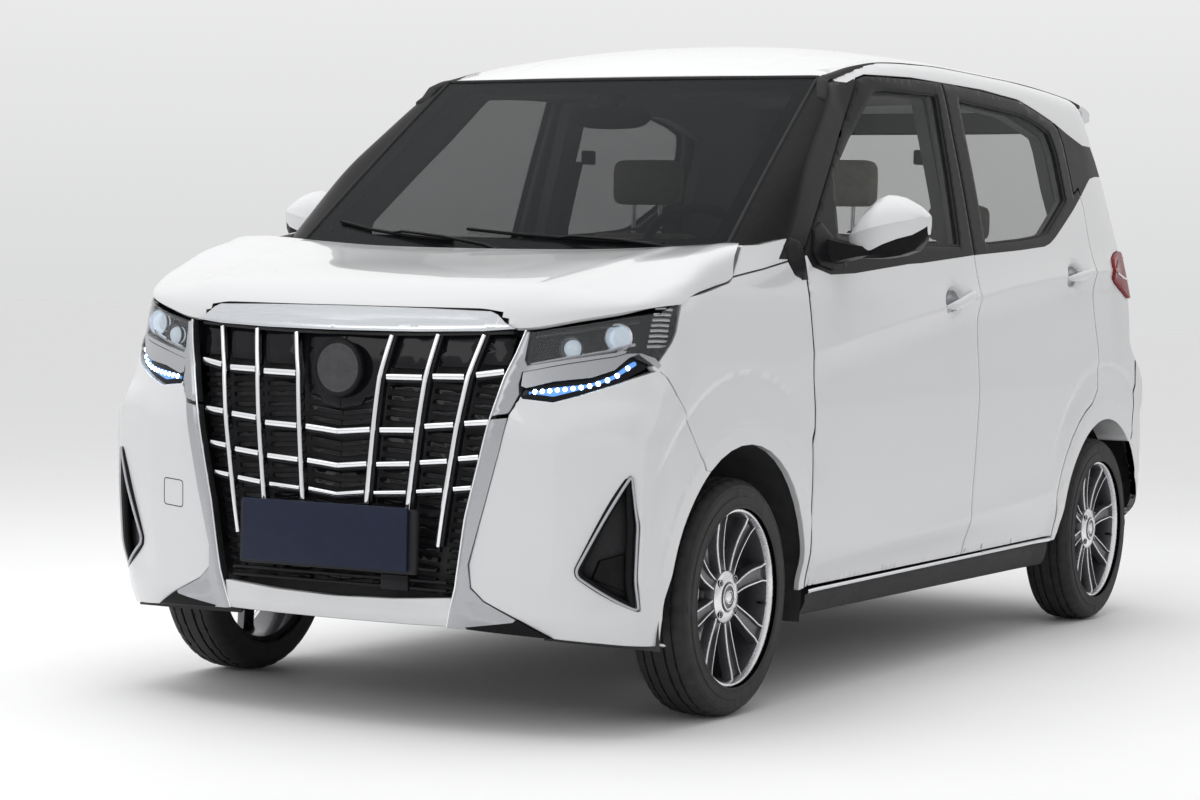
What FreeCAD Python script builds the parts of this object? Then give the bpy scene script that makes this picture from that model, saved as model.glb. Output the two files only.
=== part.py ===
import FreeCAD, Part
import math
import os
from bisect import bisect_right

os.makedirs("parts", exist_ok=True)
doc = FreeCAD.newDocument("kei_car")
V = FreeCAD.Vector

# ---------------------------------------------------------------- sizes
sheet = doc.addObject("Spreadsheet::Sheet", "sizes")
row = [0]


def size(alias, value):
    row[0] += 1
    sheet.set("A%d" % row[0], alias)
    sheet.set("B%d" % row[0], repr(float(value)))
    sheet.setAlias("B%d" % row[0], alias)


SIZES = [
    ("half_width", 733.0), ("front_axle_y", -1121.5), ("rear_axle_y", 1333.5),
    ("tyre_radius", 272.5), ("tyre_width", 144.0), ("tyre_bore_radius", 204.0),
    ("wheel_mid_x", 646.0), ("rim_width", 128.0), ("rim_wall", 10.0),
    ("rim_dish", 22.0), ("rim_hub_radius", 62.0), ("rim_bore_radius", 27.0),
    ("kingpin_x", 600.0), ("front_arch_radius", 350.0), ("rear_arch_radius", 332.0),
    ("door_depth", 90.0), ("frame_depth", 36.0), ("pillar_depth", 44.0),
    ("door_gap", 3.0), ("glass_depth", 5.0), ("skin_depth", 26.0),
    ("roof_depth", 32.0), ("plate_width", 440.0), ("plate_height", 140.0),
]
for a, v in SIZES:
    size(a, v)
doc.recompute()


def g(alias):
    return float(sheet.get(alias))


half_width = g("half_width")
front_y = g("front_axle_y")
rear_y = g("rear_axle_y")
hub_z = g("tyre_radius")
arch_f = g("front_arch_radius")
arch_r = g("rear_arch_radius")
door_depth = g("door_depth")
frame_depth = g("frame_depth")
pillar_depth = g("pillar_depth")
gap = g("door_gap")
skin = g("skin_depth")


# ---------------------------------------------------------------- shape functions
def curve(pts):
    xs = [p[0] for p in pts]
    ys = [p[1] for p in pts]
    n = len(xs)
    h = [xs[i + 1] - xs[i] for i in range(n - 1)]
    d = [(ys[i + 1] - ys[i]) / h[i] for i in range(n - 1)]
    m = [0.0] * n
    for i in range(1, n - 1):
        if d[i - 1] * d[i] > 0:
            w1 = 2 * h[i] + h[i - 1]
            w2 = h[i] + 2 * h[i - 1]
            m[i] = (w1 + w2) / (w1 / d[i - 1] + w2 / d[i])
    m[0] = d[0]
    m[-1] = d[-1]

    def f(t):
        if t <= xs[0]:
            return ys[0] + m[0] * (t - xs[0])
        if t >= xs[-1]:
            return ys[-1] + m[-1] * (t - xs[-1])
        i = bisect_right(xs, t) - 1
        u = (t - xs[i]) / h[i]
        a = (2 * u ** 3 - 3 * u ** 2 + 1) * ys[i] + (u ** 3 - 2 * u ** 2 + u) * h[i] * m[i]
        return a + (-2 * u ** 3 + 3 * u ** 2) * ys[i + 1] + (u ** 3 - u ** 2) * h[i] * m[i + 1]
    return f


def smooth(t):
    t = 0.0 if t < 0 else 1.0 if t > 1 else t
    return t * t * (3 - 2 * t)


# half section of the body side: height, half width
sec = curve([(170, 684), (190, 692), (280, 704), (360, 722), (480, 726), (600, 729), (700, 731),
             (800, 730), (880, 728), (950, 724), (1000, 716), (1090, 700), (1200, 677), (1300, 655),
             (1400, 631), (1500, 607), (1530, 598), (1556, 588), (1578, 572), (1596, 546)])
# height of the roof edge, and of the roof's centre line, along the car
edge_z = curve([(-430, 1490), (-371, 1512), (-309, 1527), (-200, 1553), (-61, 1575), (150, 1589),
                (416, 1596), (870, 1595), (1372, 1577), (1600, 1549), (1700, 1530)])
crown_z = curve([(-430, 1504), (-400, 1517), (-300, 1556), (-200, 1585), (-61, 1613), (100, 1632),
                 (300, 1641), (600, 1644), (900, 1640), (1200, 1628), (1400, 1612), (1550, 1592),
                 (1640, 1574)])
# front face: centre line, start of the corner, power of the corner, by height
nose_y = curve([(170, -1640), (187, -1662), (225, -1688), (291, -1698), (400, -1704), (500, -1707),
                (634, -1706), (736, -1702), (784, -1697), (843, -1686), (900, -1670), (940, -1650),
                (1000, -1600)])
nose_b = curve([(170, -1430), (187, -1440), (291, -1462), (400, -1470), (500, -1478), (634, -1478),
                (736, -1404), (843, -1354), (918, -1336), (960, -1300), (1004, -1230), (1110, -1100), (1700, -1090)])
nose_n = curve([(170, 2.6), (634, 2.6), (736, 2.5), (843, 2.4), (918, 2.45), (1000, 2.5)])
# rear face
tail_y = curve([(170, 1640), (187, 1655), (229, 1690), (337, 1730), (523, 1745), (640, 1745),
                (697, 1742), (745, 1722), (785, 1680), (838, 1650), (900, 1648), (1000, 1648),
                (1100, 1643), (1200, 1632), (1300, 1616), (1400, 1594), (1480, 1574), (1560, 1552)])
tail_d = curve([(170, 75), (697, 75), (785, 95), (838, 115), (1100, 125), (1560, 150)])


def lip(y, z):
    """outward swelling around a wheel opening"""
    s = 0.0
    for cy in (front_y, rear_y):
        r = math.hypot(y - cy, z - hub_z)
        if r < 540 and z > 150:
            s = max(s, 7.0 * (1 - smooth((r - 375) / 125.0)))
    return s


def side_half(z, y):
    if z > 1100:
        z = 1100 + (z - 1100) * 496.0 / (edge_z(max(-371, y)) - 1100)
    return sec(z)


def side_x(y, z):
    a = side_half(z, y)
    # the fender tops lean in towards the bonnet
    a -= 22 * smooth((-700 - y) / 500.0) * smooth((z - 960) / 130.0)
    b = nose_b(z)
    if y < b:
        d = b - nose_y(z)
        t = min(0.999, (b - y) / d)
        n = nose_n(z)
        a *= (1 - t ** n) ** (1 / n)
    e = tail_y(z) - tail_d(z)
    if y > e:
        t = min(0.999, (y - e) / tail_d(z))
        a *= (1 - t ** 2.4) ** (1 / 2.4)
    a -= 14 * smooth((y - 1350) / 350.0) * smooth((z - 900) / 300.0)
    return a + lip(y, z) * smooth((y + 1640) / 120.0)


def front_face(x, z):
    a = sec(z) + 3
    b = nose_b(z)
    n = nose_n(z)
    t = min(0.999, abs(x) / a)
    return b - (b - nose_y(z)) * (1 - t ** n) ** (1 / n)


def rear_face(x, z):
    a = side_half(z, 1560)
    a -= 14 * smooth((z - 900) / 300.0)
    d = tail_d(z)
    t = min(0.999, abs(x) / a)
    return tail_y(z) - d + d * (1 - t ** 2.4) ** (1 / 2.4)


def pw(c, n):
    return max(c, 0.0) ** (2.0 / n)


def rear_point(s, z, off, y_end):
    """plan line at height z from the rear centre (s 0) round the corner (s 1) to y_end (s 2)"""
    d = tail_d(z)
    e = tail_y(z) - d
    if s < 1:
        f = math.radians(90 * s)
        t = 30.0 if off > 30 else off
        k = t + (off - t) * smooth((abs(s) - 0.6) / 0.4)
        y = e + (d - min(k, 0.6 * d)) * pw(math.cos(f), 2.4)
        a = side_half(z, y) - 14 * smooth((y - 1350) / 350.0) * smooth((z - 900) / 300.0)
        x = (a - k + lip(y, z)) * pw(abs(math.sin(f)), 2.4)
        return (x if s > 0 else -x, y, z)
    y = e + (y_end - e) * (s - 1)
    return (side_x(y, z) - off, y, z)


def front_point(s, z, off, y_end):
    """plan line at height z from the front centre (s 0) round the corner (s 1) to y_end (s 2)"""
    b = nose_b(z)
    d = b - nose_y(z)
    n = nose_n(z)
    if s < 1:
        f = math.radians(90 * s)
        y = b - (d - min(off, 0.6 * d)) * pw(math.cos(f), n)
        a = side_half(z, y) - 22 * smooth((-700 - y) / 500.0) * smooth((z - 960) / 130.0)
        x = (a - off + lip(y, z) * smooth((y + 1640) / 120.0)) * pw(abs(math.sin(f)), n)
        return (x if s > 0 else -x, y, z)
    y = b + (y_end - b) * (s - 1)
    return (side_x(y, z) - off, y, z)


def roof_top(x, y):
    c = crown_z(y)
    return c - (c - edge_z(y)) * (abs(x) / 541.0) ** 2.3


def screen_y(x, z):
    t = (z - 1077) / 436.0
    bow = 45 - 15 * t
    return -966 + 595 * t - bow * (1 - (x / 617.0) ** 2) - 26 * t * (1 - t)


# ---------------------------------------------------------------- building helpers
def net(points):
    s = Part.BSplineSurface()
    s.interpolate(points)
    return s.toShape()


def thick(p1, p2):
    """solid between two point nets of the same layout"""
    f1, f2 = net(p1), net(p2)
    faces = [f1, f2]
    for a, b in zip(f1.OuterWire.OrderedEdges, f2.OuterWire.OrderedEdges):
        faces.append(Part.makeRuledSurface(a, b))
    sh = Part.Shell(Part.makeShell(faces).Faces)
    sh.sewShape()
    so = Part.Solid(sh)
    if so.Volume < 0:
        so.reverse()
    return so


def steps(a, b, n):
    return [a + (b - a) * i / float(n) for i in range(n + 1)]


def grid(fn, us, vs):
    return [[V(*fn(u, v)) for v in vs] for u in us]


def prism_x(pts, x0, x1):
    w = Part.makePolygon([V(x0, y, z) for y, z in pts] + [V(x0, pts[0][0], pts[0][1])])
    return Part.Face(w).extrude(V(x1 - x0, 0, 0))


def prism_y(pts, y0, y1):
    w = Part.makePolygon([V(x, y0, z) for x, z in pts] + [V(pts[0][0], y0, pts[0][1])])
    return Part.Face(w).extrude(V(0, y1 - y0, 0))


def prism_z(pts, z0, z1):
    w = Part.makePolygon([V(x, y, z0) for x, y in pts] + [V(pts[0][0], pts[0][1], z0)])
    return Part.Face(w).extrude(V(0, 0, z1 - z0))


def grow(pts, d):
    """outline moved outwards by d, corner by corner"""
    n = len(pts)
    area = sum(pts[i][0] * pts[(i + 1) % n][1] - pts[(i + 1) % n][0] * pts[i][1] for i in range(n))
    s = 1.0 if area > 0 else -1.0
    out = []
    for i in range(n):
        ax, ay = pts[i - 1]
        bx, by = pts[i]
        cx, cy = pts[(i + 1) % n]
        l1 = math.hypot(bx - ax, by - ay)
        l2 = math.hypot(cx - bx, cy - by)
        n1 = (s * (by - ay) / l1, -s * (bx - ax) / l1)
        n2 = (s * (cy - by) / l2, -s * (cx - bx) / l2)
        k = 1 + n1[0] * n2[0] + n1[1] * n2[1]
        k = max(k, 0.5)
        out.append((bx + d * (n1[0] + n2[0]) / k, by + d * (n1[1] + n2[1]) / k))
    return out


def cyl_x(r, x0, x1, y, z):
    return Part.makeCylinder(r, x1 - x0, V(x0, y, z), V(1, 0, 0))


def box(x0, x1, y0, y1, z0, z1):
    return Part.makeBox(x1 - x0, y1 - y0, z1 - z0, V(x0, y0, z0))


def mirror(shape):
    return shape.mirror(V(0, 0, 0), V(1, 0, 0))


nodes = []


def keep(node, shape):
    if len(shape.Solids) == 1:
        shape = shape.Solids[0]
    else:
        shape = Part.makeCompound(shape.Solids)
    o = doc.addObject("Part::Feature", node)
    o.Shape = shape
    o.Label = node
    nodes.append(o)
    return shape


def pair(node, shape):
    keep(node + "_left", shape)
    keep(node + "_right", mirror(shape))


def side_patch(y0, y1, z0, z1, ny, nz, o1, o2):
    """thick sheet that follows the body side, from depth o1 to depth o2 (functions of z)"""
    ys, zs = steps(y0, y1, ny), steps(z0, z1, nz)
    return thick(grid(lambda y, z: (side_x(y, z) - o1(z), y, z), ys, zs),
                 grid(lambda y, z: (side_x(y, z) - o2(z), y, z), ys, zs))


def ring(fn, s0, s1, n, z0, z1, nz, o1, o2, y_end):
    """thick sheet along a front or rear plan line, both depths functions of z"""
    ss, zs = [], steps(z0, z1, nz)
    for i in range(n + 1):
        ss.append(s0 + (s1 - s0) * i / float(n))
    return thick(grid(lambda s, z: fn(s, z, o1(z), y_end), ss, zs),
                 grid(lambda s, z: fn(s, z, o2(z), y_end), ss, zs))


def door_in(z):
    return frame_depth + (door_depth - frame_depth) * (1 - smooth((z - 1040) / 70.0))


zero = lambda z: 0.0
over = lambda z: -30.0

# ---------------------------------------------------------------- outlines, side view (y, z)
EDGE = [(-733, 262), (-744, 332), (-748, 404), (-748, 500), (-745, 595), (-751, 691), (-760, 786),
        (-773, 881), (-783, 950), (-784, 1000), (-783, 1062)]
FRONT_DOOR = EDGE + [(-740, 1105), (-500, 1303), (-240, 1513), (-183, 1526), (100, 1538), (306, 1543),
                     (306, 1000), (302, 820), (302, 690), (294, 530), (282, 400), (282, 268)]
REAR_DOOR = [(282, 268), (282, 400), (294, 530), (302, 690), (302, 820), (306, 1000), (306, 1543),
             (600, 1540), (880, 1530), (1004, 1508), (1130, 1482), (1164, 1468), (1189, 1419), (1192, 1340),
             (1192, 1272), (1244, 1291), (1258, 1236), (1254, 1136), (1263, 1040), (1246, 950), (1252, 890),
             (1270, 816), (1270, 744), (1256, 694)] + \
            [(rear_y + 402 * math.cos(math.radians(a)), hub_z + 402 * math.sin(math.radians(a)))
             for a in (108, 117, 126, 135, 144, 153, 162)] + [(956, 330), (958, 274)]
FRONT_GLASS = [(-575, 1090), (-520, 1262), (-165, 1488), (-100, 1498), (250, 1506), (214, 1098)]
REAR_CORE = REAR_DOOR[:12] + [(1188, 1408), (1190, 1290), (1214, 1190), (1236, 1040)] + REAR_DOOR[19:]
REAR_GLASS = [(404, 1107), (400, 1503), (749, 1495), (880, 1490), (1001, 1471), (1084, 1450), (1100, 1424),
              (1113, 1388), (1115, 1250), (1054, 1221), (965, 1179), (906, 1151), (857, 1140), (688, 1125)]

# ---------------------------------------------------------------- doors
inner = lambda z: door_in(z)
mid = lambda z: 20.0


def door(outline, core, glass, y0, y1):
    o = grow(outline, -gap)
    i = grow(core, -26.0)
    a = side_patch(y0, y1, 240, 1560, 26, 33, zero, mid).common(prism_x(o, 300, 1000))
    b = side_patch(y0, y1, 240, 1560, 26, 33, lambda z: 18.0, inner).common(prism_x(i, 300, 1000))
    return a.fuse(b).cut(prism_x(glass, 300, 1000))


fd = door(FRONT_DOOR, FRONT_DOOR, FRONT_GLASS, -830, 350)
rd = door(REAR_DOOR, REAR_CORE, REAR_GLASS, 250, 1330)
pair("front_door", fd)
pair("rear_door", rd)


def pane(glass, y0, y1):
    p = side_patch(y0, y1, 1060, 1530, 16, 12, lambda z: 14.0, lambda z: 19.0)
    return p.common(prism_x(grow(glass, -1.0), 300, 1000))


pair("front_glass", pane(FRONT_GLASS, -620, 290))
pair("rear_glass", pane(REAR_GLASS, 370, 1140))

# ---------------------------------------------------------------- body sides
o1 = lambda z: door_in(z) + 8.0
o2 = lambda z: door_in(z) + 8.0 + pillar_depth
GATE = [(-612, 660), (-612, 950), (-616, 1100), (-590, 1300), (-540, 1500), (-480, 1542),
        (480, 1542), (540, 1500), (590, 1300), (616, 1100), (612, 950), (612, 660)]
SIDE = [(-727, 196), (-738, 332), (-742, 404), (-742, 500), (-739, 595), (-745, 691), (-754, 786),
        (-767, 881), (-777, 950), (-778, 1000), (-777, 1066), (-829, 1095), (-829, 1180), (-370, 1510),
        (-299, 1534), (-59, 1577), (151, 1585), (1251, 1585), (1401, 1572), (1546, 1552), (1641, 1400),
        (1641, 1090), (1641, 790), (1593, 788), (1601, 640), (1561, 530), (1501, 196)]
ARCH = lambda cy, r, a0, a1, n: [(cy + r * math.cos(math.radians(a0 + (a1 - a0) * i / n)),
                                  hub_z + r * math.sin(math.radians(a0 + (a1 - a0) * i / n)))
                                 for i in range(n + 1)]
side_prism = prism_x(SIDE, 200, 1000)
fo = grow(FRONT_DOOR, gap)
ro = grow(REAR_DOOR, gap + 3)
fi = grow(FRONT_DOOR, -48)
ri = grow(REAR_CORE, -48)
outer_skin = ring(rear_point, 0.8, 2.0, 50, 184, 1592, 40, zero, lambda z: o1(z) + 10.0, -850.0)
inner_skin = side_patch(-830, 1530, 190, 1590, 50, 40, o1, o2)
bs = outer_skin.common(side_prism).cut(prism_x(fo, 300, 1000)).cut(prism_x(ro, 300, 1000))
bi = inner_skin.common(side_prism).cut(prism_x(fi, 300, 1000)).cut(prism_x(ri, 300, 1000))
bs = bs.fuse(bi)
bs = bs.cut(cyl_x(arch_r, 560, 1000, rear_y, hub_z))
bs = bs.cut(prism_x([(-800, 150), (-800, 263), (-700, 263), (975, 277), (975, 150)], 560, 1000))
bs = bs.cut(box(0, 532, 1480, 1900, 1300, 1700)).cut(box(0, 562, 1490, 1900, 1436, 1700)).cut(prism_y(grow(GATE, 8), 1400, 1900))


def roof_pt(u, t, d):
    x = 552.0 * u
    y0 = -398 + 27 * (x / 567.0) ** 2
    y1 = 1537 - 6 * abs(u) ** 3
    y = y0 + (y1 - y0) * t
    return (x, y, roof_top(x, y) - d * min(1.0, 0.25 + 9 * t))


roof_space = thick(grid(lambda u, t: roof_pt(u, t, -30), steps(-1.004, 1.004, 20), steps(-0.01, 1.01, 30)),
                   grid(lambda u, t: roof_pt(u, t, 39.0), steps(-1.004, 1.004, 20), steps(-0.01, 1.01, 30)))
bs = bs.cut(roof_space)
TAIL_LAMP = [(1519, 1112), (1463, 1102), (1427, 1087), (1412, 1062), (1413, 1028), (1464, 1000), (1524, 968),
             (1660, 962), (1660, 1088), (1589, 1100)]
tl_space = ring(rear_point, 0.72, 1.5, 14, 960, 1120, 8, lambda z: -14.0, lambda z: 33.0, 1300.0)
bs = bs.cut(tl_space.common(prism_x(grow(TAIL_LAMP, 1.5), 300, 1000)))
pair("body_side", bs)
tl = ring(rear_point, 0.74, 1.5, 14, 962, 1118, 8, lambda z: -9.0, lambda z: 31.0, 1300.0)
pair("tail_lamp", tl.common(prism_x(TAIL_LAMP, 570, 1000)))

# wheel housings behind the rear arches
wh = cyl_x(arch_r + 22, 530, 557, rear_y, hub_z).cut(cyl_x(arch_r, 542, 700, rear_y, hub_z))
wh = wh.common(box(500, 700, 900, 1640, 322, 800))
pair("wheel_housing", wh)

# ---------------------------------------------------------------- roof
us = steps(-1, 1, 20)
ts = steps(0, 1, 30)
roof = thick(grid(lambda u, t: roof_pt(u, t, 0), us, ts), grid(lambda u, t: roof_pt(u, t, g("roof_depth")), us, ts))
keep("roof_panel", roof)

# ---------------------------------------------------------------- windscreen
def screen_pt(u, t, d):
    z = 1050 + (1507 - 1050) * t - 14 * (1 - u * u) * (1 - t)
    x = (617 - 50 * (z - 1077) / 436.0 - 24) * u
    return (x, screen_y(x, z) + d, z)


keep("windscreen", thick(grid(lambda u, t: screen_pt(u, t, 0), us, steps(0, 1, 14)),
                         grid(lambda u, t: screen_pt(u, t, 7), us, steps(0, 1, 14))))

# ---------------------------------------------------------------- bonnet
hood_c = curve([(-1690, 926), (-1640, 952), (-1600, 968), (-1500, 991), (-1400, 1007), (-1300, 1021),
                (-1200, 1036), (-1075, 1057), (-950, 1078)])
hood_k = curve([(-1640, 925), (-1600, 935), (-1500, 956), (-1430, 979), (-1361, 1006), (-1273, 1043),
                (-1191, 1062), (-1100, 1078), (-1003, 1083), (-900, 1092)])
hood_g = curve([(-1700, 905), (-1511, 923), (-1451, 944), (-1415, 953), (-1339, 967), (-1262, 981),
                (-1199, 992), (-1172, 1004), (-1089, 1077), (-1000, 1082)])
edge_h = curve([(0, 903), (330, 898), (425, 880), (560, 904), (713, 939), (730, 943)])
rear_row = curve([(0, -1075), (300, -1070), (480, -1052), (590, -1046), (640, -1062), (682, -1091), (702, -1140),
                  (711, -1175)])
TOP_U = [0, .08, .16, .24, .32, .4, .48, .56, .64, .71, .77, .82, .86, .89, .92, .945, .965, .985, 1.0]
TOP_T = [0, .012, .03, .055, .09, .13, .18, .25, .34, .44, .55, .66, .77, .88, 1.0]


def hood_pt(u, t, d):
    w = abs(u)
    xa = 713 * w
    za = edge_h(xa)
    ya = front_face(xa, za)
    xc = 711 * w if w < .9 else 640 + 71 * math.sin(math.radians(90 * (w - .9) / .1)) ** .8
    yc = rear_row(xc)
    x = xa + (xc - xa) * t
    y = ya + (yc - ya) * t
    c = hood_c(y)
    k = hood_k(y)
    if w <= .9:
        z = c + (k - c) * (w / .9) ** 3.2
    else:
        e = hood_g(y)
        q = (w - .9) / .1
        z = e + (k - e) * (1 - q ** 2.2) ** (1 / 2.2)
    r = min(1.0, (y - ya) / 85.0)
    q = (1 - (1 - r) ** 2.2) ** (1 / 2.2)
    z = za + (z - za) * q
    if d:
        k = smooth((w - .86) / .14)
        x -= d * k
        y += d * 0.7 * (1 - q)
        z -= d * (1 - k) * (0.35 + 0.65 * q)
    return (x if u >= 0 else x, y, z)


def hood_full(d):
    rows = []
    for u in [-w for w in TOP_U[:0:-1]] + TOP_U:
        col = []
        for t in TOP_T:
            x, y, z = hood_pt(abs(u), t, d)
            col.append(V(x if u >= 0 else -x, y, z))
        rows.append(col)
    return rows


BONNET_FRONT = [(-780, 800), (-427, 800), (-427, 881), (-362, 920), (362, 920), (427, 881), (427, 800),
                (780, 800), (780, 1250), (-780, 1250)]
hood = thick(hood_full(0), hood_full(18)).common(prism_y(BONNET_FRONT, -1800, -800))
keep("bonnet", hood)

# ---------------------------------------------------------------- front wings
SEAM = [(-1172, 1000), (-1088, 1010), (-1004, 1020), (-853, 1043), (-792, 1056)]
FENDER = [(-1414, 951), (-1421, 938), (-1434, 908), (-1443, 879), (-1457, 855), (-1480, 828), (-1505, 801),
          (-1480, 779), (-1456, 737), (-1415, 692), (-1366, 625), (-1325, 572)] + ARCH(front_y, arch_f, 122, 0, 14) + \
         [(-768, 259)] + [(y - 6, z) for y, z in EDGE[:-1]] + [(-789, 1054)] + SEAM[-2::-1] + \
         [(-1199, 988), (-1262, 977), (-1339, 963)]
COWL_SIDE = [(y, z + 3) for y, z in SEAM] + [(-787, 1063), (-834, 1089), (-834, 1103), (-998, 1077), (-1078, 1077)]
wing = ring(front_point, 0.6, 2.0, 34, 250, 1104, 34, zero, lambda z: skin, -690.0)
HOOD_PLAN = [(500, -1800), (500, -1050), (590, -1041), (640, -1057), (686, -1086), (706, -1137), (715, -1172),
             (500, -1300)]
pair("front_wing", wing.common(prism_x(FENDER, 300, 1000)))
pair("cowl_side", wing.common(prism_x(COWL_SIDE, 300, 1000)).cut(prism_z(HOOD_PLAN, 900, 1200)))

# ---------------------------------------------------------------- front bumper, grille, lamps
LAMP = [(430, 869), (560, 891), (713, 926), (735, 938), (735, 800), (703, 797), (640, 765), (560, 738),
        (470, 722), (432, 748), (410, 782)]
STRIP = [(-424, 877), (-360, 918), (360, 918), (424, 877), (350, 870), (0, 864), (-350, 870)]
GRILLE = [(-427, 876), (-412, 784), (-390, 686), (-368, 600), (-338, 470), (-306, 296), (306, 296), (338, 470),
          (368, 600), (390, 686), (412, 784), (427, 876)]
LOWER = [(-1329, 570), (-1371, 628), (-1420, 695), (-1462, 741), (-1486, 784), (-1512, 807), (-1720, 930),
         (-1800, 930), (-1800, 180), (-1460, 180)] + ARCH(front_y, arch_f, 180 + 12, 125, 12)


def front_ring(z0, z1, nz, s0, s1, n, o_a, o_b):
    return ring(front_point, s0, s1, n, z0, z1, nz, lambda z: o_a, lambda z: o_b, -1270.0)


bump = front_ring(186, 900, 30, 0.0, 2.0, 36, 0.0, skin).common(prism_x(LOWER, -10, 1000))
bump = bump.cut(prism_y([(-10, 100), (800, 100), (800, 188), (700, 192), (620, 205), (520, 213), (300, 222),
                         (-10, 222)], -1800, -1000))
bump = bump.fuse(mirror(bump))
bump = bump.cut(prism_y(GRILLE, -1800, -1300)).cut(prism_y(grow(LAMP, 1.5), -1800, -1300))
bump = bump.cut(prism_y(grow([(-x, z) for x, z in LAMP], 1.5), -1800, -1300))
keep("front_bumper", bump.cut(prism_y(grow(STRIP, 2.0), -1800, -1400)))

lamp = front_ring(715, 948, 12, 0.3, 1.4, 20, 2.0, 60.0).common(prism_y(LAMP, -1800, -1300))
lamp = lamp.cut(prism_x(grow(FENDER, 2.0), 300, 1000))
pair("headlamp", lamp)

GRILLE_IN = grow(GRILLE, -2.0)
gr = front_ring(280, 880, 16, -0.5, 0.5, 20, 26.0, 52.0).common(prism_y(GRILLE_IN, -1800, -1300))
keep("grille", gr)

BARS = [[(127, 857), (108, 765), (95, 610), (85, 485)], [(241, 862), (224, 772), (206, 610), (190, 470)],
        [(349, 864), (325, 776), (299, 610), (266, 400)]]
bars = None
face = front_ring(280, 880, 16, -0.5, 0.5, 20, 4.0, 25.0)
for b in BARS:
    w = 6.5
    pts = [(x - w, z) for x, z in b] + [(x + w, z) for x, z in reversed(b)]
    one = face.common(prism_y(pts, -1800, -1500))
    one = one.fuse(mirror(one))
    bars = one if bars is None else bars.fuse(one)
keep("grille_bars", bars)

strip = front_ring(850, 935, 6, -0.5, 0.5, 20, -6.0, 24.0).common(prism_y(STRIP, -1800, -1400))
keep("bonnet_strip", strip)

# ---------------------------------------------------------------- rear
TAILGATE = GATE
TAIL_GLASS = [(-560, 1130), (-572, 1180), (-500, 1440), (-440, 1478), (440, 1478), (500, 1440),
              (572, 1180), (560, 1130)]
tail_z = lambda z: z


def rear_ring(z0, z1, nz, s0, s1, n, o_a, o_b):
    return ring(rear_point, s0, s1, n, z0, z1, nz, lambda z: o_a, lambda z: o_b, 1300.0)


def gate_pt(s, z, off):
    zz = max(z, 838.0)
    x, y, _ = rear_point(s, zz, min(off, 60.0), 1300.0)
    return (x, y + 0.0, z)


ss, zs = steps(-0.86, 0.86, 30), steps(640, 1550, 30)
gate = thick(grid(lambda s, z: gate_pt(s, z, 0), ss, zs), grid(lambda s, z: gate_pt(s, z, 29), ss, zs))
ring_frame = gate
tg = gate.common(prism_y(grow(TAILGATE, -gap), 1300, 1900)).cut(prism_y(TAIL_GLASS, 1300, 1900))


def spoiler_pt(u, t, d):
    x = 520.0 * u
    y = 1547 + (93 - 26 * abs(u) ** 3) * t
    return (x, y, roof_top(x, y) - 6 * t * t - d * (1 - 0.55 * t))


sp = thick(grid(lambda u, t: spoiler_pt(u, t, 0), us, steps(0, 1, 5)),
           grid(lambda u, t: spoiler_pt(u, t, 62), us, steps(0, 1, 5)))
keep("tailgate", tg.fuse(sp))
ss, zs = steps(-0.8, 0.8, 20), steps(1100, 1500, 12)
tgl = thick(grid(lambda s, z: gate_pt(s, z, 8), ss, zs), grid(lambda s, z: gate_pt(s, z, 13), ss, zs))
keep("tailgate_glass", tgl.common(prism_y(grow(TAIL_GLASS, -1), 1300, 1900)))


ss, zs = steps(-0.79, 0.79, 30), steps(640, 1552, 30)
frame = thick(grid(lambda s, z: gate_pt(s, z, 0), ss, zs), grid(lambda s, z: gate_pt(s, z, 29), ss, zs))
frame = frame.cut(prism_y(grow(TAILGATE, gap), 1300, 1900)).cut(box(-700, 700, 1300, 1900, 1523, 1700))
lamp_hole = prism_x(grow(TAIL_LAMP, 1.5), 568, 1000)
frame = frame.cut(box(560, 800, 1300, 1900, 1434, 1700)).cut(box(-800, -560, 1300, 1900, 1434, 1700))
frame = frame.cut(lamp_hole).cut(mirror(lamp_hole)).fuse(box(-520, 520, 1566, 1590, 240, 652))
keep("tail_frame", frame)

REAR_SIDE = [(1566, 538), (1605, 640), (1597, 782), (1900, 782), (1900, 225)] + ARCH(rear_y, arch_r, -8, 49, 8)
rb = ring(rear_point, 0.0, 1.8, 34, 232, 783, 24, zero, lambda z: skin, 1500.0).common(prism_x(REAR_SIDE, -10, 1000))
keep("rear_bumper", rb.fuse(mirror(rb)))

SKIRT = [(-700, 187), (-700, 256), (955, 270), (955, 187)]
sk = side_patch(-705, 960, 185, 272, 24, 4, lambda z: 6.0, lambda z: 120.0).common(prism_x(SKIRT, 300, 1000))
keep("side_skirts", Part.makeCompound([sk, mirror(sk)]))

# door mirrors
head = Part.makeBox(186, 104, 146, V(744, -628, 1068))
head = head.makeFillet(34, head.Edges)
arm = Part.makeBox(96, 60, 30, V(690, -640, 1062))
foot = side_patch(-700, -560, 1030, 1110, 6, 4, lambda z: -10.0, lambda z: -1.0)
pair("door_mirror", head.fuse(arm.cut(side_patch(-760, -520, 1010, 1130, 8, 6, lambda z: -1.0, lambda z: 90.0))).fuse(foot))


# ---------------------------------------------------------------- plain pieces from primitives
def bind(o, prop, alias, value):
    size(alias, value)
    o.setExpression(prop, "sizes." + alias)


def p_box(name, x0, x1, y0, y1, z0, z1):
    o = doc.addObject("Part::Box", name)
    for prop, k, v in (("Length", "_lx", x1 - x0), ("Width", "_ly", y1 - y0), ("Height", "_lz", z1 - z0),
                       ("Placement.Base.x", "_px", x0), ("Placement.Base.y", "_py", y0),
                       ("Placement.Base.z", "_pz", z0)):
        bind(o, prop, name + k, v)
    return o


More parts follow.
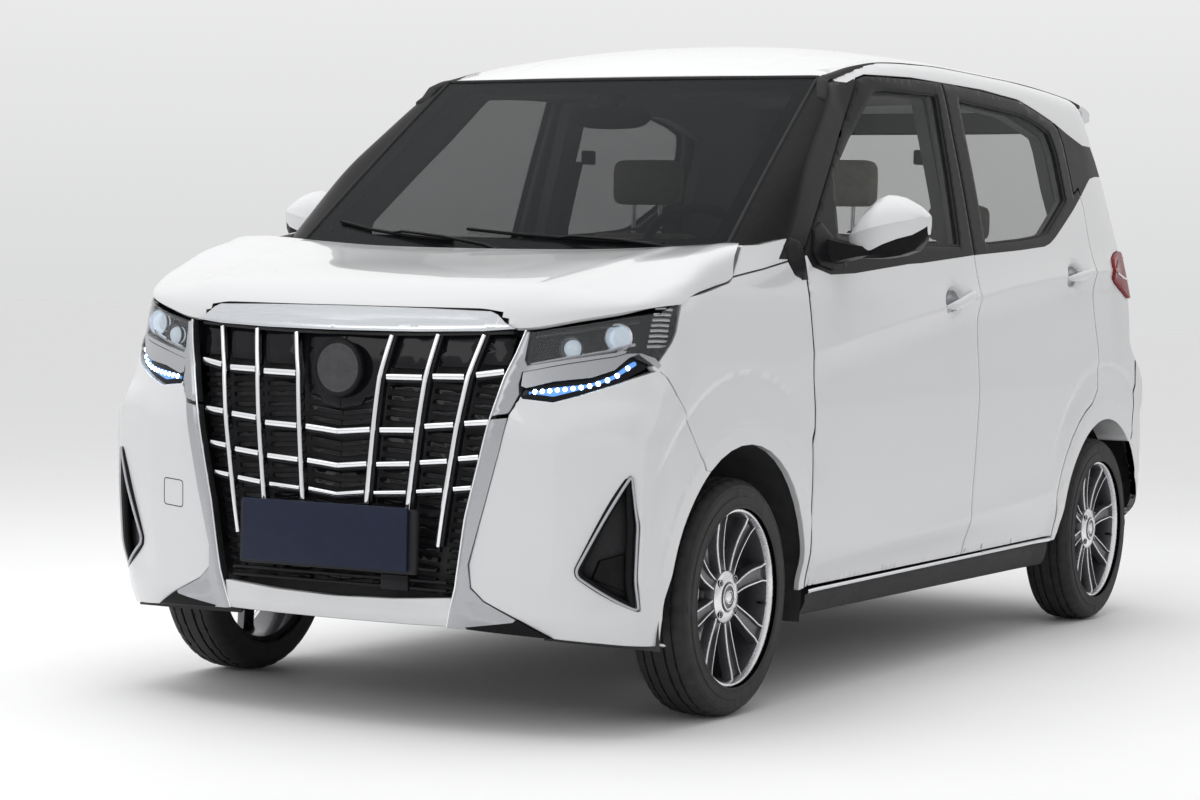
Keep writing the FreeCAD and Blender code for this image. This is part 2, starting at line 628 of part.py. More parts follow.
def p_cyl(name, r, length, pos, axis=(1, 0, 0)):
    o = doc.addObject("Part::Cylinder", name)
    o.Placement = FreeCAD.Placement(V(*pos), FreeCAD.Rotation(V(0, 0, 1), V(*axis)))
    for prop, k, v in (("Radius", "_rad", r), ("Height", "_len", length), ("Placement.Base.x", "_px", pos[0]),
                       ("Placement.Base.y", "_py", pos[1]), ("Placement.Base.z", "_pz", pos[2])):
        bind(o, prop, name + k, v)
    return o


def p_cone(name, r1, r2, length, pos, axis=(1, 0, 0)):
    o = doc.addObject("Part::Cone", name)
    o.Placement = FreeCAD.Placement(V(*pos), FreeCAD.Rotation(V(0, 0, 1), V(*axis)))
    for prop, k, v in (("Radius1", "_ra", r1), ("Radius2", "_rb", r2), ("Height", "_len", length),
                       ("Placement.Base.x", "_px", pos[0]), ("Placement.Base.y", "_py", pos[1]),
                       ("Placement.Base.z", "_pz", pos[2])):
        bind(o, prop, name + k, v)
    return o


def p_fuse(name, parts):
    o = doc.addObject("Part::MultiFuse", name)
    o.Shapes = parts
    return o


def p_cut(name, a, b):
    o = doc.addObject("Part::Cut", name)
    o.Base = a
    o.Tool = b
    return o


def done(o, node):
    o.Label = node
    nodes.append(o)


# wheels
for tag, sx, y in (("fl", 1, front_y), ("fr", -1, front_y), ("rl", 1, rear_y), ("rr", -1, rear_y)):
    n = "w" + tag
    ax = (sx, 0, 0)
    mx = g("wheel_mid_x")
    tw = g("tyre_width")
    r = g("tyre_radius")
    tread = p_cyl(n + "_tread", r, tw - 40, (sx * (mx - tw / 2 + 20), y, hub_z), ax)
    sh1 = p_cone(n + "_shoulder_in", 246, r, 20, (sx * (mx - tw / 2), y, hub_z), ax)
    sh2 = p_cone(n + "_shoulder_out", r, 246, 20, (sx * (mx + tw / 2 - 20), y, hub_z), ax)
    bore = p_cyl(n + "_bore", g("tyre_bore_radius"), tw + 20, (sx * (mx - tw / 2 - 10), y, hub_z), ax)
    done(p_cut(n + "_tyre", p_fuse(n + "_tyre_body", [tread, sh1, sh2]), bore), "tyre_" + tag)
    rw = g("rim_width")
    rr = g("tyre_bore_radius") - 0.2
    barrel = p_cut(n + "_barrel", p_cyl(n + "_barrel_out", rr, rw, (sx * (mx - rw / 2), y, hub_z), ax),
                   p_cyl(n + "_barrel_in", rr - g("rim_wall"), rw + 4, (sx * (mx - rw / 2 - 2), y, hub_z), ax))
    hub = p_cyl(n + "_hub", g("rim_hub_radius"), 46, (sx * 652, y, hub_z), ax)
    spokes = []
    for i in range(8):
        b = doc.addObject("Part::Box", "%s_spoke_%d" % (n, i))
        a = 45.0 * i + 13
        rot = FreeCAD.Rotation(V(1, 0, 0), a)
        b.Placement = FreeCAD.Placement(V(sx * 676 if sx > 0 else -698, y, hub_z) + rot.multVec(V(0, 40, -13)), rot)
        for prop, k, v in (("Length", "_lx", 22), ("Width", "_ly", 158), ("Height", "_lz", 26)):
            bind(b, prop, "%s_spoke_%d%s" % (n, i, k), v)
        spokes.append(b)
    centre = p_cyl(n + "_centre", g("rim_bore_radius"), 30, (sx * 640, y, hub_z), ax)
    done(p_cut(n + "_rim", p_fuse(n + "_rim_body", [barrel, hub] + spokes), centre), "rim_" + tag)

# knuckles
for tag, sx in (("left", 1), ("right", -1)):
    n = "knuckle_" + tag
    ax = (sx, 0, 0)
    carrier = p_cyl(n + "_carrier", 58, 62, (sx * 572, front_y, hub_z), ax)
    disc = p_cyl(n + "_disc", 122, 12, (sx * 634, front_y, hub_z), ax)
    spigot = p_cyl(n + "_spigot", 20, 22, (sx * 646, front_y, hub_z), ax)
    x0, x1 = (528, 574) if sx > 0 else (-574, -528)
    web = p_box(n + "_web", x0, x1, front_y - 30, front_y + 30, hub_z - 60, hub_z + 70)
    strut = p_cyl(n + "_strut", 24, 330, (sx * 548, front_y, hub_z + 60), (0, 0, 1))
    x0, x1 = (600, 650) if sx > 0 else (-650, -600)
    cal = p_box(n + "_caliper", x0, x1, front_y + 70, front_y + 138, hub_z - 55, hub_z + 55)
    done(p_fuse(n + "_all", [carrier, disc, spigot, web, strut, cal]), n)

# rear axle
beam = p_box("axle_beam", -560, 560, rear_y - 38, rear_y + 38, 236, 300)
arm1 = p_box("axle_arm_l", 380, 430, 760, rear_y, 240, 290)
arm2 = p_box("axle_arm_r", -430, -380, 760, rear_y, 240, 290)
dr1 = p_cyl("axle_drum_l", 96, 84, (560, rear_y, hub_z), (1, 0, 0))
dr2 = p_cyl("axle_drum_r", 96, 84, (-560, rear_y, hub_z), (-1, 0, 0))
sp1 = p_cyl("axle_spigot_l", 20, 24, (644, rear_y, hub_z), (1, 0, 0))
sp2 = p_cyl("axle_spigot_r", 20, 24, (-644, rear_y, hub_z), (-1, 0, 0))
done(p_fuse("axle_all", [beam, arm1, arm2, dr1, dr2, sp1, sp2]), "rear_axle")

# front frame: two rails, radiator panel, cross piece, lower arms and strut towers
fr = [p_box("rail_l", 330, 392, -1560, -801, 380, 470), p_box("rail_r", -392, -330, -1560, -801, 380, 470),
      p_box("cross_low", -392, 392, -1200, -1060, 300, 380), p_box("core_low", -560, 560, -1590, -1560, 290, 360),
      p_box("core_high", -392, 392, -1560, -1530, 790, 830), p_box("core_l", 430, 480, -1590, -1530, 290, 700),
      p_box("core_r", -480, -430, -1590, -1530, 290, 700),
      p_box("core_bar", -560, 560, -1585, -1540, 420, 500),
      p_box("radiator", -432, 432, -1580, -1562, 350, 790)]
for tag, sx in (("l", 1), ("r", -1)):
    a, b = sorted((sx * 392, sx * 520))
    a, b = sorted((sx * 380, sx * 520))
    fr.append(p_box("arm_" + tag, a, b, front_y - 40, front_y + 40, 310, 335))
    a, b = sorted((sx * 392, sx * 610))
    fr.append(p_box("tower_" + tag, a, b, front_y - 110, front_y + 110, 672, 700))
    a, b = sorted((sx * 350, sx * 392))
    fr.append(p_box("tower_wall_" + tag, a, b, front_y - 110, front_y + 110, 460, 700))
    a, b = sorted((sx * 560, sx * 610))
    fr.append(p_box("tower_rail_" + tag, a, b, -1455, -801, 695, 785))
done(p_fuse("front_frame_all", fr), "front_frame")

done(p_box("engine_block", -300, 300, -1510, -1215, 330, 770), "engine")

# floor, bulkhead, cowl
fl = [p_box("floor_front", -545, 545, -775, 560, 205, 230), p_box("floor_step", -520, 520, 548, 560, 205, 355),
      p_box("floor_rear", -520, 520, 548, 1564, 330, 355),
      p_box("tunnel", -70, 70, -775, 548, 230, 262)]
done(p_fuse("floor_all", fl), "floor_pan")
bh = [p_box("bulkhead_wall", -540, 540, -800, -776, 205, 1010), p_box("cowl_tray", -560, 560, -1010, -776, 1010, 1030)]
done(p_fuse("bulkhead_all", bh), "bulkhead")
done(p_box("tank", -330, 330, 600, 980, 204, 322), "fuel_tank")
ex = [p_cyl("pipe", 22, 2150, (180, -700, 178), (0, 1, 0)), p_box("silencer", -470, -120, 1420, 1550, 185, 315),
      p_box("silencer_link", -130, 205, 1440, 1500, 160, 200)]
done(p_fuse("exhaust_all", ex), "exhaust")

# cabin
done(p_fuse("dash_all", [p_box("dash_body", -560, 560, -776, -560, 700, 1000),
                         p_box("dash_console", -110, 110, -776, -420, 262, 760),
                         p_cyl("dash_column", 24, 150, (272, -610, 935), (0, math.cos(math.radians(25)), math.sin(math.radians(25))))]),
     "dashboard")

seats = []
for tag, cx in (("l", 300), ("r", -300)):
    seats += [p_box("seat_base_" + tag, cx - 180, cx + 180, -200, 230, 262 if False else 230, 470),
              p_box("seat_cushion_" + tag, cx - 225, cx + 225, -250, 270, 470, 600),
              p_box("seat_back_" + tag, cx - 225, cx + 225, 230, 340, 560, 1140),
              p_box("seat_head_" + tag, cx - 120, cx + 120, 270, 350, 1190, 1345),
              p_box("seat_post_" + tag, cx - 60, cx + 60, 295, 315, 1130, 1200)]
done(p_fuse("front_seats_all", seats), "front_seats")
rs = [p_box("rear_cushion", -480, 480, 760, 1260, 400, 590), p_box("rear_base", -420, 420, 800, 1200, 355, 400),
      p_box("rear_back", -480, 480, 1230, 1330, 560, 1090)]
for tag, cx in (("l", 260), ("r", -260)):
    rs += [p_box("rear_head_" + tag, cx - 110, cx + 110, 1250, 1320, 1120, 1250),
           p_box("rear_post_" + tag, cx - 50, cx + 50, 1275, 1295, 1080, 1130)]
done(p_fuse("rear_seat_all", rs), "rear_seat")

# steering wheel
ca, sa = math.cos(math.radians(25)), math.sin(math.radians(25))
sw_c = (272, -610 + 190 * ca, 935 + 190 * sa)
ringo = doc.addObject("Part::Torus", "sw_ring")
ringo.Placement = FreeCAD.Placement(V(*sw_c), FreeCAD.Rotation(V(0, 0, 1), V(0, ca, sa)))
bind(ringo, "Radius1", "sw_radius", 176)
bind(ringo, "Radius2", "sw_tube", 14)
hubo = p_cyl("sw_hub", 58, 40, (sw_c[0], sw_c[1] - 34 * ca, sw_c[2] - 34 * sa), (0, ca, sa))
sp = []
for i, (a, l) in enumerate(((0, 120), (180, 120), (270, 120))):
    b = doc.addObject("Part::Box", "sw_spoke_%d" % i)
    rot = FreeCAD.Rotation(V(1, 0, 0), -65).multiply(FreeCAD.Rotation(V(0, 0, 1), a))
    b.Placement = FreeCAD.Placement(V(*sw_c) + rot.multVec(V(52, -15, -7)), rot)
    for prop, k, v in (("Length", "_lx", l), ("Width", "_ly", 30), ("Height", "_lz", 14)):
        bind(b, prop, "sw_spoke_%d%s" % (i, k), v)
    sp.append(b)
done(p_fuse("sw_all", [ringo, hubo] + sp), "steering_wheel")

# small outside and inside pieces
done(p_box("plate_front", -g("plate_width") / 2, g("plate_width") / 2, -1745, -1731, 343, 485), "front_plate")
done(p_box("plate_rear", -165, 165, 1651, 1656, 797, 962), "rear_plate")
done(p_fuse("cmirror_all", [p_box("cmirror_glass", -118, 118, -475, -448, 1374, 1437),
                            p_cyl("cmirror_stem", 8, 46, (0, -440, 1425), (0, 0.55, 1))]), "centre_mirror")
wip = []
for tag, x0, ang, ln in (("a", 480, 0, 560), ("b", -40, 0, 420)):
    b = doc.addObject("Part::Box", "wiper_" + tag)
    b.Placement = FreeCAD.Placement(V(x0 - ln, -1043, 1078), FreeCAD.Rotation(V(0, 1, 0), 1.5))
    for prop, k, v in (("Length", "_lx", ln), ("Width", "_ly", 12), ("Height", "_lz", 22)):
        bind(b, prop, "wiper_%s%s" % (tag, k), v)
    wip.append(b)
wall = p_fuse("wipers_all", wip)
done(wall, "wipers")

doc.recompute()
bad = []
for o in doc.Objects:
    if any(f in ("Invalid", "Error") for f in o.State):
        bad.append(o.Name)
for o in nodes:
    if o.Shape.isNull() or not o.Shape.isValid() or not o.Shape.Solids:
        bad.append(o.Label)
if bad:
    raise RuntimeError("bad objects: %s" % bad)
for o in nodes:
    o.Shape.exportStep("parts/%s.step" % o.Label)
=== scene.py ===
import math
from bisect import bisect_right

import bpy
from mathutils import Matrix, Vector, noise
from mathutils.geometry import delaunay_2d_cdt


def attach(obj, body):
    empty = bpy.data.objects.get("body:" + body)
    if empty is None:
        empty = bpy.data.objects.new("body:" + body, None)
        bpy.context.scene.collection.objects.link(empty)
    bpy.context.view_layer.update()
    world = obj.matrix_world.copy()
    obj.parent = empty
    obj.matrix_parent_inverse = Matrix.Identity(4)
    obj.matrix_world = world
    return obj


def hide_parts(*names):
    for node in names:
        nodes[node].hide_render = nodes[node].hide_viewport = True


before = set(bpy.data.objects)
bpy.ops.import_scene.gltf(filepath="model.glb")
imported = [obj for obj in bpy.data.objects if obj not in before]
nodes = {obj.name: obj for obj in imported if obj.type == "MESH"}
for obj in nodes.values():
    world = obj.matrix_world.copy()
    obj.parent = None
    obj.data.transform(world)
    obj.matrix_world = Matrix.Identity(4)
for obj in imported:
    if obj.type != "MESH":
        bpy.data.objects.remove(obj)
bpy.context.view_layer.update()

front_y, rear_y, hub_z, arch_f, arch_r = -1121.5, 1333.5, 272.5, 350.0, 332.0
door_depth, frame_depth, gap = 90.0, 36.0, 3.0

# ---------------------------------------------------------------- shape functions
def curve(pts):
    xs = [p[0] for p in pts]
    ys = [p[1] for p in pts]
    n = len(xs)
    h = [xs[i + 1] - xs[i] for i in range(n - 1)]
    d = [(ys[i + 1] - ys[i]) / h[i] for i in range(n - 1)]
    m = [0.0] * n
    for i in range(1, n - 1):
        if d[i - 1] * d[i] > 0:
            w1 = 2 * h[i] + h[i - 1]
            w2 = h[i] + 2 * h[i - 1]
            m[i] = (w1 + w2) / (w1 / d[i - 1] + w2 / d[i])
    m[0] = d[0]
    m[-1] = d[-1]

    def f(t):
        if t <= xs[0]:
            return ys[0] + m[0] * (t - xs[0])
        if t >= xs[-1]:
            return ys[-1] + m[-1] * (t - xs[-1])
        i = bisect_right(xs, t) - 1
        u = (t - xs[i]) / h[i]
        a = (2 * u ** 3 - 3 * u ** 2 + 1) * ys[i] + (u ** 3 - 2 * u ** 2 + u) * h[i] * m[i]
        return a + (-2 * u ** 3 + 3 * u ** 2) * ys[i + 1] + (u ** 3 - u ** 2) * h[i] * m[i + 1]
    return f


def smooth(t):
    t = 0.0 if t < 0 else 1.0 if t > 1 else t
    return t * t * (3 - 2 * t)


# half section of the body side: height, half width
sec = curve([(170, 684), (190, 692), (280, 704), (360, 722), (480, 726), (600, 729), (700, 731),
             (800, 730), (880, 728), (950, 724), (1000, 716), (1090, 700), (1200, 677), (1300, 655),
             (1400, 631), (1500, 607), (1530, 598), (1556, 588), (1578, 572), (1596, 546)])
# height of the roof edge, and of the roof's centre line, along the car
edge_z = curve([(-430, 1490), (-371, 1512), (-309, 1527), (-200, 1553), (-61, 1575), (150, 1589),
                (416, 1596), (870, 1595), (1372, 1577), (1600, 1549), (1700, 1530)])
crown_z = curve([(-430, 1504), (-400, 1517), (-300, 1556), (-200, 1585), (-61, 1613), (100, 1632),
                 (300, 1641), (600, 1644), (900, 1640), (1200, 1628), (1400, 1612), (1550, 1592),
                 (1640, 1574)])
# front face: centre line, start of the corner, power of the corner, by height
nose_y = curve([(170, -1640), (187, -1662), (225, -1688), (291, -1698), (400, -1704), (500, -1707),
                (634, -1706), (736, -1702), (784, -1697), (843, -1686), (900, -1670), (940, -1650),
                (1000, -1600)])
nose_b = curve([(170, -1430), (187, -1440), (291, -1462), (400, -1470), (500, -1478), (634, -1478),
                (736, -1404), (843, -1354), (918, -1336), (960, -1300), (1004, -1230), (1110, -1100), (1700, -1090)])
nose_n = curve([(170, 2.6), (634, 2.6), (736, 2.5), (843, 2.4), (918, 2.45), (1000, 2.5)])
# rear face
tail_y = curve([(170, 1640), (187, 1655), (229, 1690), (337, 1730), (523, 1745), (640, 1745),
                (697, 1742), (745, 1722), (785, 1680), (838, 1650), (900, 1648), (1000, 1648),
                (1100, 1643), (1200, 1632), (1300, 1616), (1400, 1594), (1480, 1574), (1560, 1552)])
tail_d = curve([(170, 75), (697, 75), (785, 95), (838, 115), (1100, 125), (1560, 150)])


def lip(y, z):
    """outward swelling around a wheel opening"""
    s = 0.0
    for cy in (front_y, rear_y):
        r = math.hypot(y - cy, z - hub_z)
        if r < 540 and z > 150:
            s = max(s, 7.0 * (1 - smooth((r - 375) / 125.0)))
    return s


def side_half(z, y):
    if z > 1100:
        z = 1100 + (z - 1100) * 496.0 / (edge_z(max(-371, y)) - 1100)
    return sec(z)


def side_x(y, z):
    a = side_half(z, y)
    # the fender tops lean in towards the bonnet
    a -= 22 * smooth((-700 - y) / 500.0) * smooth((z - 960) / 130.0)
    b = nose_b(z)
    if y < b:
        d = b - nose_y(z)
        t = min(0.999, (b - y) / d)
        n = nose_n(z)
        a *= (1 - t ** n) ** (1 / n)
    e = tail_y(z) - tail_d(z)
    if y > e:
        t = min(0.999, (y - e) / tail_d(z))
        a *= (1 - t ** 2.4) ** (1 / 2.4)
    a -= 14 * smooth((y - 1350) / 350.0) * smooth((z - 900) / 300.0)
    return a + lip(y, z) * smooth((y + 1640) / 120.0)


def front_face(x, z):
    a = sec(z) + 3
    b = nose_b(z)
    n = nose_n(z)
    t = min(0.999, abs(x) / a)
    return b - (b - nose_y(z)) * (1 - t ** n) ** (1 / n)


def rear_face(x, z):
    a = side_half(z, 1560)
    a -= 14 * smooth((z - 900) / 300.0)
    d = tail_d(z)
    t = min(0.999, abs(x) / a)
    return tail_y(z) - d + d * (1 - t ** 2.4) ** (1 / 2.4)


def pw(c, n):
    return max(c, 0.0) ** (2.0 / n)


def rear_point(s, z, off, y_end):
    """plan line at height z from the rear centre (s 0) round the corner (s 1) to y_end (s 2)"""
    d = tail_d(z)
    e = tail_y(z) - d
    if s < 1:
        f = math.radians(90 * s)
        t = 30.0 if off > 30 else off
        k = t + (off - t) * smooth((abs(s) - 0.6) / 0.4)
        y = e + (d - min(k, 0.6 * d)) * pw(math.cos(f), 2.4)
        a = side_half(z, y) - 14 * smooth((y - 1350) / 350.0) * smooth((z - 900) / 300.0)
        x = (a - k + lip(y, z)) * pw(abs(math.sin(f)), 2.4)
        return (x if s > 0 else -x, y, z)
    y = e + (y_end - e) * (s - 1)
    return (side_x(y, z) - off, y, z)


def front_point(s, z, off, y_end):
    """plan line at height z from the front centre (s 0) round the corner (s 1) to y_end (s 2)"""
    b = nose_b(z)
    d = b - nose_y(z)
    n = nose_n(z)
    if s < 1:
        f = math.radians(90 * s)
        y = b - (d - min(off, 0.6 * d)) * pw(math.cos(f), n)
        a = side_half(z, y) - 22 * smooth((-700 - y) / 500.0) * smooth((z - 960) / 130.0)
        x = (a - off + lip(y, z) * smooth((y + 1640) / 120.0)) * pw(abs(math.sin(f)), n)
        return (x if s > 0 else -x, y, z)
    y = b + (y_end - b) * (s - 1)
    return (side_x(y, z) - off, y, z)


def roof_top(x, y):
    c = crown_z(y)
    return c - (c - edge_z(y)) * (abs(x) / 541.0) ** 2.3


def screen_y(x, z):
    t = (z - 1077) / 436.0
    bow = 45 - 15 * t
    return -966 + 595 * t - bow * (1 - (x / 617.0) ** 2) - 26 * t * (1 - t)


def door_in(z):
    return frame_depth + (door_depth - frame_depth) * (1 - smooth((z - 1040) / 70.0))


# ---------------------------------------------------------------- outlines
EDGE = [(-733, 262), (-744, 332), (-748, 404), (-748, 500), (-745, 595), (-751, 691), (-760, 786),
        (-773, 881), (-783, 950), (-784, 1000), (-783, 1062)]
FRONT_DOOR = EDGE + [(-740, 1105), (-500, 1303), (-240, 1513), (-183, 1526), (100, 1538), (306, 1543),
                     (306, 1000), (302, 820), (302, 690), (294, 530), (282, 400), (282, 268)]
REAR_DOOR = [(282, 268), (282, 400), (294, 530), (302, 690), (302, 820), (306, 1000), (306, 1543),
             (600, 1540), (880, 1530), (1004, 1508), (1130, 1482), (1164, 1468), (1189, 1419), (1192, 1340),
             (1192, 1272), (1244, 1291), (1258, 1236), (1254, 1136), (1263, 1040), (1246, 950), (1252, 890),
             (1270, 816), (1270, 744), (1256, 694)] + \
            [(rear_y + 402 * math.cos(math.radians(a)), hub_z + 402 * math.sin(math.radians(a)))
             for a in (108, 117, 126, 135, 144, 153, 162)] + [(956, 330), (958, 274)]
FRONT_GLASS = [(-575, 1090), (-520, 1262), (-165, 1488), (-100, 1498), (250, 1506), (214, 1098)]
REAR_CORE = REAR_DOOR[:12] + [(1188, 1408), (1190, 1290), (1214, 1190), (1236, 1040)] + REAR_DOOR[19:]
REAR_GLASS = [(404, 1107), (400, 1503), (749, 1495), (880, 1490), (1001, 1471), (1084, 1450), (1100, 1424),
              (1113, 1388), (1115, 1250), (1054, 1221), (965, 1179), (906, 1151), (857, 1140), (688, 1125)]
GATE = [(-612, 660), (-612, 950), (-616, 1100), (-590, 1300), (-540, 1500), (-480, 1542),
        (480, 1542), (540, 1500), (590, 1300), (616, 1100), (612, 950), (612, 660)]
SIDE = [(-727, 196), (-738, 332), (-742, 404), (-742, 500), (-739, 595), (-745, 691), (-754, 786),
        (-767, 881), (-777, 950), (-778, 1000), (-777, 1066), (-829, 1095), (-829, 1180), (-370, 1510),
        (-299, 1534), (-59, 1577), (151, 1585), (1251, 1585), (1401, 1572), (1546, 1552), (1641, 1400),
        (1641, 1090), (1641, 790), (1593, 788), (1601, 640), (1561, 530), (1501, 196)]
ARCH = lambda cy, r, a0, a1, n: [(cy + r * math.cos(math.radians(a0 + (a1 - a0) * i / n)),
                                  hub_z + r * math.sin(math.radians(a0 + (a1 - a0) * i / n)))
                                 for i in range(n + 1)]
TAIL_LAMP = [(1519, 1112), (1463, 1102), (1427, 1087), (1412, 1062), (1413, 1028), (1464, 1000), (1524, 968),
             (1660, 962), (1660, 1088), (1589, 1100)]
hood_c = curve([(-1690, 926), (-1640, 952), (-1600, 968), (-1500, 991), (-1400, 1007), (-1300, 1021),
                (-1200, 1036), (-1075, 1057), (-950, 1078)])
hood_k = curve([(-1640, 925), (-1600, 935), (-1500, 956), (-1430, 979), (-1361, 1006), (-1273, 1043),
                (-1191, 1062), (-1100, 1078), (-1003, 1083), (-900, 1092)])
hood_g = curve([(-1700, 905), (-1511, 923), (-1451, 944), (-1415, 953), (-1339, 967), (-1262, 981),
                (-1199, 992), (-1172, 1004), (-1089, 1077), (-1000, 1082)])
edge_h = curve([(0, 903), (330, 898), (425, 880), (560, 904), (713, 939), (730, 943)])
rear_row = curve([(0, -1075), (300, -1070), (480, -1052), (590, -1046), (640, -1062), (682, -1091), (702, -1140),
                  (711, -1175)])
TOP_U = [0, .08, .16, .24, .32, .4, .48, .56, .64, .71, .77, .82, .86, .89, .92, .945, .965, .985, 1.0]
TOP_T = [0, .012, .03, .055, .09, .13, .18, .25, .34, .44, .55, .66, .77, .88, 1.0]


def hood_pt(u, t, d):
    w = abs(u)
    xa = 713 * w
    za = edge_h(xa)
    ya = front_face(xa, za)
    xc = 711 * w if w < .9 else 640 + 71 * math.sin(math.radians(90 * (w - .9) / .1)) ** .8
    yc = rear_row(xc)
    x = xa + (xc - xa) * t
    y = ya + (yc - ya) * t
    c = hood_c(y)
    k = hood_k(y)
    if w <= .9:
        z = c + (k - c) * (w / .9) ** 3.2
    else:
        e = hood_g(y)
        q = (w - .9) / .1
        z = e + (k - e) * (1 - q ** 2.2) ** (1 / 2.2)
    r = min(1.0, (y - ya) / 85.0)
    q = (1 - (1 - r) ** 2.2) ** (1 / 2.2)
    z = za + (z - za) * q
    if d:
        k = smooth((w - .86) / .14)
        x -= d * k
        y += d * 0.7 * (1 - q)
        z -= d * (1 - k) * (0.35 + 0.65 * q)
    return (x if u >= 0 else x, y, z)


def roof_pt(u, t, d):
    x = 552.0 * u
    y0 = -398 + 27 * (x / 567.0) ** 2
    y1 = 1537 - 6 * abs(u) ** 3
    y = y0 + (y1 - y0) * t
    return (x, y, roof_top(x, y) - d * min(1.0, 0.25 + 9 * t))


def screen_pt(u, t, d):
    z = 1050 + (1507 - 1050) * t - 14 * (1 - u * u) * (1 - t)
    x = (617 - 50 * (z - 1077) / 436.0 - 24) * u
    return (x, screen_y(x, z) + d, z)


def spoiler_pt(u, t, d):
    x = 520.0 * u
    y = 1547 + (93 - 26 * abs(u) ** 3) * t
    return (x, y, roof_top(x, y) - 6 * t * t - d * (1 - 0.55 * t))


SEAM = [(-1172, 1000), (-1088, 1010), (-1004, 1020), (-853, 1043), (-792, 1056)]
FENDER = [(-1414, 951), (-1421, 938), (-1434, 908), (-1443, 879), (-1457, 855), (-1480, 828), (-1505, 801),
          (-1480, 779), (-1456, 737), (-1415, 692), (-1366, 625), (-1325, 572)] + ARCH(front_y, arch_f, 122, 0, 14) + \
         [(-768, 259)] + [(y - 6, z) for y, z in EDGE[:-1]] + [(-789, 1054)] + SEAM[-2::-1] + \
         [(-1199, 988), (-1262, 977), (-1339, 963)]
COWL_SIDE = [(y, z + 3) for y, z in SEAM] + [(-787, 1063), (-834, 1089), (-834, 1103), (-998, 1077), (-1078, 1077)]
LAMP = [(430, 869), (560, 891), (713, 926), (735, 938), (735, 800), (703, 797), (640, 765), (560, 738),
        (470, 722), (432, 748), (410, 782)]
STRIP = [(-424, 877), (-360, 918), (360, 918), (424, 877), (350, 870), (0, 864), (-350, 870)]
GRILLE = [(-427, 876), (-412, 784), (-390, 686), (-368, 600), (-338, 470), (-306, 296), (306, 296), (338, 470),
          (368, 600), (390, 686), (412, 784), (427, 876)]
LOWER = [(-1329, 570), (-1371, 628), (-1420, 695), (-1462, 741), (-1486, 784), (-1512, 807), (-1720, 930),
         (-1800, 930), (-1800, 180), (-1460, 180)] + ARCH(front_y, arch_f, 180 + 12, 125, 12)
BARS = [[(127, 857), (108, 765), (95, 610), (85, 485)], [(241, 862), (224, 772), (206, 610), (190, 470)],
        [(349, 864), (325, 776), (299, 610), (266, 400)]]
TAIL_GLASS = [(-560, 1130), (-572, 1180), (-500, 1440), (-440, 1478), (440, 1478), (500, 1440),
              (572, 1180), (560, 1130)]
SKIRT = [(-700, 187), (-700, 256), (955, 270), (955, 187)]
REAR_SIDE = [(1566, 538), (1605, 640), (1597, 782), (1900, 782), (1900, 225)] + ARCH(rear_y, arch_r, -8, 49, 8)


# ---------------------------------------------------------------- finer surface of the side
crease_z = curve([(-860, 812), (-828, 820), (-765, 830), (-644, 846), (-504, 866), (8, 929), (616, 999),
                  (770, 1012), (963, 1027), (1211, 1042), (1410, 1052), (1500, 1056)])
valley_z = curve([(-815, 762), (-484, 790), (94, 868), (596, 912), (764, 928), (938, 942), (1209, 962), (1363, 970),
                  (1500, 976)])
sill_z = curve([(-662, 318), (-443, 331), (973, 409), (1100, 416)])


def relief(y, z):
    a = smooth((y + 850) / 250.0) * (0.6 + 0.4 * smooth((y + 600) / 1500.0)) * (1 - smooth((y - 1390) / 110.0))
    r = 0.0
    if a > 0:
        c, v = crease_z(y), valley_z(y)
        if z >= c:
            u = min(1.0, (z - c) / 85.0)
            r += a * 9.5 * (1 - u) ** 2
        elif z > v:
            r += a * (9.5 - 20.5 * math.sin(math.pi / 2 * (c - z) / (c - v)))
        else:
            r -= a * 11.0 * (1 - smooth((v - z) / max(80.0, v - 690.0)))
    if -760 < y < 960 and z < 480:
        s = sill_z(y)
        k = smooth((y + 760) / 90.0) * smooth((960 - y) / 60.0)
        if z > s:
            r += 3.0 * k * (1 - min(1.0, (z - s) / 75.0)) ** 2
        else:
            r += k * (3.0 - 7.0 * min(1.0, (s - z) / 50.0))
    return r


def flare(y, z):
    """raised band round a wheel opening, fading towards its lower ends"""
    out = 0.0
    for cy, r0 in ((front_y, arch_f), (rear_y, arch_r)):
        r = math.hypot(y - cy, z - hub_z) - (r0 - 350.0)
        if r > 545:
            continue
        a = math.degrees(math.atan2(z - hub_z, y - cy))
        f = smooth((a - 18) / 30.0) * smooth((160 - a) / 30.0)
        if r > 527:
            s = 0.0
        elif r > 503:
            s = -6.0 * smooth((527 - r) / 24.0)
        elif r > 412:
            s = -6.0 + 9.0 * (503 - r) / 91.0
        else:
            s = 3.0
        s *= f
        if r < 412:
            s += 4.0 * smooth((412 - r) / 22.0)
        out += s
    return out


def fine(y, z):
    """what the fine surface adds to the plain one"""
    return relief(y, z) + (flare(y, z) - lip(y, z)) * smooth((y + 1640) / 120.0)


def side_p(y, z, d):
    return (side_x(y, z) + (fine(y, z) if d < 6 else 0.0) - d, y, z)


ARC = 850.0


def front_p(a, z, d):
    """point by the length round the nose from its middle and the height"""
    w = abs(a)
    b = nose_b(z)
    if w < ARC:
        x, y, _ = front_point(w / ARC, z, d, 0.0)
    else:
        y = b + (w - ARC)
        x = side_x(y, z) - d
    if d < 6:
        k = smooth((w - 520) / 300.0)
        if k:
            x += k * fine(y, z)
    return (x if a >= 0 else -x, y, z)


def front_a(y, z):
    b = nose_b(z)
    if y >= b:
        return ARC + y - b
    d, n = b - nose_y(z), nose_n(z)
    return ARC / 90.0 * math.degrees(math.acos(min(1.0, ((b - y) / d)) ** (n / 2)))


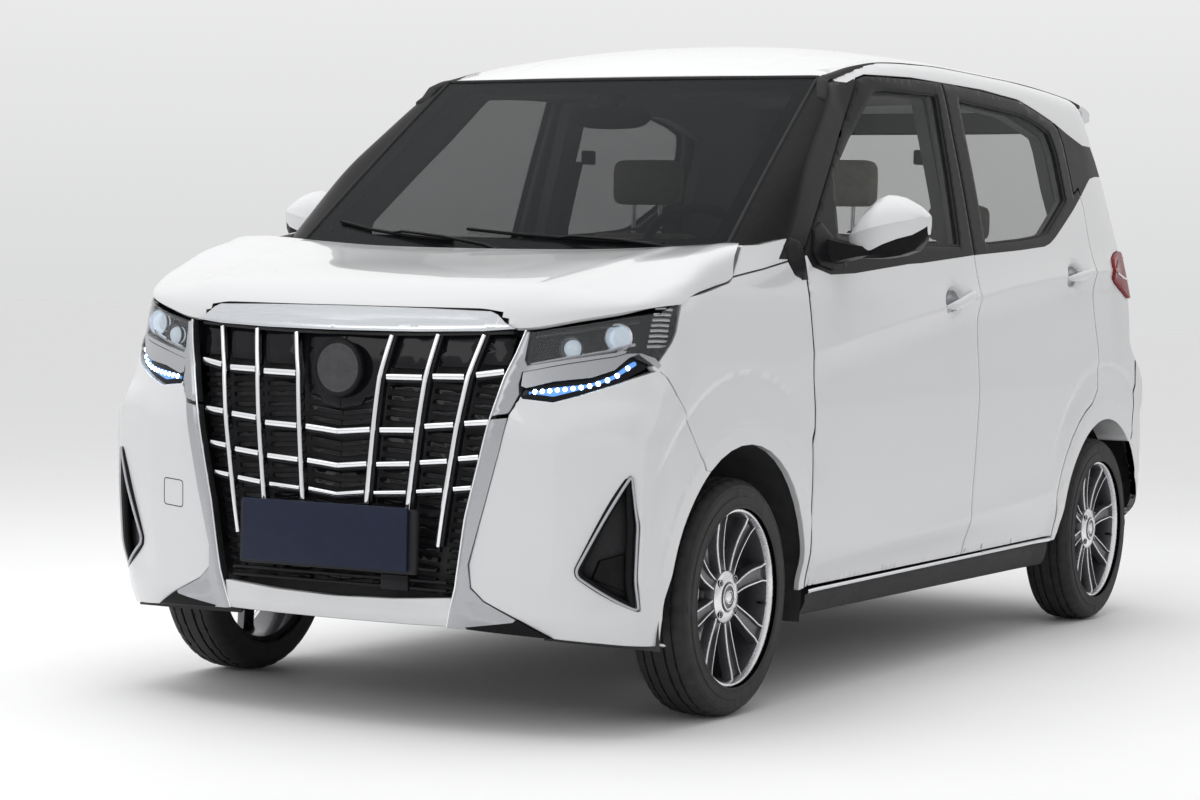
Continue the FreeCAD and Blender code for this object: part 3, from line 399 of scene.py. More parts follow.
def front_ax(x, z):
    n = nose_n(z)
    y = front_face(x, z)
    a = side_half(z, y) - 22 * smooth((-700 - y) / 500.0) * smooth((z - 960) / 130.0)
    s = math.degrees(math.asin(min(1.0, abs(x) / a) ** (n / 2))) * ARC / 90.0
    return s if x >= 0 else -s


def rear_p(a, z, d):
    w = abs(a)
    e = tail_y(z) - tail_d(z)
    if w < ARC:
        x, y, _ = rear_point(w / ARC, z, d, 0.0)
    else:
        y = e - (w - ARC)
        x = side_x(y, z) - d
    if d < 6:
        k = smooth((w - 620) / 200.0)
        if k:
            x += k * fine(y, z)
    return (x if a >= 0 else -x, y, z)


def rear_a(y, z):
    e, d = tail_y(z) - tail_d(z), tail_d(z)
    if y <= e:
        return ARC + e - y
    return ARC / 90.0 * math.degrees(math.acos(min(1.0, (y - e) / d) ** 1.2))


def rear_ax(x, z):
    a = side_half(z, 1560) - 14 * smooth((z - 900) / 300.0)
    s = math.degrees(math.asin(min(1.0, abs(x) / a) ** 1.2)) * ARC / 90.0
    return s if x >= 0 else -s


# ---------------------------------------------------------------- mesh helpers
def grow(pts, d):
    n = len(pts)
    area = sum(pts[i][0] * pts[(i + 1) % n][1] - pts[(i + 1) % n][0] * pts[i][1] for i in range(n))
    s = 1.0 if area > 0 else -1.0
    out = []
    for i in range(n):
        ax, ay = pts[i - 1]
        bx, by = pts[i]
        cx, cy = pts[(i + 1) % n]
        l1 = math.hypot(bx - ax, by - ay) or 1e-9
        l2 = math.hypot(cx - bx, cy - by) or 1e-9
        n1 = (s * (by - ay) / l1, -s * (bx - ax) / l1)
        n2 = (s * (cy - by) / l2, -s * (cx - bx) / l2)
        k = max(1 + n1[0] * n2[0] + n1[1] * n2[1], 0.5)
        out.append((bx + d * (n1[0] + n2[0]) / k, by + d * (n1[1] + n2[1]) / k))
    return out


def arc(cy, r, a0, a1, n):
    return [(cy + r * math.cos(math.radians(a0 + (a1 - a0) * i / n)),
             hub_z + r * math.sin(math.radians(a0 + (a1 - a0) * i / n))) for i in range(n + 1)]


def resample(pts, step, closed=True):
    out = []
    n = len(pts)
    for i in range(n if closed else n - 1):
        a, b = pts[i], pts[(i + 1) % n]
        l = math.dist(a, b)
        k = max(1, int(round(l / step)))
        for j in range(k):
            t = j / k
            out.append((a[0] + (b[0] - a[0]) * t, a[1] + (b[1] - a[1]) * t))
    if not closed:
        out.append(tuple(pts[-1]))
    return out


def rounded(pts, r, n=4):
    """closed outline with its corners rounded"""
    out = []
    m = len(pts)
    for i in range(m):
        p, c, q = pts[i - 1], pts[i], pts[(i + 1) % m]
        l1, l2 = math.dist(p, c), math.dist(c, q)
        k = min(r, 0.45 * l1, 0.45 * l2)
        a = (c[0] + (p[0] - c[0]) * k / l1, c[1] + (p[1] - c[1]) * k / l1)
        b = (c[0] + (q[0] - c[0]) * k / l2, c[1] + (q[1] - c[1]) * k / l2)
        for j in range(n + 1):
            t = j / n
            out.append(tuple((1 - t) ** 2 * a[e] + 2 * t * (1 - t) * c[e] + t * t * b[e] for e in (0, 1)))
    return out


def inside(p, poly):
    x, y = p
    hit = False
    j = len(poly) - 1
    for i in range(len(poly)):
        xi, yi = poly[i]
        xj, yj = poly[j]
        if (yi > y) != (yj > y) and x < (xj - xi) * (y - yi) / (yj - yi) + xi:
            hit = not hit
        j = i
    return hit


def put(name, verts, faces, mats, body, face_mats=None, normals=None, smooth_all=True, mirror=False, replaces=(),
        slot=None):
    """new object from millimetre points; mirrored to the car's right when asked"""
    s = -0.001 if mirror else 0.001
    me = bpy.data.meshes.new(name)
    if mirror:
        faces = [tuple(reversed(f)) for f in faces]
    me.from_pydata([(v[0] * s, v[1] * 0.001, v[2] * 0.001) for v in verts], [], faces)
    ob = bpy.data.objects.new(name, me)
    bpy.context.scene.collection.objects.link(ob)
    for m in (mats if isinstance(mats, (list, tuple)) else [mats]):
        me.materials.append(m)
    if face_mats:
        me.polygons.foreach_set("material_index", face_mats)
    if smooth_all:
        me.polygons.foreach_set("use_smooth", [True] * len(me.polygons))
    me.update()
    if normals:
        g = -1.0 if mirror else 1.0
        me.normals_split_custom_set_from_vertices([(g * n[0], n[1], n[2]) for n in normals])
    if body:
        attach(ob, body)
    if replaces:
        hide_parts(*replaces)
    return ob


class Bag:
    """collects several shapes into one mesh"""

    def __init__(self):
        self.v, self.f, self.m, self.n = [], [], [], []

    def add(self, v, f, m=0, n=None):
        k = len(self.v)
        self.v += v
        self.f += [tuple(i + k for i in q) for q in f]
        self.m += m if isinstance(m, list) else [m] * len(f)
        self.n += n if n else [None] * len(v)

    def make(self, name, mats, body, **kw):
        nn = None
        if all(n is not None for n in self.n):
            nn = self.n
        return put(name, self.v, self.f, mats, body, face_mats=self.m, normals=nn, **kw)


def sub(a, b):
    return (a[0] - b[0], a[1] - b[1], a[2] - b[2])


def unit(a):
    l = math.sqrt(a[0] ** 2 + a[1] ** 2 + a[2] ** 2) or 1e-9
    return (a[0] / l, a[1] / l, a[2] / l)


def cross(a, b):
    return (a[1] * b[2] - a[2] * b[1], a[2] * b[0] - a[0] * b[2], a[0] * b[1] - a[1] * b[0])


def normal_at(P, a, b, d, h=1.2):
    u = sub(P(a + h, b, d), P(a - h, b, d))
    v = sub(P(a, b + h, d), P(a, b - h, d))
    n = unit(cross(u, v))
    o = sub(P(a, b, d), P(a, b, d + 5.0))
    if n[0] * o[0] + n[1] * o[1] + n[2] * o[2] < 0:
        n = (-n[0], -n[1], -n[2])
    return n


def panel(bag, P, outline, holes=(), d0=0.0, d1=20.0, r=2.0, step=14.0, lines=(), mat=0, side_mat=None, back_mat=None,
          region=None, back=True, edge_step=9.0):
    """closed sheet from outlines in the plane of P's first two values; region(a, b) gives each face its material"""
    side_mat = mat if side_mat is None else side_mat
    back_mat = side_mat if back_mat is None else back_mat
    d1f = d1 if callable(d1) else (lambda a, b: d1)
    outer = grow(resample(outline, edge_step), -r)
    inner = [grow(resample(h, edge_step), r) for h in holes]
    loops = [outer] + inner
    pts, edges = [], []
    for lp in loops:
        k = len(pts)
        pts += lp
        edges += [(k + i, k + (i + 1) % len(lp)) for i in range(len(lp))]
    close = {}

    def note(p, rad):
        c = (int(p[0] // 20), int(p[1] // 20))
        close.setdefault(c, []).append((p[0], p[1], rad))

    def free(p):
        ci, cj = int(p[0] // 20), int(p[1] // 20)
        for i in (ci - 1, ci, ci + 1):
            for j in (cj - 1, cj, cj + 1):
                for q in close.get((i, j), ()):
                    if (p[0] - q[0]) ** 2 + (p[1] - q[1]) ** 2 < q[2] ** 2:
                        return False
        return True

    def ok(p):
        return inside(p, outer) and not any(inside(p, h) for h in inner)

    for p in pts:
        note(p, 0.55 * step)
    for ln in lines:
        for p in resample(ln, 9.0, closed=False):
            near = min((abs(p[0] - q[0]) + abs(p[1] - q[1]) for c in [(int(p[0] // 20) + i, int(p[1] // 20) + j)
                        for i in (-1, 0, 1) for j in (-1, 0, 1)] for q in close.get(c, ())), default=99)
            if near > 4.0 and ok(p):
                pts.append(p)
                note(p, 0.55 * step)
    x0, x1 = min(p[0] for p in outer), max(p[0] for p in outer)
    y0, y1 = min(p[1] for p in outer), max(p[1] for p in outer)
    j = 0
    y = y0 + step / 2
    while y < y1:
        x = x0 + (step / 2 if j % 2 else step)
        while x < x1:
            if free((x, y)) and ok((x, y)):
                pts.append((x, y))
            x += step
        y += step * 0.87
        j += 1
    cv, _, cf, _, _, _ = delaunay_2d_cdt([Vector(p) for p in pts], edges, [], 0, 1e-4)
    cv = [(p[0], p[1]) for p in cv]
    keep = []
    for f in cf:
        c = (sum(cv[i][0] for i in f) / 3, sum(cv[i][1] for i in f) / 3)
        if ok(c):
            keep.append((tuple(f), c))
    used = sorted({i for f, _ in keep for i in f})
    idx = {i: k for k, i in enumerate(used)}
    uv = [cv[i] for i in used]
    top = [P(a, b, d0) for a, b in uv]
    nrm = [normal_at(P, a, b, d0) for a, b in uv]
    faces, mats = [], []
    count = {}
    for f, c in keep:
        t = tuple(idx[i] for i in f)
        p, q, s = (top[i] for i in t)
        n = cross(sub(q, p), sub(s, p))
        m = nrm[t[0]]
        if n[0] * m[0] + n[1] * m[1] + n[2] * m[2] < 0:
            t = (t[0], t[2], t[1])
        faces.append(t)
        mats.append(region(*c) if region else mat)
        for i in range(3):
            count[(t[i], t[(i + 1) % 3])] = len(faces) - 1
    border = [(e, f) for e, f in count.items() if (e[1], e[0]) not in count]
    bag.add(top, faces, mats, nrm)
    nxt = {}
    for (i, k), f in border:
        nxt.setdefault(i, []).append(k)
    prv = {}
    for (i, k), f in border:
        prv.setdefault(k, []).append(i)
    owner = {e[0]: f for e, f in border}
    bv = sorted(nxt)
    off = {}
    for i in bv:
        p = uv[i]
        q = uv[nxt[i][0]]
        o = uv[prv[i][0]] if i in prv else p
        t1 = (q[0] - p[0], q[1] - p[1])
        t0 = (p[0] - o[0], p[1] - o[1])
        l1, l0 = math.hypot(*t1) or 1e-9, math.hypot(*t0) or 1e-9
        na = (t1[1] / l1 + t0[1] / l0, -t1[0] / l1 - t0[0] / l0)
        l = math.hypot(*na) or 1e-9
        off[i] = (na[0] / l, na[1] / l)
    # the outside is on one side of the border; find out which
    sgn = 0
    for i in bv[:40]:
        p = uv[i]
        a = (p[0] + off[i][0] * 0.4, p[1] + off[i][1] * 0.4)
        sgn += -1 if ok(a) else 1
    sgn = 1 if sgn >= 0 else -1
    rings = []
    th = [45.0, 90.0]
    info = {}
    for i in bv:
        p, o = uv[i], off[i]
        o = (o[0] * sgn, o[1] * sgn)
        e = 1.0
        a1 = P(p[0] + o[0] * e, p[1] + o[1] * e, d0)
        lat = unit(sub(a1, top[i]))
        info[i] = (p, o, lat)
    k0 = len(bag.v) - len(top)
    last = {i: k0 + i for i in bv}
    new_v, new_n = [], []
    layers = [(r * math.sin(math.radians(t)), r * (1 - math.cos(math.radians(t))), t) for t in th]
    base = len(bag.v)
    maps = []
    for q, dd, t in layers + [(r, None, 90.0)]:
        mp = {}
        for i in bv:
            p, o, lat = info[i]
            a, b = p[0] + o[0] * q, p[1] + o[1] * q
            dep = d1f(a, b) if dd is None else d0 + dd
            if dep - d0 < r:
                dep = min(dep, d0 + dd) if dd is not None else dep
            mp[i] = base + len(new_v)
            new_v.append(P(a, b, d0)if dep == d0 else P(a, b, dep))
            c, s = math.cos(math.radians(t)), math.sin(math.radians(t))
            n = nrm[i]
            new_n.append(unit((n[0] * c + lat[0] * s, n[1] * c + lat[1] * s, n[2] * c + lat[2] * s)))
        maps.append(mp)
    wf, wm = [], []
    prev = last
    for li, mp in enumerate(maps):
        for (i, k), f in border:
            wf.append((prev[k], prev[i], mp[i], mp[k]))
            wm.append(mats[f] if li < 2 or side_mat == mat else side_mat)
        prev = mp
    bag.v += new_v
    bag.n += new_n
    bag.f += wf
    bag.m += wm
    if back:
        kb = len(bag.v)
        bp = [P(a, b, d1f(a, b)) for a, b in uv]
        bag.v += bp
        bag.n += [(-n[0], -n[1], -n[2]) for n in nrm]
        bag.f += [(kb + t[0], kb + t[2], kb + t[1]) for t in faces]
        bag.m += [back_mat] * len(faces)
        for (i, k), f in border:
            bag.f.append((prev[k], prev[i], kb + i, kb + k))
            bag.m.append(back_mat)
    return uv


def tube(bag, path, r, mat=0, n=8, closed=False, flat=1.0, cap=True):
    """round bead along a path of points"""
    m = len(path)
    vs, ns, fs = [], [], []
    up = Vector((0.0, 0.0, 1.0))
    prev = None
    for i, p in enumerate(path):
        a = path[i - 1] if (i or closed) else path[i]
        b = path[(i + 1) % m] if (i < m - 1 or closed) else path[i]
        t = Vector(sub(b, a)).normalized()
        if prev is None:
            s = t.cross(up)
            if s.length < 0.2:
                s = t.cross(Vector((1.0, 0.0, 0.0)))
        else:
            s = prev - t * prev.dot(t)
        s.normalize()
        prev = s
        w = s.cross(t).normalized()
        rr = r(i / max(1, m - 1)) if callable(r) else r
        for j in range(n):
            g = 2 * math.pi * j / n
            d = s * math.cos(g) + w * math.sin(g) * flat
            vs.append(tuple(Vector(p) + d * rr))
            ns.append(tuple(d.normalized()))
    for i in range(m if closed else m - 1):
        for j in range(n):
            k = (i + 1) % m
            fs.append((i * n + j, k * n + j, k * n + (j + 1) % n, i * n + (j + 1) % n))
    if not closed and cap:
        fs.append(tuple(range(n)))
        fs.append(tuple(reversed([(m - 1) * n + j for j in range(n)])))
    bag.add(vs, fs, mat, ns)


def lathe(bag, prof, axis_pt, axis, n=64, mat=0, mats=None, closed=False, a0=0.0):
    """profile of (distance along axis, radius) turned about an axis"""
    ax = Vector(axis).normalized()
    s = ax.cross(Vector((0.0, 0.0, 1.0)))
    if s.length < 0.2:
        s = ax.cross(Vector((0.0, 1.0, 0.0)))
    s.normalize()
    w = ax.cross(s)
    o = Vector(axis_pt)
    vs, fs, fm = [], [], []
    for h, r in prof:
        for j in range(n):
            g = 2 * math.pi * j / n + a0
            vs.append(tuple(o + ax * h + (s * math.cos(g) + w * math.sin(g)) * r))
    m = len(prof)
    for i in range(m if closed else m - 1):
        k = (i + 1) % m
        for j in range(n):
            fs.append((i * n + j, i * n + (j + 1) % n, k * n + (j + 1) % n, k * n + j))
            fm.append(mats[i] if mats else mat)
    bag.add(vs, fs, fm)


def block(bag, x0, x1, y0, y1, z0, z1, mat=0, r=0.0, M=None):
    """box with chamfered edges"""
    c = min(r, 0.45 * (x1 - x0), 0.45 * (y1 - y0), 0.45 * (z1 - z0))
    if c <= 0:
        vs = [(x, y, z) for x in (x0, x1) for y in (y0, y1) for z in (z0, z1)]
        fs = [(0, 1, 3, 2), (4, 6, 7, 5), (0, 4, 5, 1), (2, 3, 7, 6), (0, 2, 6, 4), (1, 5, 7, 3)]
    else:
        import bmesh
        bm = bmesh.new()
        bmesh.ops.create_cube(bm, size=1.0)
        for v in bm.verts:
            v.co = Vector(((x0 + x1) / 2 + v.co.x * (x1 - x0), (y0 + y1) / 2 + v.co.y * (y1 - y0),
                           (z0 + z1) / 2 + v.co.z * (z1 - z0)))
        bmesh.ops.bevel(bm, geom=bm.edges[:], offset=c, segments=3, profile=0.5, affect='EDGES')
        bm.verts.ensure_lookup_table()
        bm.verts.index_update()
        vs = [tuple(v.co) for v in bm.verts]
        fs = [tuple(v.index for v in f.verts) for f in bm.faces]
        bm.free()
    if M is not None:
        vs = [tuple(M @ Vector(v)) for v in vs]
    bag.add(vs, fs, mat)


def prism(bag, P, outline, d0, d1, mat=0, step=12.0):
    """thin plate of an outline between two depths, without rounding"""
    panel(bag, P, outline, d0=d0, d1=d1, r=0.6, step=step, mat=mat, edge_step=step * 0.7)


def auto_smooth(ob, angle=35.0):
    me = ob.data
    me.polygons.foreach_set("use_smooth", [True] * len(me.polygons))
    me.set_sharp_from_angle(angle=math.radians(angle))
    return ob


# ---------------------------------------------------------------- materials
def mat(name, base, rough, metal=0.0, vary=0.06, scale=40.0, bump=0.0, bscale=300.0, bdist=0.0004, rvary=0.0, coat=0.0,
        coat_r=0.03, spec=0.5, sheen=0.0, alpha=1.0, trans=0.0, ior=1.5, emit=None, power=0.0, weave=None, streak=None):
    m = bpy.data.materials.new(name)
    m.use_nodes = True
    nt = m.node_tree
    b = nt.nodes["Principled BSDF"]
    tc = nt.nodes.new("ShaderNodeTexCoord")

    def tex(kind, sc, **kw):
        t = nt.nodes.new(kind)
        mp = nt.nodes.new("ShaderNodeMapping")
        mp.inputs["Scale"].default_value = sc if isinstance(sc, tuple) else (sc, sc, sc)
        nt.links.new(tc.outputs["Object"], mp.inputs["Vector"])
        nt.links.new(mp.outputs["Vector"], t.inputs["Vector"])
        t.inputs["Scale"].default_value = 1.0
        for k, v in kw.items():
            t.inputs[k].default_value = v
        return t
    n1 = tex("ShaderNodeTexNoise", streak or scale, Detail=4.0)
    ramp = nt.nodes.new("ShaderNodeValToRGB")
    ramp.color_ramp.elements[0].position = 0.3
    ramp.color_ramp.elements[1].position = 0.7
    ramp.color_ramp.elements[0].color = tuple(c * (1 - vary) for c in base) + (1.0,)
    ramp.color_ramp.elements[1].color = tuple(min(1.0, c * (1 + vary)) for c in base) + (1.0,)
    nt.links.new(n1.outputs["Fac"], ramp.inputs["Fac"])
    nt.links.new(ramp.outputs["Color"], b.inputs["Base Color"])
    if rvary:
        mr = nt.nodes.new("ShaderNodeMapRange")
        mr.inputs["To Min"].default_value = max(0.0, rough - rvary)
        mr.inputs["To Max"].default_value = rough + rvary
        n2 = tex("ShaderNodeTexNoise", scale * 0.37, Detail=3.0)
        nt.links.new(n2.outputs["Fac"], mr.inputs["Value"])
        nt.links.new(mr.outputs["Result"], b.inputs["Roughness"])
    else:
        b.inputs["Roughness"].default_value = rough
    height = None
    if weave:
        wx = tex("ShaderNodeTexWave", (weave, weave, weave), Distortion=0.6)
        wx.bands_direction = 'X'
        wz = tex("ShaderNodeTexWave", (weave, weave, weave), Distortion=0.6)
        wz.bands_direction = 'Z'
        wy = tex("ShaderNodeTexWave", (weave, weave, weave), Distortion=0.6)
        wy.bands_direction = 'Y'
        a1 = nt.nodes.new("ShaderNodeMath")
        a1.operation = 'MULTIPLY'
        nt.links.new(wx.outputs["Fac"], a1.inputs[0])
        nt.links.new(wz.outputs["Fac"], a1.inputs[1])
        a2 = nt.nodes.new("ShaderNodeMath")
        a2.operation = 'ADD'
        nt.links.new(a1.outputs[0], a2.inputs[0])
        nt.links.new(wy.outputs["Fac"], a2.inputs[1])
        height = a2.outputs[0]
    elif bump:
        n3 = tex("ShaderNodeTexNoise", bscale, Detail=5.0)
        height = n3.outputs["Fac"]
    if height is not None:
        bp = nt.nodes.new("ShaderNodeBump")
        bp.inputs["Strength"].default_value = bump or 0.4
        bp.inputs["Distance"].default_value = bdist
        nt.links.new(height, bp.inputs["Height"])
        nt.links.new(bp.outputs["Normal"], b.inputs["Normal"])
    b.inputs["Metallic"].default_value = metal
    b.inputs["Coat Weight"].default_value = coat
    b.inputs["Coat Roughness"].default_value = coat_r
    b.inputs["Specular IOR Level"].default_value = spec
    b.inputs["Sheen Weight"].default_value = sheen
    b.inputs["Transmission Weight"].default_value = trans
    b.inputs["IOR"].default_value = ior
    b.inputs["Alpha"].default_value = alpha
    if emit:
        b.inputs["Emission Color"].default_value = tuple(emit) + (1.0,)
        b.inputs["Emission Strength"].default_value = power
    m.diffuse_color = tuple(base) + (alpha,)
    return m


PAINT = mat("pearl_paint", (0.66, 0.665, 0.675), 0.30, vary=0.012, scale=900.0, bump=0.03, bscale=260.0, bdist=0.0003,
            coat=1.0, coat_r=0.03)
SATIN = mat("satin_black", (0.009, 0.009, 0.010), 0.30, vary=0.15, scale=60.0, bump=0.05, bscale=900.0, rvary=0.06, spec=0.22, ior=1.28)
GLOSS = mat("gloss_black", (0.008, 0.008, 0.01), 0.10, vary=0.2, scale=20.0, rvary=0.04, spec=0.35, ior=1.35)
PLASTIC = mat("grained_plastic", (0.016, 0.016, 0.018), 0.55, vary=0.18, scale=120.0, bump=0.35, bscale=1400.0,
              bdist=0.0003, rvary=0.08, spec=0.25)
RUBBER = mat("rubber", (0.014, 0.014, 0.015), 0.72, vary=0.2, scale=150.0, bump=0.25, bscale=1800.0, rvary=0.08)
TYRE = mat("tyre_rubber", (0.022, 0.021, 0.021), 0.66, vary=0.25, scale=35.0, bump=0.3, bscale=1300.0, rvary=0.1, spec=0.4)
CHROME = mat("bright_metal", (0.86, 0.87, 0.89), 0.10, metal=1.0, vary=0.02, scale=30.0, rvary=0.03, bump=0.02, bscale=120.0)
SILVER = mat("satin_silver", (0.42, 0.43, 0.45), 0.34, metal=0.85, vary=0.04, scale=300.0, rvary=0.05, coat=0.6, coat_r=0.12)
STRIPM = mat("brushed_silver", (0.66, 0.68, 0.71), 0.24, metal=0.95, vary=0.04, streak=(8.0, 300.0, 300.0), rvary=0.05,
             coat=0.7, coat_r=0.06)
ALLOY = mat("machined_alloy", (0.86, 0.86, 0.88), 0.28, metal=1.0, vary=0.05, scale=220.0, rvary=0.06)
ALLOY_D = mat("dark_alloy", (0.14, 0.14, 0.15), 0.36, metal=0.8, vary=0.1, scale=160.0, rvary=0.06, coat=0.5, coat_r=0.1)
STEEL = mat("coated_steel", (0.055, 0.056, 0.06), 0.5, metal=0.5, vary=0.25, scale=24.0, bump=0.15, bscale=400.0, rvary=0.12)
DISC = mat("turned_steel", (0.55, 0.55, 0.56), 0.3, metal=1.0, vary=0.08, scale=90.0, rvary=0.1, bump=0.1, bscale=700.0)
CAST = mat("cast_metal", (0.16, 0.16, 0.165), 0.55, metal=0.7, vary=0.2, scale=50.0, bump=0.4, bscale=500.0, rvary=0.1)
SCREEN = mat("tinted_screen", (0.012, 0.014, 0.015), 0.02, vary=0.1, scale=3.0, alpha=0.56, spec=0.3, ior=1.25)
GLASS = mat("side_glass", (0.045, 0.056, 0.052), 0.02, vary=0.08, scale=3.0, alpha=0.20, spec=0.4, ior=1.35)
FRIT = mat("frit_black", (0.008, 0.008, 0.009), 0.25, vary=0.2, scale=80.0, rvary=0.05, spec=0.2, ior=1.25)
LENS = mat("clear_lens", (0.12, 0.125, 0.13), 0.02, vary=0.05, scale=8.0, alpha=0.22, spec=0.6)
LAMP_IN = mat("lamp_grey", (0.05, 0.05, 0.054), 0.28, metal=0.5, vary=0.15, scale=60.0, rvary=0.08, coat=0.4)
LAMP_BR = mat("lamp_bright", (0.80, 0.81, 0.84), 0.12, metal=1.0, vary=0.05, scale=40.0, rvary=0.05)
PROJ = mat("lamp_glass", (0.62, 0.66, 0.72), 0.04, vary=0.06, scale=12.0, trans=0.4, ior=1.45, coat=1.0, emit=(0.75, 0.88, 1.0), power=0.7)
LED = mat("led", (0.85, 0.92, 1.0), 0.3, vary=0.02, scale=50.0, emit=(0.55, 0.78, 1.0), power=7.0)
LEDBODY = mat("led_blue", (0.06, 0.14, 0.32), 0.2, vary=0.2, scale=60.0, emit=(0.1, 0.32, 0.9), power=0.9, coat=1.0)
RED = mat("red_lens", (0.20, 0.004, 0.007), 0.10, vary=0.15, scale=50.0, bump=0.1, bscale=160.0, coat=0.15, spec=0.35)
WHITEL = mat("white_lens", (0.75, 0.75, 0.76), 0.15, vary=0.04, scale=80.0, coat=1.0)
PLATE = mat("navy_plate", (0.009, 0.014, 0.036), 0.38, vary=0.08, scale=30.0, bump=0.06, bscale=700.0, rvary=0.05, spec=0.22)
CUPM = mat("cup_silver", (0.42, 0.43, 0.45), 0.22, metal=0.75, vary=0.05, scale=90.0, rvary=0.04)
CLOTH = mat("seat_cloth", (0.47, 0.425, 0.38), 0.86, vary=0.10, scale=70.0, weave=1300.0, bump=0.45, bdist=0.0006, sheen=0.35)
CLOTH2 = mat("seat_side", (0.20, 0.178, 0.16), 0.8, vary=0.10, scale=70.0, weave=900.0, bump=0.4, bdist=0.0006, sheen=0.3)
TRIM = mat("cabin_trim", (0.15, 0.145, 0.14), 0.6, vary=0.08, scale=50.0, bump=0.3, bscale=1200.0, bdist=0.0003, rvary=0.06)
HEADL = mat("roof_lining", (0.42, 0.41, 0.39), 0.9, vary=0.05, scale=80.0, bump=0.3, bscale=900.0, sheen=0.2)
DASH = mat("dash_plastic", (0.035, 0.035, 0.036), 0.6, vary=0.12, scale=60.0, bump=0.4, bscale=1300.0, bdist=0.0004, rvary=0.08)
CARPET = mat("carpet", (0.05, 0.048, 0.046), 0.95, vary=0.3, scale=300.0, bump=0.8, bscale=1500.0, bdist=0.001, sheen=0.3)
UNDER = mat("underbody", (0.03, 0.03, 0.032), 0.7, vary=0.3, scale=18.0, bump=0.3, bscale=200.0, rvary=0.1)
FLOOR = mat("studio_floor", (0.86, 0.86, 0.865), 0.6, vary=0.006, scale=3.0, bump=0.02, bscale=60.0, spec=0.25)

look = {"bulkhead": UNDER, "floor_pan": CARPET, "front_frame": STEEL, "engine": CAST, "exhaust": CAST,
        "fuel_tank": UNDER, "rear_axle": STEEL, "wheel_housing_left": UNDER, "wheel_housing_right": UNDER,
        "knuckle_left": DISC, "knuckle_right": DISC, "tail_frame": PAINT, "dashboard": DASH,
        "side_skirts": PLASTIC, "tailgate": PAINT, "roof_panel": PAINT, "bonnet": PAINT,
        "windscreen": SCREEN, "centre_mirror": PLASTIC, "grille": GLOSS, "grille_bars": CHROME,
        "front_plate": PLATE, "rear_plate": PLATE, "bonnet_strip": STRIPM, "tailgate_glass": GLASS,
        "rear_bumper": PAINT, "front_bumper": PAINT, "steering_wheel": DASH, "wipers": SATIN,
        "front_seats": CLOTH, "rear_seat": CLOTH}
for side in ("left", "right"):
    for n, m in (("body_side", PAINT), ("front_door", PAINT), ("rear_door", PAINT), ("front_wing", PAINT),
                 ("cowl_side", PAINT), ("door_mirror", PAINT), ("front_glass", GLASS), ("rear_glass", GLASS),
                 ("headlamp", LENS), ("tail_lamp", RED)):
        look[n + "_" + side] = m
for t in ("fl", "fr", "rl", "rr"):
    look["tyre_" + t] = TYRE
    look["rim_" + t] = ALLOY
for n, o in nodes.items():
    m = look.get(n, PLASTIC)
    o.data.materials.clear()
    o.data.materials.append(m)


# ---------------------------------------------------------------- body panels
BLACK = [(-1000, 1057), (-771, 1057), (-749, 1030), (-649, 1013), (-506, 1018), (-159, 1046), (-68, 1050), (303, 1077),
         (655, 1097), (865, 1112), (914, 1122), (968, 1141), (1055, 1178), (1160, 1224), (1257, 1271), (1343, 1315),
         (1368, 1326), (1421, 1334), (1480, 1336), (1466, 1380), (1439, 1425), (1364, 1426), (1331, 1433), (1236, 1456),
         (1136, 1484), (1004, 1508), (860, 1527), (626, 1536), (345, 1541), (84, 1541), (-165, 1529), (-246, 1515),
         (-300, 1500), (-360, 1494), (-440, 1480), (-1000, 1120)]
CREASE = [(y, crease_z(y)) for y in range(-800, 1480, 20)]
CRE_L = [[(y, z + k) for y, z in CREASE] for k in (-34, -18, -7, 0, 7, 18)]
SILL_L = [[(y, sill_z(y) + k) for y in range(-720, 960, 30)] for k in (-7, 0, 7)]


def flare_lines(cy, r0):
    out = []
    for r in (r0 + 40, r0 + 62, r0 + 153, r0 + 177):
        out.append([(cy + r * math.cos(math.radians(a)), hub_z + r * math.sin(math.radians(a))) for a in range(8, 174, 3)])
    return out


FL = flare_lines(front_y, arch_f) + flare_lines(rear_y, arch_r)
black_line = resample(BLACK, 9.0)
PADS = [PAINT, SATIN, TRIM, RUBBER, SATIN, CUPM]


def in_black(a, b):
    return 1 if inside((a, b), BLACK) else 5 if cup(a, b) > 9.0 else 0


HANDLES = {"front": ((146, 953), 12.0), "rear": ((1100, 1030), 7.0)}


def cup(y, z):
    """hollow behind a door handle"""
    s = 0.0
    for (cy, cz), tilt in HANDLES.values():
        t = math.radians(tilt)
        u = (y - cy + 30) * math.cos(t) + (z - cz) * math.sin(t)
        v = -(y - cy + 30) * math.sin(t) + (z - cz) * math.cos(t)
        q = math.hypot(u / 62.0, v / 38.0)
        if q < 1.15:
            s += 17.0 * (1 - smooth((q - 0.45) / 0.7))
    return s


def door_p(y, z, d):
    return (side_x(y, z) + (fine(y, z) - cup(y, z) if d < 6 else 0.0) - d, y, z)


cup_lines = []
for (cy, cz), tilt in HANDLES.values():
    t = math.radians(tilt)
    for k in (0.35, 0.55, 0.75, 0.95, 1.12):
        cup_lines.append([(cy - 30 + 62 * k * math.cos(g) * math.cos(t) - 38 * k * math.sin(g) * math.sin(t),
                           cz + 62 * k * math.cos(g) * math.sin(t) + 38 * k * math.sin(g) * math.cos(t))
                          for g in [2 * math.pi * i / 30 for i in range(31)]])
CORE = grow(FRONT_DOOR, -26.0)
RCORE = grow(REAR_DOOR[:12] + [(1188, 1408), (1190, 1290), (1214, 1190), (1236, 1040)] + REAR_DOOR[19:], -26.0)


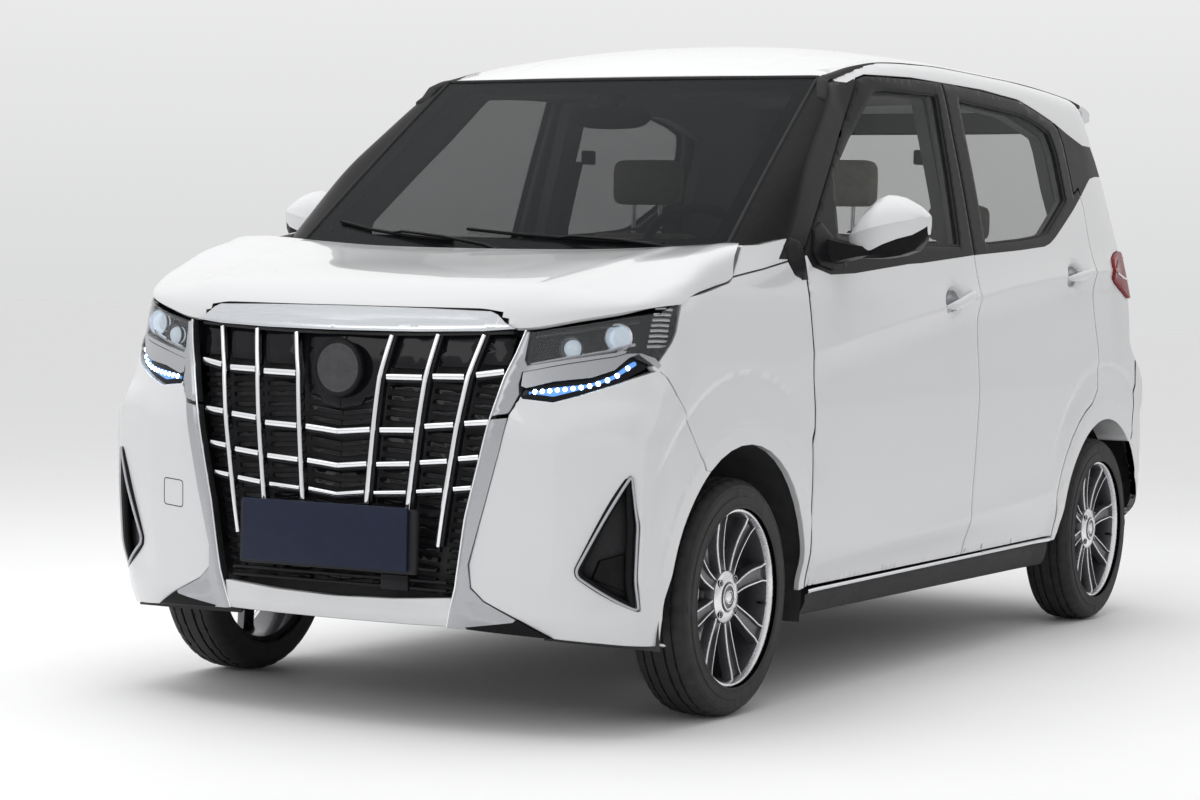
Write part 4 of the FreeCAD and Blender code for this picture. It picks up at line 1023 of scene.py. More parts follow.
def door_bag(outline, core, glass, tag):
    b = Bag()
    panel(b, door_p, rounded(grow(outline, -2.0), 5), [rounded(glass, 14)], d0=0.0, d1=20.0, r=2.2, step=15.0, mat=0,
          side_mat=3, back_mat=2, region=in_black, lines=CRE_L + SILL_L + FL + cup_lines + [black_line])
    low = [p for p in core if p[1] < 1085]
    # inner shell: door inner panel and the frame round the glass
    panel(b, lambda y, z, d: (side_x(y, z) - d, y, z), core, [grow(glass, 2.0)], d0=19.0, d1=lambda a, c: door_in(c),
          r=4.0, step=34.0, mat=2, side_mat=2, back_mat=2, edge_step=20.0)
    ys = [p[0] for p in low]
    y0, y1 = min(ys) + 90, max(ys) - 110
    # armrest, pull and pocket on the inner face
    block(b, 575, 628, y0 + 60, y1 - 40, 640, 690, 2, 16.0)
    block(b, 606, 634, y0 + 70, y1 - 120, 330, 440, 4, 12.0)
    block(b, 588, 640, y1 - 150, y1 - 60, 760, 790, 4, 8.0)
    return b


def both(bag, name, mats, body, node, **kw):
    for side, mir in (("left", False), ("right", True)):
        nn = [n.replace("#", side) for n in ([node] if isinstance(node, str) else node)]
        ob = bag.make(name + "_" + side, mats, body.replace("#", side), mirror=mir, replaces=nn if nn[0] else (), **kw)
    return ob


fdb = door_bag(FRONT_DOOR, CORE, FRONT_GLASS, "front")
both(fdb, "front_door_shell", PADS, "front_door_#", "front_door_#", slot="paint")
rdb = door_bag(REAR_DOOR, RCORE, REAR_GLASS, "rear")
both(rdb, "rear_door_shell", PADS, "rear_door_#", "rear_door_#", slot="paint")


# door glass with its rubber
def pane_bag(glass, extra=()):
    b = Bag()
    panel(b, lambda y, z, d: (side_x(y, z) - d, y, z), grow(rounded(glass, 14), -0.5), d0=9.0, d1=13.0, r=0.8, step=40.0,
          mat=0, edge_step=16.0)
    ring = resample(grow(rounded(glass, 14), -1.5), 12.0)
    tube(b, [(side_x(y, z) - 7.0, y, z) for y, z in ring], 4.5, mat=1, n=8, closed=True)
    for ln in extra:
        tube(b, [(side_x(y, z) - 7.0, y, z) for y, z in resample(ln, 30.0, closed=False)], 8.0, mat=1, n=8)
    return b


both(pane_bag(FRONT_GLASS), "front_door_glass", [GLASS, RUBBER], "front_door_#", "front_glass_#", slot="glass")
both(pane_bag(REAR_GLASS), "rear_door_glass", [GLASS, RUBBER], "rear_door_#", "rear_glass_#", slot="glass")


# handles: a body coloured grip across its hollow
def handle(cy, cz, tilt):
    b = Bag()
    t = math.radians(tilt)
    L = 96.0
    n, m = 26, 12
    vs, fs = [], []
    for i in range(n + 1):
        u = -L + 2 * L * i / n
        e = abs(u) / L
        out = 16.0 - 20.0 * e ** 6
        hh = (13.5 - 2.5 * e * e) * (1 - e ** 8 * 0.75)
        th = (7.5) * (1 - e ** 8 * 0.6)
        yy, zz = cy + 6 + u * math.cos(t), cz + 4 + u * math.sin(t)
        xs = side_x(yy, zz) + relief(yy, zz)
        for j in range(m):
            g = 2 * math.pi * j / m
            cx, sx = math.cos(g), math.sin(g)
            px = out + th * math.copysign(abs(cx) ** 0.7, cx)
            pv = hh * math.copysign(abs(sx) ** 0.7, sx)
            vs.append((xs + px, yy - pv * math.sin(t), zz + pv * math.cos(t)))
    for i in range(n):
        for j in range(m):
            fs.append((i * m + j, i * m + (j + 1) % m, (i + 1) * m + (j + 1) % m, (i + 1) * m + j))
    fs.append(tuple(range(m)))
    fs.append(tuple(reversed(range(n * m, n * m + m))))
    b.add(vs, fs, 0)
    return b


for tag in ("front", "rear"):
    (cy, cz), tilt = HANDLES[tag]
    for side, mir in (("left", False), ("right", True)):
        ob = handle(cy, cz, tilt).make("%s_door_handle_%s" % (tag, side), [PAINT], "%s_door_%s" % (tag, side), mirror=mir,
                                       slot="paint")
        auto_smooth(ob, 50)

# ---------------------------------------------------------------- fixed side: pillars, roof rail, quarter, sill
outline_doors = FRONT_DOOR[:FRONT_DOOR.index((306, 1543))] + REAR_DOOR[REAR_DOOR.index((600, 1540)):] + [(282, 268)]
HOLE = grow(outline_doors, 3.0)


def to_rear(pts, step=9.0):
    return [(rear_a(y, z), z) for y, z in resample(pts, step)]


def side_r(a, z, d):
    return rear_p(a, z, d)


def in_black_r(a, z):
    x, y, _ = rear_p(a, z, 0.0)
    return 1 if inside((y, z), BLACK) else 0


SIDE_CUT = [(-727, 262), (-738, 332), (-742, 404), (-742, 500), (-739, 595), (-745, 691), (-754, 786),
            (-767, 881), (-777, 950), (-778, 1000), (-790, 1064), (-758, 1100), (-640, 1196), (-516, 1300), (-340, 1449), (-348, 1510),
            (-299, 1534), (-59, 1577), (151, 1585), (416, 1589), (870, 1588), (1251, 1577), (1401, 1566), (1520, 1552),
            (1570, 1520), (1600, 1440), (1628, 1300), (1644, 1090), (1641, 790), (1593, 788), (1601, 640), (1561, 530)]
arch_part = arc(rear_y, arch_r, 51, 178, 26)
SIDE_OUT = SIDE_CUT + [p for p in arch_part if p[1] > 270] + [(985, 262)]
sb = Bag()
lamp_hole = rounded(grow(TAIL_LAMP, 1.5), 8)
# the lamp reaches the rear edge, so its hole (lampR below) is clipped short of that edge
OUTL = []
for p in resample(SIDE_OUT, 9.0):
    OUTL.append(p)
gate_x = curve([(600, 620), (660, 620), (950, 620), (1100, 624), (1300, 598), (1500, 548), (1552, 488)])
sideR = [(max(rear_a(y, z), rear_ax(gate_x(max(z, 660)), z)) if z > 700 and y > 1500 else rear_a(y, z), z) for y, z in OUTL]
holeR = [(rear_a(y, z), z) for y, z in resample(HOLE, 9.0)]
lampR = [(rear_a(y, z), z) for y, z in resample([(min(y, 1612), z) for y, z in lamp_hole], 9.0)]


def tosd(lines):
    return [[(rear_a(y, z), z) for y, z in ln] for ln in lines]


panel(sb, side_r, sideR, [holeR, lampR], d0=0.0, d1=lambda a, z: door_in(z) + 8.0, r=2.2, step=15.0, mat=0, side_mat=0,
      back_mat=2, region=in_black_r, lines=tosd(CRE_L + FL + [black_line]))
# pillars and inner rails
INN = [(-727, 200), (-738, 332), (-742, 500), (-745, 691), (-767, 881), (-777, 1066), (-770, 1100), (-345, 1470), (-340, 1500),
       (-299, 1524), (-59, 1565), (151, 1575), (1251, 1570), (1401, 1560), (1500, 1548), (1500, 800)] + \
      arc(rear_y, arch_r + 6, 62, 176, 14) + [(985, 200)]
inner = Bag()


def in_p(y, z, d):
    return (side_x(y, z) - door_in(z) - 8.0 - d, y, z)


panel(inner, in_p, INN, [grow(FRONT_DOOR, -48), grow(REAR_CORE, -48)], d0=0.0, d1=40.0, r=5.0, step=36.0, mat=1,
      side_mat=0, back_mat=0, edge_step=22.0)
sb.add(inner.v, inner.f, [2 if m == 0 else 4 for m in inner.m], inner.n)
both(sb, "body_side_shell", PADS, "body", "body_side_#", slot="paint")

# ---------------------------------------------------------------- front wing and scuttle corner
def to_front(pts, step=9.0):
    return [(front_a(y, z), z) for y, z in resample(pts, step)]


wb = Bag()
WING = [p for p in FENDER]
panel(wb, front_p, to_front(WING), d0=0.0, d1=16.0, r=2.2, step=15.0, mat=0, side_mat=0, back_mat=1,
      lines=[[(front_a(y, z), z) for y, z in ln] for ln in CRE_L + FL])
both(wb, "front_wing_shell", [PAINT, UNDER], "body", "front_wing_#", slot="paint")
cb = Bag()
COWLP = [(y, z + 3) for y, z in SEAM] + [(-787, 1063), (-822, 1086), (-822, 1100), (-998, 1077), (-1078, 1074), (-1120, 1040)]
panel(cb, front_p, to_front(COWLP), d0=0.0, d1=14.0, r=2.0, step=12.0, mat=0)
both(cb, "scuttle_corner", [PAINT], "body", "cowl_side_#", slot="paint")

# front wheel housing: a dark liner behind the wing
lb = Bag()
vs, fs = [], []
for i in range(33):
    a = math.radians(-14 + (208.0) * i / 32)
    for r, x in ((arch_f + 16, 706), (arch_f + 16, 560), (arch_f + 10, 412)):
        vs.append((x, front_y + r * math.cos(a), hub_z + r * math.sin(a)))
for i in range(32):
    for j in range(2):
        fs.append((i * 3 + j, i * 3 + j + 1, i * 3 + j + 4, i * 3 + j + 3))
lb.add(vs, fs, 0)
k = len(vs)
vs, fs = [(412, front_y, hub_z + 80)], []
for i in range(33):
    a = math.radians(-14 + 208.0 * i / 32)
    vs.append((412, front_y + (arch_f + 10) * math.cos(a), hub_z + (arch_f + 10) * math.sin(a)))
for i in range(32):
    fs.append((0, i + 1, i + 2))
lb.add(vs, fs, 0)
both(lb, "front_wheel_liner", [UNDER], "body", "")


# ---------------------------------------------------------------- front bumper
def round_nose(x, z, d):
    """point of the front face at plain x, for what is drawn in front view"""
    a = sec(z) + 3
    b, n = nose_b(z), nose_n(z)
    t = min(0.999, abs(x) / a)
    k = (1 - t ** n) ** (1 / n)
    y = b - (b - nose_y(z)) * k
    g = 1.0 / math.hypot(1.0, ((b - nose_y(z)) / a) * (t ** (n - 1)) / max(0.05, k ** (n - 1)))
    return (x * (1 - 0.0), y + d / max(0.55, g), z)


def fa(pts, step=9.0):
    return [(front_ax(x, z), z) for x, z in resample(pts, step)]


FRAME_IN = [(444, 876), (430, 826), (412, 776), (388, 684), (369, 601), (336, 466), (312, 314), (288, 227)]
FRAME_OUT = [(644, 832), (526, 804), (449, 786), (451, 736), (430, 694), (414, 619), (381, 493), (345, 366), (349, 316),
             (379, 288), (465, 247), (523, 216)]
VENT = [(687, 575), (580, 366), (583, 349), (688, 272), (699, 464)]
VENT_IN = [(684, 548), (597, 371), (686, 303)]
DRL = [(452, 730), (462, 747), (517, 763), (591, 773), (631, 791), (653, 820), (664, 828), (677, 816), (682, 800),
       (637, 765), (574, 739), (522, 723)]

low_edge = [(-10, 222), (300, 222), (520, 213), (620, 205), (700, 192), (712, 191)]


def bump_relief(a, z):
    """crease of the bumper corner and the soft shoulder under the lamp"""
    w = abs(a)
    c = 690.0 + 12 * smooth((z - 560) / 120.0)
    s = 0.0
    k = smooth((w - 560) / 120.0) * smooth((z - 262) / 60.0) * (1 - smooth((z - 735) / 50.0))
    # hollow face between the grille frame and the corner edge
    t = (w - 400) / (c - 400)
    if 0 < t < 1:
        s -= 9.0 * math.sin(math.pi * t) * smooth((z - 250) / 90.0) * (1 - smooth((z - 640) / 60.0))
        s += 5.0 * math.sin(math.pi * t) * smooth((z - 630) / 40.0) * (1 - smooth((z - 700) / 40.0))
    u = abs(w - c)
    if u < 60:
        s += 4.0 * k * (1 - u / 60.0) ** 2
    if z < 300:
        s += 3.0 * (1 - abs(z - 256) / 44.0) if abs(z - 256) < 44 else 0.0
    return s


def bump_p(a, z, d):
    if d < 6:
        e = bump_relief(a, z)
        return front_p(a, z, d - e)
    return front_p(a, z, d)


def side_low():
    """bumper outline in the nose's own lengths, from the middle round to the wheel opening"""
    out = []
    for x, z in resample([(0, 222), (300, 222), (520, 213), (620, 205), (668, 199)], 9.0, closed=False):
        out.append((front_ax(x, z), z))
    for y, z in resample([(-1452, 194), (-1430, 192), (-1453, 200)][:2], 9.0, closed=False):
        out.append((front_a(y, z), z))
    wa = [p for p in arc(front_y, arch_f, 192, 122, 26)]
    for y, z in wa:
        if z > 192:
            out.append((front_a(y, z), z))
    for y, z in resample([(-1333, 574), (-1371, 628), (-1420, 695), (-1462, 741), (-1486, 784), (-1509, 803)], 9.0,
                         closed=False):
        out.append((front_a(y, z), z))
    return out


lamp_low = [(703, 797), (640, 765), (560, 738), (470, 722), (432, 748)]
right_edge = side_low()
top_edge = fa_line = [(front_ax(x, z), z) for x, z in resample([(703, 797), (640, 765), (574, 739), (522, 723), (456, 729),
                                                              (451, 736)], 9.0, closed=False)]
frame_edge = [(front_ax(x, z), z) for x, z in resample([(430, 694), (414, 619), (381, 493), (345, 366), (349, 316),
                                                      (379, 288), (465, 247), (523, 216)], 9.0, closed=False)]
# white corner: from the frame's outer edge to the wheel opening
i0 = next(i for i, p in enumerate(right_edge) if p[0] > frame_edge[-1][0] + 6)
corner = right_edge[i0:] + top_edge + frame_edge
ventA = [(front_ax(x, z), z) for x, z in resample(rounded(VENT, 10), 8.0)]
fb = Bag()
crl = [[(690.0 + 12 * smooth((z - 560) / 120.0) + k, z) for z in range(262, 770, 12)] for k in (-14, 0, 14)]
crl += [[(a, 256 + k) for a in range(380, 900, 12)] for k in (-10, 0, 10)]
panel(fb, bump_p, corner, [ventA], d0=0.0, d1=22.0, r=2.2, step=14.0, mat=0, side_mat=0, back_mat=1, lines=crl + [
    [(front_a(y, z), z) for y, z in ln] for ln in FL[:4]])
# the same on the car's right
nv = len(fb.v)
nf = len(fb.f)
fb.add([(-v[0], v[1], v[2]) for v in fb.v], [tuple(reversed(f)) for f in fb.f], list(fb.m), [(-n[0], n[1], n[2]) for n in fb.n])
# lower bar under the grille
barlow = [(-303, 290), (-298, 226), (-200, 224), (0, 223), (200, 224), (298, 226), (303, 290), (150, 279), (0, 275),
          (-150, 279)]


def nose_p(x, z, d):
    return (x, front_face(x, z) + d, z)


def lowbar_p(x, z, d):
    e = 5.0 * (1 - min(1.0, abs(z - 244) / 30.0)) if d < 6 else 0.0
    return nose_p(x, z, d - e)


panel(fb, lowbar_p, barlow, d0=0.0, d1=20.0, r=3.0, step=14.0, mat=0, side_mat=0, back_mat=1,
      lines=[[(x, 244 + k) for x in range(-296, 297, 12)] for k in (-8, 0, 8)])
fbo = fb.make("front_bumper_shell", [PAINT, UNDER], "body", replaces=("front_bumper",), slot="paint")


# satin frames each side of the grille, with their folded feet
def frame_e(x, z):
    """the frame has a sharp fold: its inner strip faces the grille"""
    zz = [p[1] for p in FRAME_IN]
    xs = [p[0] for p in FRAME_IN]
    for i in range(len(zz) - 1):
        if zz[i] >= z >= zz[i + 1]:
            xi = xs[i] + (xs[i + 1] - xs[i]) * (zz[i] - z) / (zz[i] - zz[i + 1])
            break
    else:
        xi = xs[0] if z > zz[0] else xs[-1]
    d = x - xi
    k = 7.0 if z > 700 else 8.0
    return k * (1 - min(1.0, abs(d - 10) / (10.0 if d < 10 else 34.0)))


def frame_p(x, z, d):
    e = frame_e(x, z) if d < 6 else 0.0
    if z < 300 and d < 6:
        e += 8.0 * smooth((x - 305) / 70.0) * max(0.0, 1 - abs(z - (258 - (x - 300) * 0.16)) / 34.0)
    if d < 6:
        e += 2.5 * smooth((330 - z) / 60.0)
    return nose_p(x, z, d - e - 1.0)


fr = Bag()
upper = [(444, 874), (430, 826), (412, 776), (390, 689), (430, 697), (447, 738), (445, 760), (449, 786), (526, 804),
         (625, 824), (644, 831), (646, 838), (625, 832), (526, 813), (458, 800), (452, 812), (456, 872)]
panel(fr, frame_p, upper, d0=0.0, d1=20.0, r=1.2, step=9.0, mat=0, edge_step=7.0,
      lines=[[(FRAME_IN[i][0] + 10, FRAME_IN[i][1]) for i in range(4)]])
lower = [(388, 682), (369, 601), (336, 466), (312, 314), (288, 225), (523, 214), (465, 246), (379, 286), (349, 314),
         (345, 366), (381, 493), (414, 619), (428, 687)]
panel(fr, frame_p, lower, d0=0.0, d1=20.0, r=1.2, step=9.0, mat=0, edge_step=7.0, region=lambda x, z:
      1 if x > 335 and z < 222 + (x - 297) * 0.16 and z < 250 else 0,
      lines=[[(FRAME_IN[i][0] + 10, FRAME_IN[i][1]) for i in range(3, 8)], [(297, 222), (456, 247), (523, 216)]])
for side, mir in (("left", False), ("right", True)):
    fr.make("grille_frame_" + side, [SILVER, SATIN], "body", mirror=mir)
    # bright edge along the grille
    eb = Bag()
    path = [(x + 1.5, front_face(x, z) - 3.0, z) for x, z in resample(FRAME_IN[:4], 14, closed=False)]
    tube(eb, path, 2.6, 0, 8)
    path = [(x + 1.5, front_face(x, z) - 3.0, z) for x, z in resample(FRAME_IN[3:], 14, closed=False)]
    tube(eb, path, 2.6, 0, 8)
    eb.make("grille_edge_" + side, [CHROME], "body", mirror=mir)

# corner vents: a dark pocket with a raised rim
vb = Bag()


def pocket_p(a, z, d):
    return front_p(a, z, d)


panel(vb, pocket_p, [(p[0], p[1]) for p in [(front_ax(x, z), z) for x, z in resample(rounded(grow(VENT, 8), 10), 9.0)]],
      d0=34.0, d1=38.0, r=0.8, step=22.0, mat=0)
rim = [front_p(front_ax(x, z), z, 1.0) for x, z in resample(rounded(grow(VENT, -3), 10), 9.0)]
tube(vb, rim, 3.4, 2, 8, closed=True)
rim = [front_p(front_ax(x, z), z, 12.0) for x, z in resample(rounded(grow(VENT, -9), 8), 9.0)]
tube(vb, rim, 9.0, 1, 8, closed=True)
panel(vb, pocket_p, [(front_ax(x, z), z) for x, z in resample([(625, 345), (684, 318), (684, 400), (640, 385)], 8.0)],
      d0=24.0, d1=34.0, r=1.5, step=16.0, mat=1)
for side, mir in (("left", False), ("right", True)):
    vb.make("corner_vent_" + side, [PLASTIC, SATIN, SILVER], "body", mirror=mir)

# ---------------------------------------------------------------- grille
gb = Bag()


def grille_back(x, z, d):
    return nose_p(x, z, d)


panel(gb, grille_back, grow(GRILLE, -3.0), d0=44.0, d1=50.0, r=0.8, step=22.0, mat=1)


def bar_x(i, z):
    b = BARS[i]
    for k in range(len(b) - 1):
        if b[k][1] >= z >= b[k + 1][1]:
            return b[k][0] + (b[k + 1][0] - b[k][0]) * (b[k][1] - z) / (b[k][1] - b[k + 1][1])
    p, q = b[-2], b[-1]
    if z > b[0][1]:
        p, q = b[0], b[1]
    return p[0] + (q[0] - p[0]) * (p[1] - z) / (p[1] - q[1])


def edge_x(z):
    for k in range(len(GRILLE) // 2 - 1):
        (xa, za), (xb, zb) = GRILLE[k], GRILLE[k + 1]
        if za >= z >= zb:
            return -(xa + (xb - xa) * (za - z) / (za - zb))
    return 300.0


def slot_quad(x0a, x1a, za0, za1, x0b, x1b, zb0, zb1):
    pass


# tall gloss panels between the bars in the top row
def cell(bag, xa, xb, z0, z1, d0, d1, mat, r=2.5, tilt=0.0, sgn=1):
    """plate between two upright lines given as functions of height"""
    pts = []
    for z in (z0, (z0 + z1) / 2, z1):
        pts.append((sgn * xa(z), z + tilt * xa(z)))
    for z in (z1, (z0 + z1) / 2, z0):
        pts.append((sgn * xb(z), z + tilt * xb(z)))
    panel(bag, grille_back, pts, d0=d0, d1=d1, r=r, step=20.0, mat=mat, edge_step=12.0)


cols = [(lambda z: bar_x(2, z) + 11, lambda z: edge_x(z) - 8), (lambda z: bar_x(1, z) + 11, lambda z: bar_x(2, z) - 11),
        (lambda z: bar_x(0, z) + 11, lambda z: bar_x(1, z) - 11)]
for sgn in (1, -1):
    for ci, (xa, xb) in enumerate(cols):
        zt = (798, 791, 784)[ci]
        cell(gb, xa, xb, zt, 862, 24.0, 40.0, 0, sgn=sgn)
        # deep louvres: dark steps behind each row
        for z0 in range(306, 770, 23):
            if xb(z0) - xa(z0) > 12:
                cell(gb, xa, xb, z0, z0 + 11, 31.0 + (z0 % 3), 44.0, 0, r=1.5, sgn=sgn, tilt=-0.05)
# centre louvres in a shallow V
for z0 in range(306, 700, 23):
    for sgn in (1, -1):
        cell(gb, lambda z: 0.3, lambda z: bar_x(0, z) - 11, z0, z0 + 11, 30.0 + (z0 % 3), 44.0, 0, r=1.5, sgn=sgn, tilt=0.12)
# centre shield behind the round disc, folded at the middle
for sgn in (1, -1):
    pts = [(0.3 * sgn, 866), (112 * sgn, 862), (100 * sgn, 760), (92 * sgn, 722), (60 * sgn, 716), (52 * sgn, 700),
           (0.3 * sgn, 690)]

    def shield(x, z, d, s=sgn):
        return (x, front_face(x, z) + 20.0 + abs(x) * 0.12 + d, z)
    panel(gb, shield, pts, d0=0.0, d1=14.0, r=1.5, step=16.0, mat=2)
block(gb, -306, 306, -1652, -1640, 222, 312, 1, 3.0)
block(gb, -306, 306, -1656, -1600, 268, 276, 1, 2.0)
gb.make("grille_body", [GLOSS, RUBBER, GLOSS], "body", replaces=("grille",), slot="dark_gloss")

# round-cornered cover on the right half of the bumper
tc = Bag()
tube(tc, [front_p(front_ax(x, z), z, 0.3) for x, z in resample(rounded([(-492, 450), (-430, 446), (-430, 507), (-492, 511)], 9), 6.0)],
     1.2, 0, 6, closed=True)
tc.make("bumper_cover_line", [RUBBER], "body")

# plain disc at the middle
db = Bag()
yc = front_face(0, 781)
lathe(db, [(0, 66), (5, 66.5), (9, 65), (11, 61), (10.5, 57), (8.5, 55.5), (8.0, 54), (9.4, 40), (10.2, 20), (10.4, 0.2)],
      (0, yc + 8, 781), (0, -1, 0), n=72, mats=[0, 0, 0, 1, 1, 1, 2, 2, 2])
auto_smooth(db.make("grille_disc", [SATIN, GLOSS, LAMP_IN], "body"), 40)

# bright bars: ribs of rounded section that follow the grille
bb = Bag()


def rib(bag, pts, w, depth0, depth1, mat=0, taper=0.0):
    """rib with a rounded front along front-view points"""
    n = 8
    vs, fs = [], []
    for k, (x, z) in enumerate(pts):
        a = pts[max(0, k - 1)]
        b = pts[min(len(pts) - 1, k + 1)]
        l = math.dist(a, b)
        nx, nz = (b[1] - a[1]) / l, -(b[0] - a[0]) / l
        y = front_face(x, z)
        for j in range(n):
            t = math.pi * j / (n - 1)
            u = math.cos(t) * w
            dep = depth0 + (depth1 - depth0) * 0.0 - 3.2 * math.sin(t) ** 0.7
            vs.append((x + nx * u, y + dep, z + nz * u))
        vs.append((x - nx * w * 0.8, y + depth1, z - nz * w * 0.8))
        vs.append((x + nx * w * 0.8, y + depth1, z + nz * w * 0.8))
    m = n + 2
    for k in range(len(pts) - 1):
        for j in range(m):
            fs.append((k * m + j, k * m + (j + 1) % m, (k + 1) * m + (j + 1) % m, (k + 1) * m + j))
    fs.append(tuple(range(m)))
    fs.append(tuple(reversed(range((len(pts) - 1) * m, len(pts) * m))))
    bag.add(vs, fs, mat)


for i, b in enumerate(BARS):
    for sgn in (1, -1):
        pts = [(sgn * x, z) for x, z in resample(b, 16, closed=False)]
        rib(bb, pts, 5.6, 6.0, 24.0, 0)
        rib(bb, [(x + sgn * 8.2, z) for x, z in pts], 3.4, 13.0, 26.0, 1)
ob = bb.make("bright_bars", [CHROME, GLOSS], "body", replaces=("grille_bars",), slot="bright")
auto_smooth(ob, 50)

# bright segments between the bars
ROWS = [[(787, 776, 390, 342), (778, 762, 310, 243), (773, 758, 205, 124)],
        [(680, 666, 375, 330), (671, 658, 298, 237), (656, 640, 199, 116), (647, 634, 0, -1)],
        [(602, 590, 0, 0)], [(535, 524, 0, 0)]]


def zrow(r, x):
    """height of the row's centre line at x"""
    t = [curve([(0, 752), (124, 765), (205, 766), (243, 770), (310, 771), (366, 782), (400, 785)]),
         curve([(0, 640), (116, 648), (199, 651), (237, 664), (298, 667), (330, 672), (380, 676)]),
         curve([(0, 564), (110, 572), (190, 577), (230, 583), (290, 588), (320, 596), (370, 600)]),
         curve([(0, 500), (100, 508), (180, 513), (220, 518), (280, 524), (310, 529), (350, 533)])][r]
    return t(abs(x))


seg = Bag()
for r in range(4):
    z0 = (782, 671, 595, 528)[r]
    hh = (7.0, 6.6, 6.2, 5.6)[r]
    for sgn in (1, -1):
        for ci in range(3):
            xa, xb = cols[2 - ci]
            za = zrow(r, (xa(z0) + xb(z0)) / 2)
            x0, x1 = xa(za) + 2, xb(za) - 2
            if x1 - x0 < 12:
                continue
            pts = [(sgn * (x0 + (x1 - x0) * k / 6.0), zrow(r, x0) + (zrow(r, x1) - zrow(r, x0)) * k / 6.0) for k in range(7)]
            rib(seg, pts if sgn > 0 else pts, hh, 15.0, 32.0, 0)
            rib(seg, [(x, z - hh - 3.0) for x, z in pts], 3.2, 19.0, 34.0, 1)
    if r:
        x1 = bar_x(0, zrow(r, 60)) - 13
        for sgn in (1, -1):
            pts = [(sgn * (0.2 + (x1 - 0.2) * k / 5.0), zrow(r, 0) + (zrow(r, 105) - zrow(r, 0)) * k / 5.0) for k in range(6)]
            rib(seg, pts, hh, 15.0, 32.0, 0)
            rib(seg, [(x, z - hh - 3.0) for x, z in pts], 3.2, 19.0, 34.0, 1)
auto_smooth(seg.make("bright_segments", [CHROME, GLOSS], "body"), 50)

# bright strip along the bonnet's front edge
st = Bag()
STRIP2 = [(-424, 878), (-398, 892), (-378, 908), (-360, 915), (-200, 918), (0, 919), (200, 918), (360, 915), (378, 908),
          (398, 892), (424, 878), (350, 871), (200, 866), (0, 864), (-200, 866), (-350, 871)]


def strip_p(x, z, d):
    zl = 864 + 14 * (abs(x) / 424.0) ** 2
    e = 4.0 * (1 - min(1.0, abs(z - zl - 9) / 14.0)) if d < 5 else 0.0
    return nose_p(x, z, d - 5.0 - e)


panel(st, strip_p, STRIP2, d0=0.0, d1=22.0, r=1.6, step=10.0, mat=0, side_mat=0,
      lines=[[(x, 873 + 14 * (abs(x) / 424.0) ** 2) for x in range(-400, 401, 12)]])
st.make("bonnet_edge_strip", [STRIPM], "bonnet", replaces=("bonnet_strip",), slot="bright")

# thin dark gap piece under the strip
gp = Bag()
rib(gp, [(x, 858 + 13 * (abs(x) / 424.0) ** 2) for x in range(-415, 416, 18)], 4.0, 10.0, 30.0, 0)
gp.make("grille_top_gap", [RUBBER], "body")

# ---------------------------------------------------------------- number plate in its holder, left blank
pb = Bag()
block(pb, -232, 236, -1733, -1716, 338, 480, 1, 6.0)
block(pb, -218, 219, -1743.5, -1734, 345, 484, 0, 2.0)
auto_smooth(pb.make("front_plate_holder", [PLATE, PLASTIC], "body", replaces=("front_plate",), slot="plate"), 40)
# centre intake slats under the plate
ib = Bag()
for z0 in (300, 318):
    block(ib, -286, 286, -1683, -1672, z0, z0 + 7, 0, 2.0)
block(ib, 118, 190, -1690, -1676, 296, 334, 0, 4.0)
ib.make("lower_slats", [GLOSS], "body")


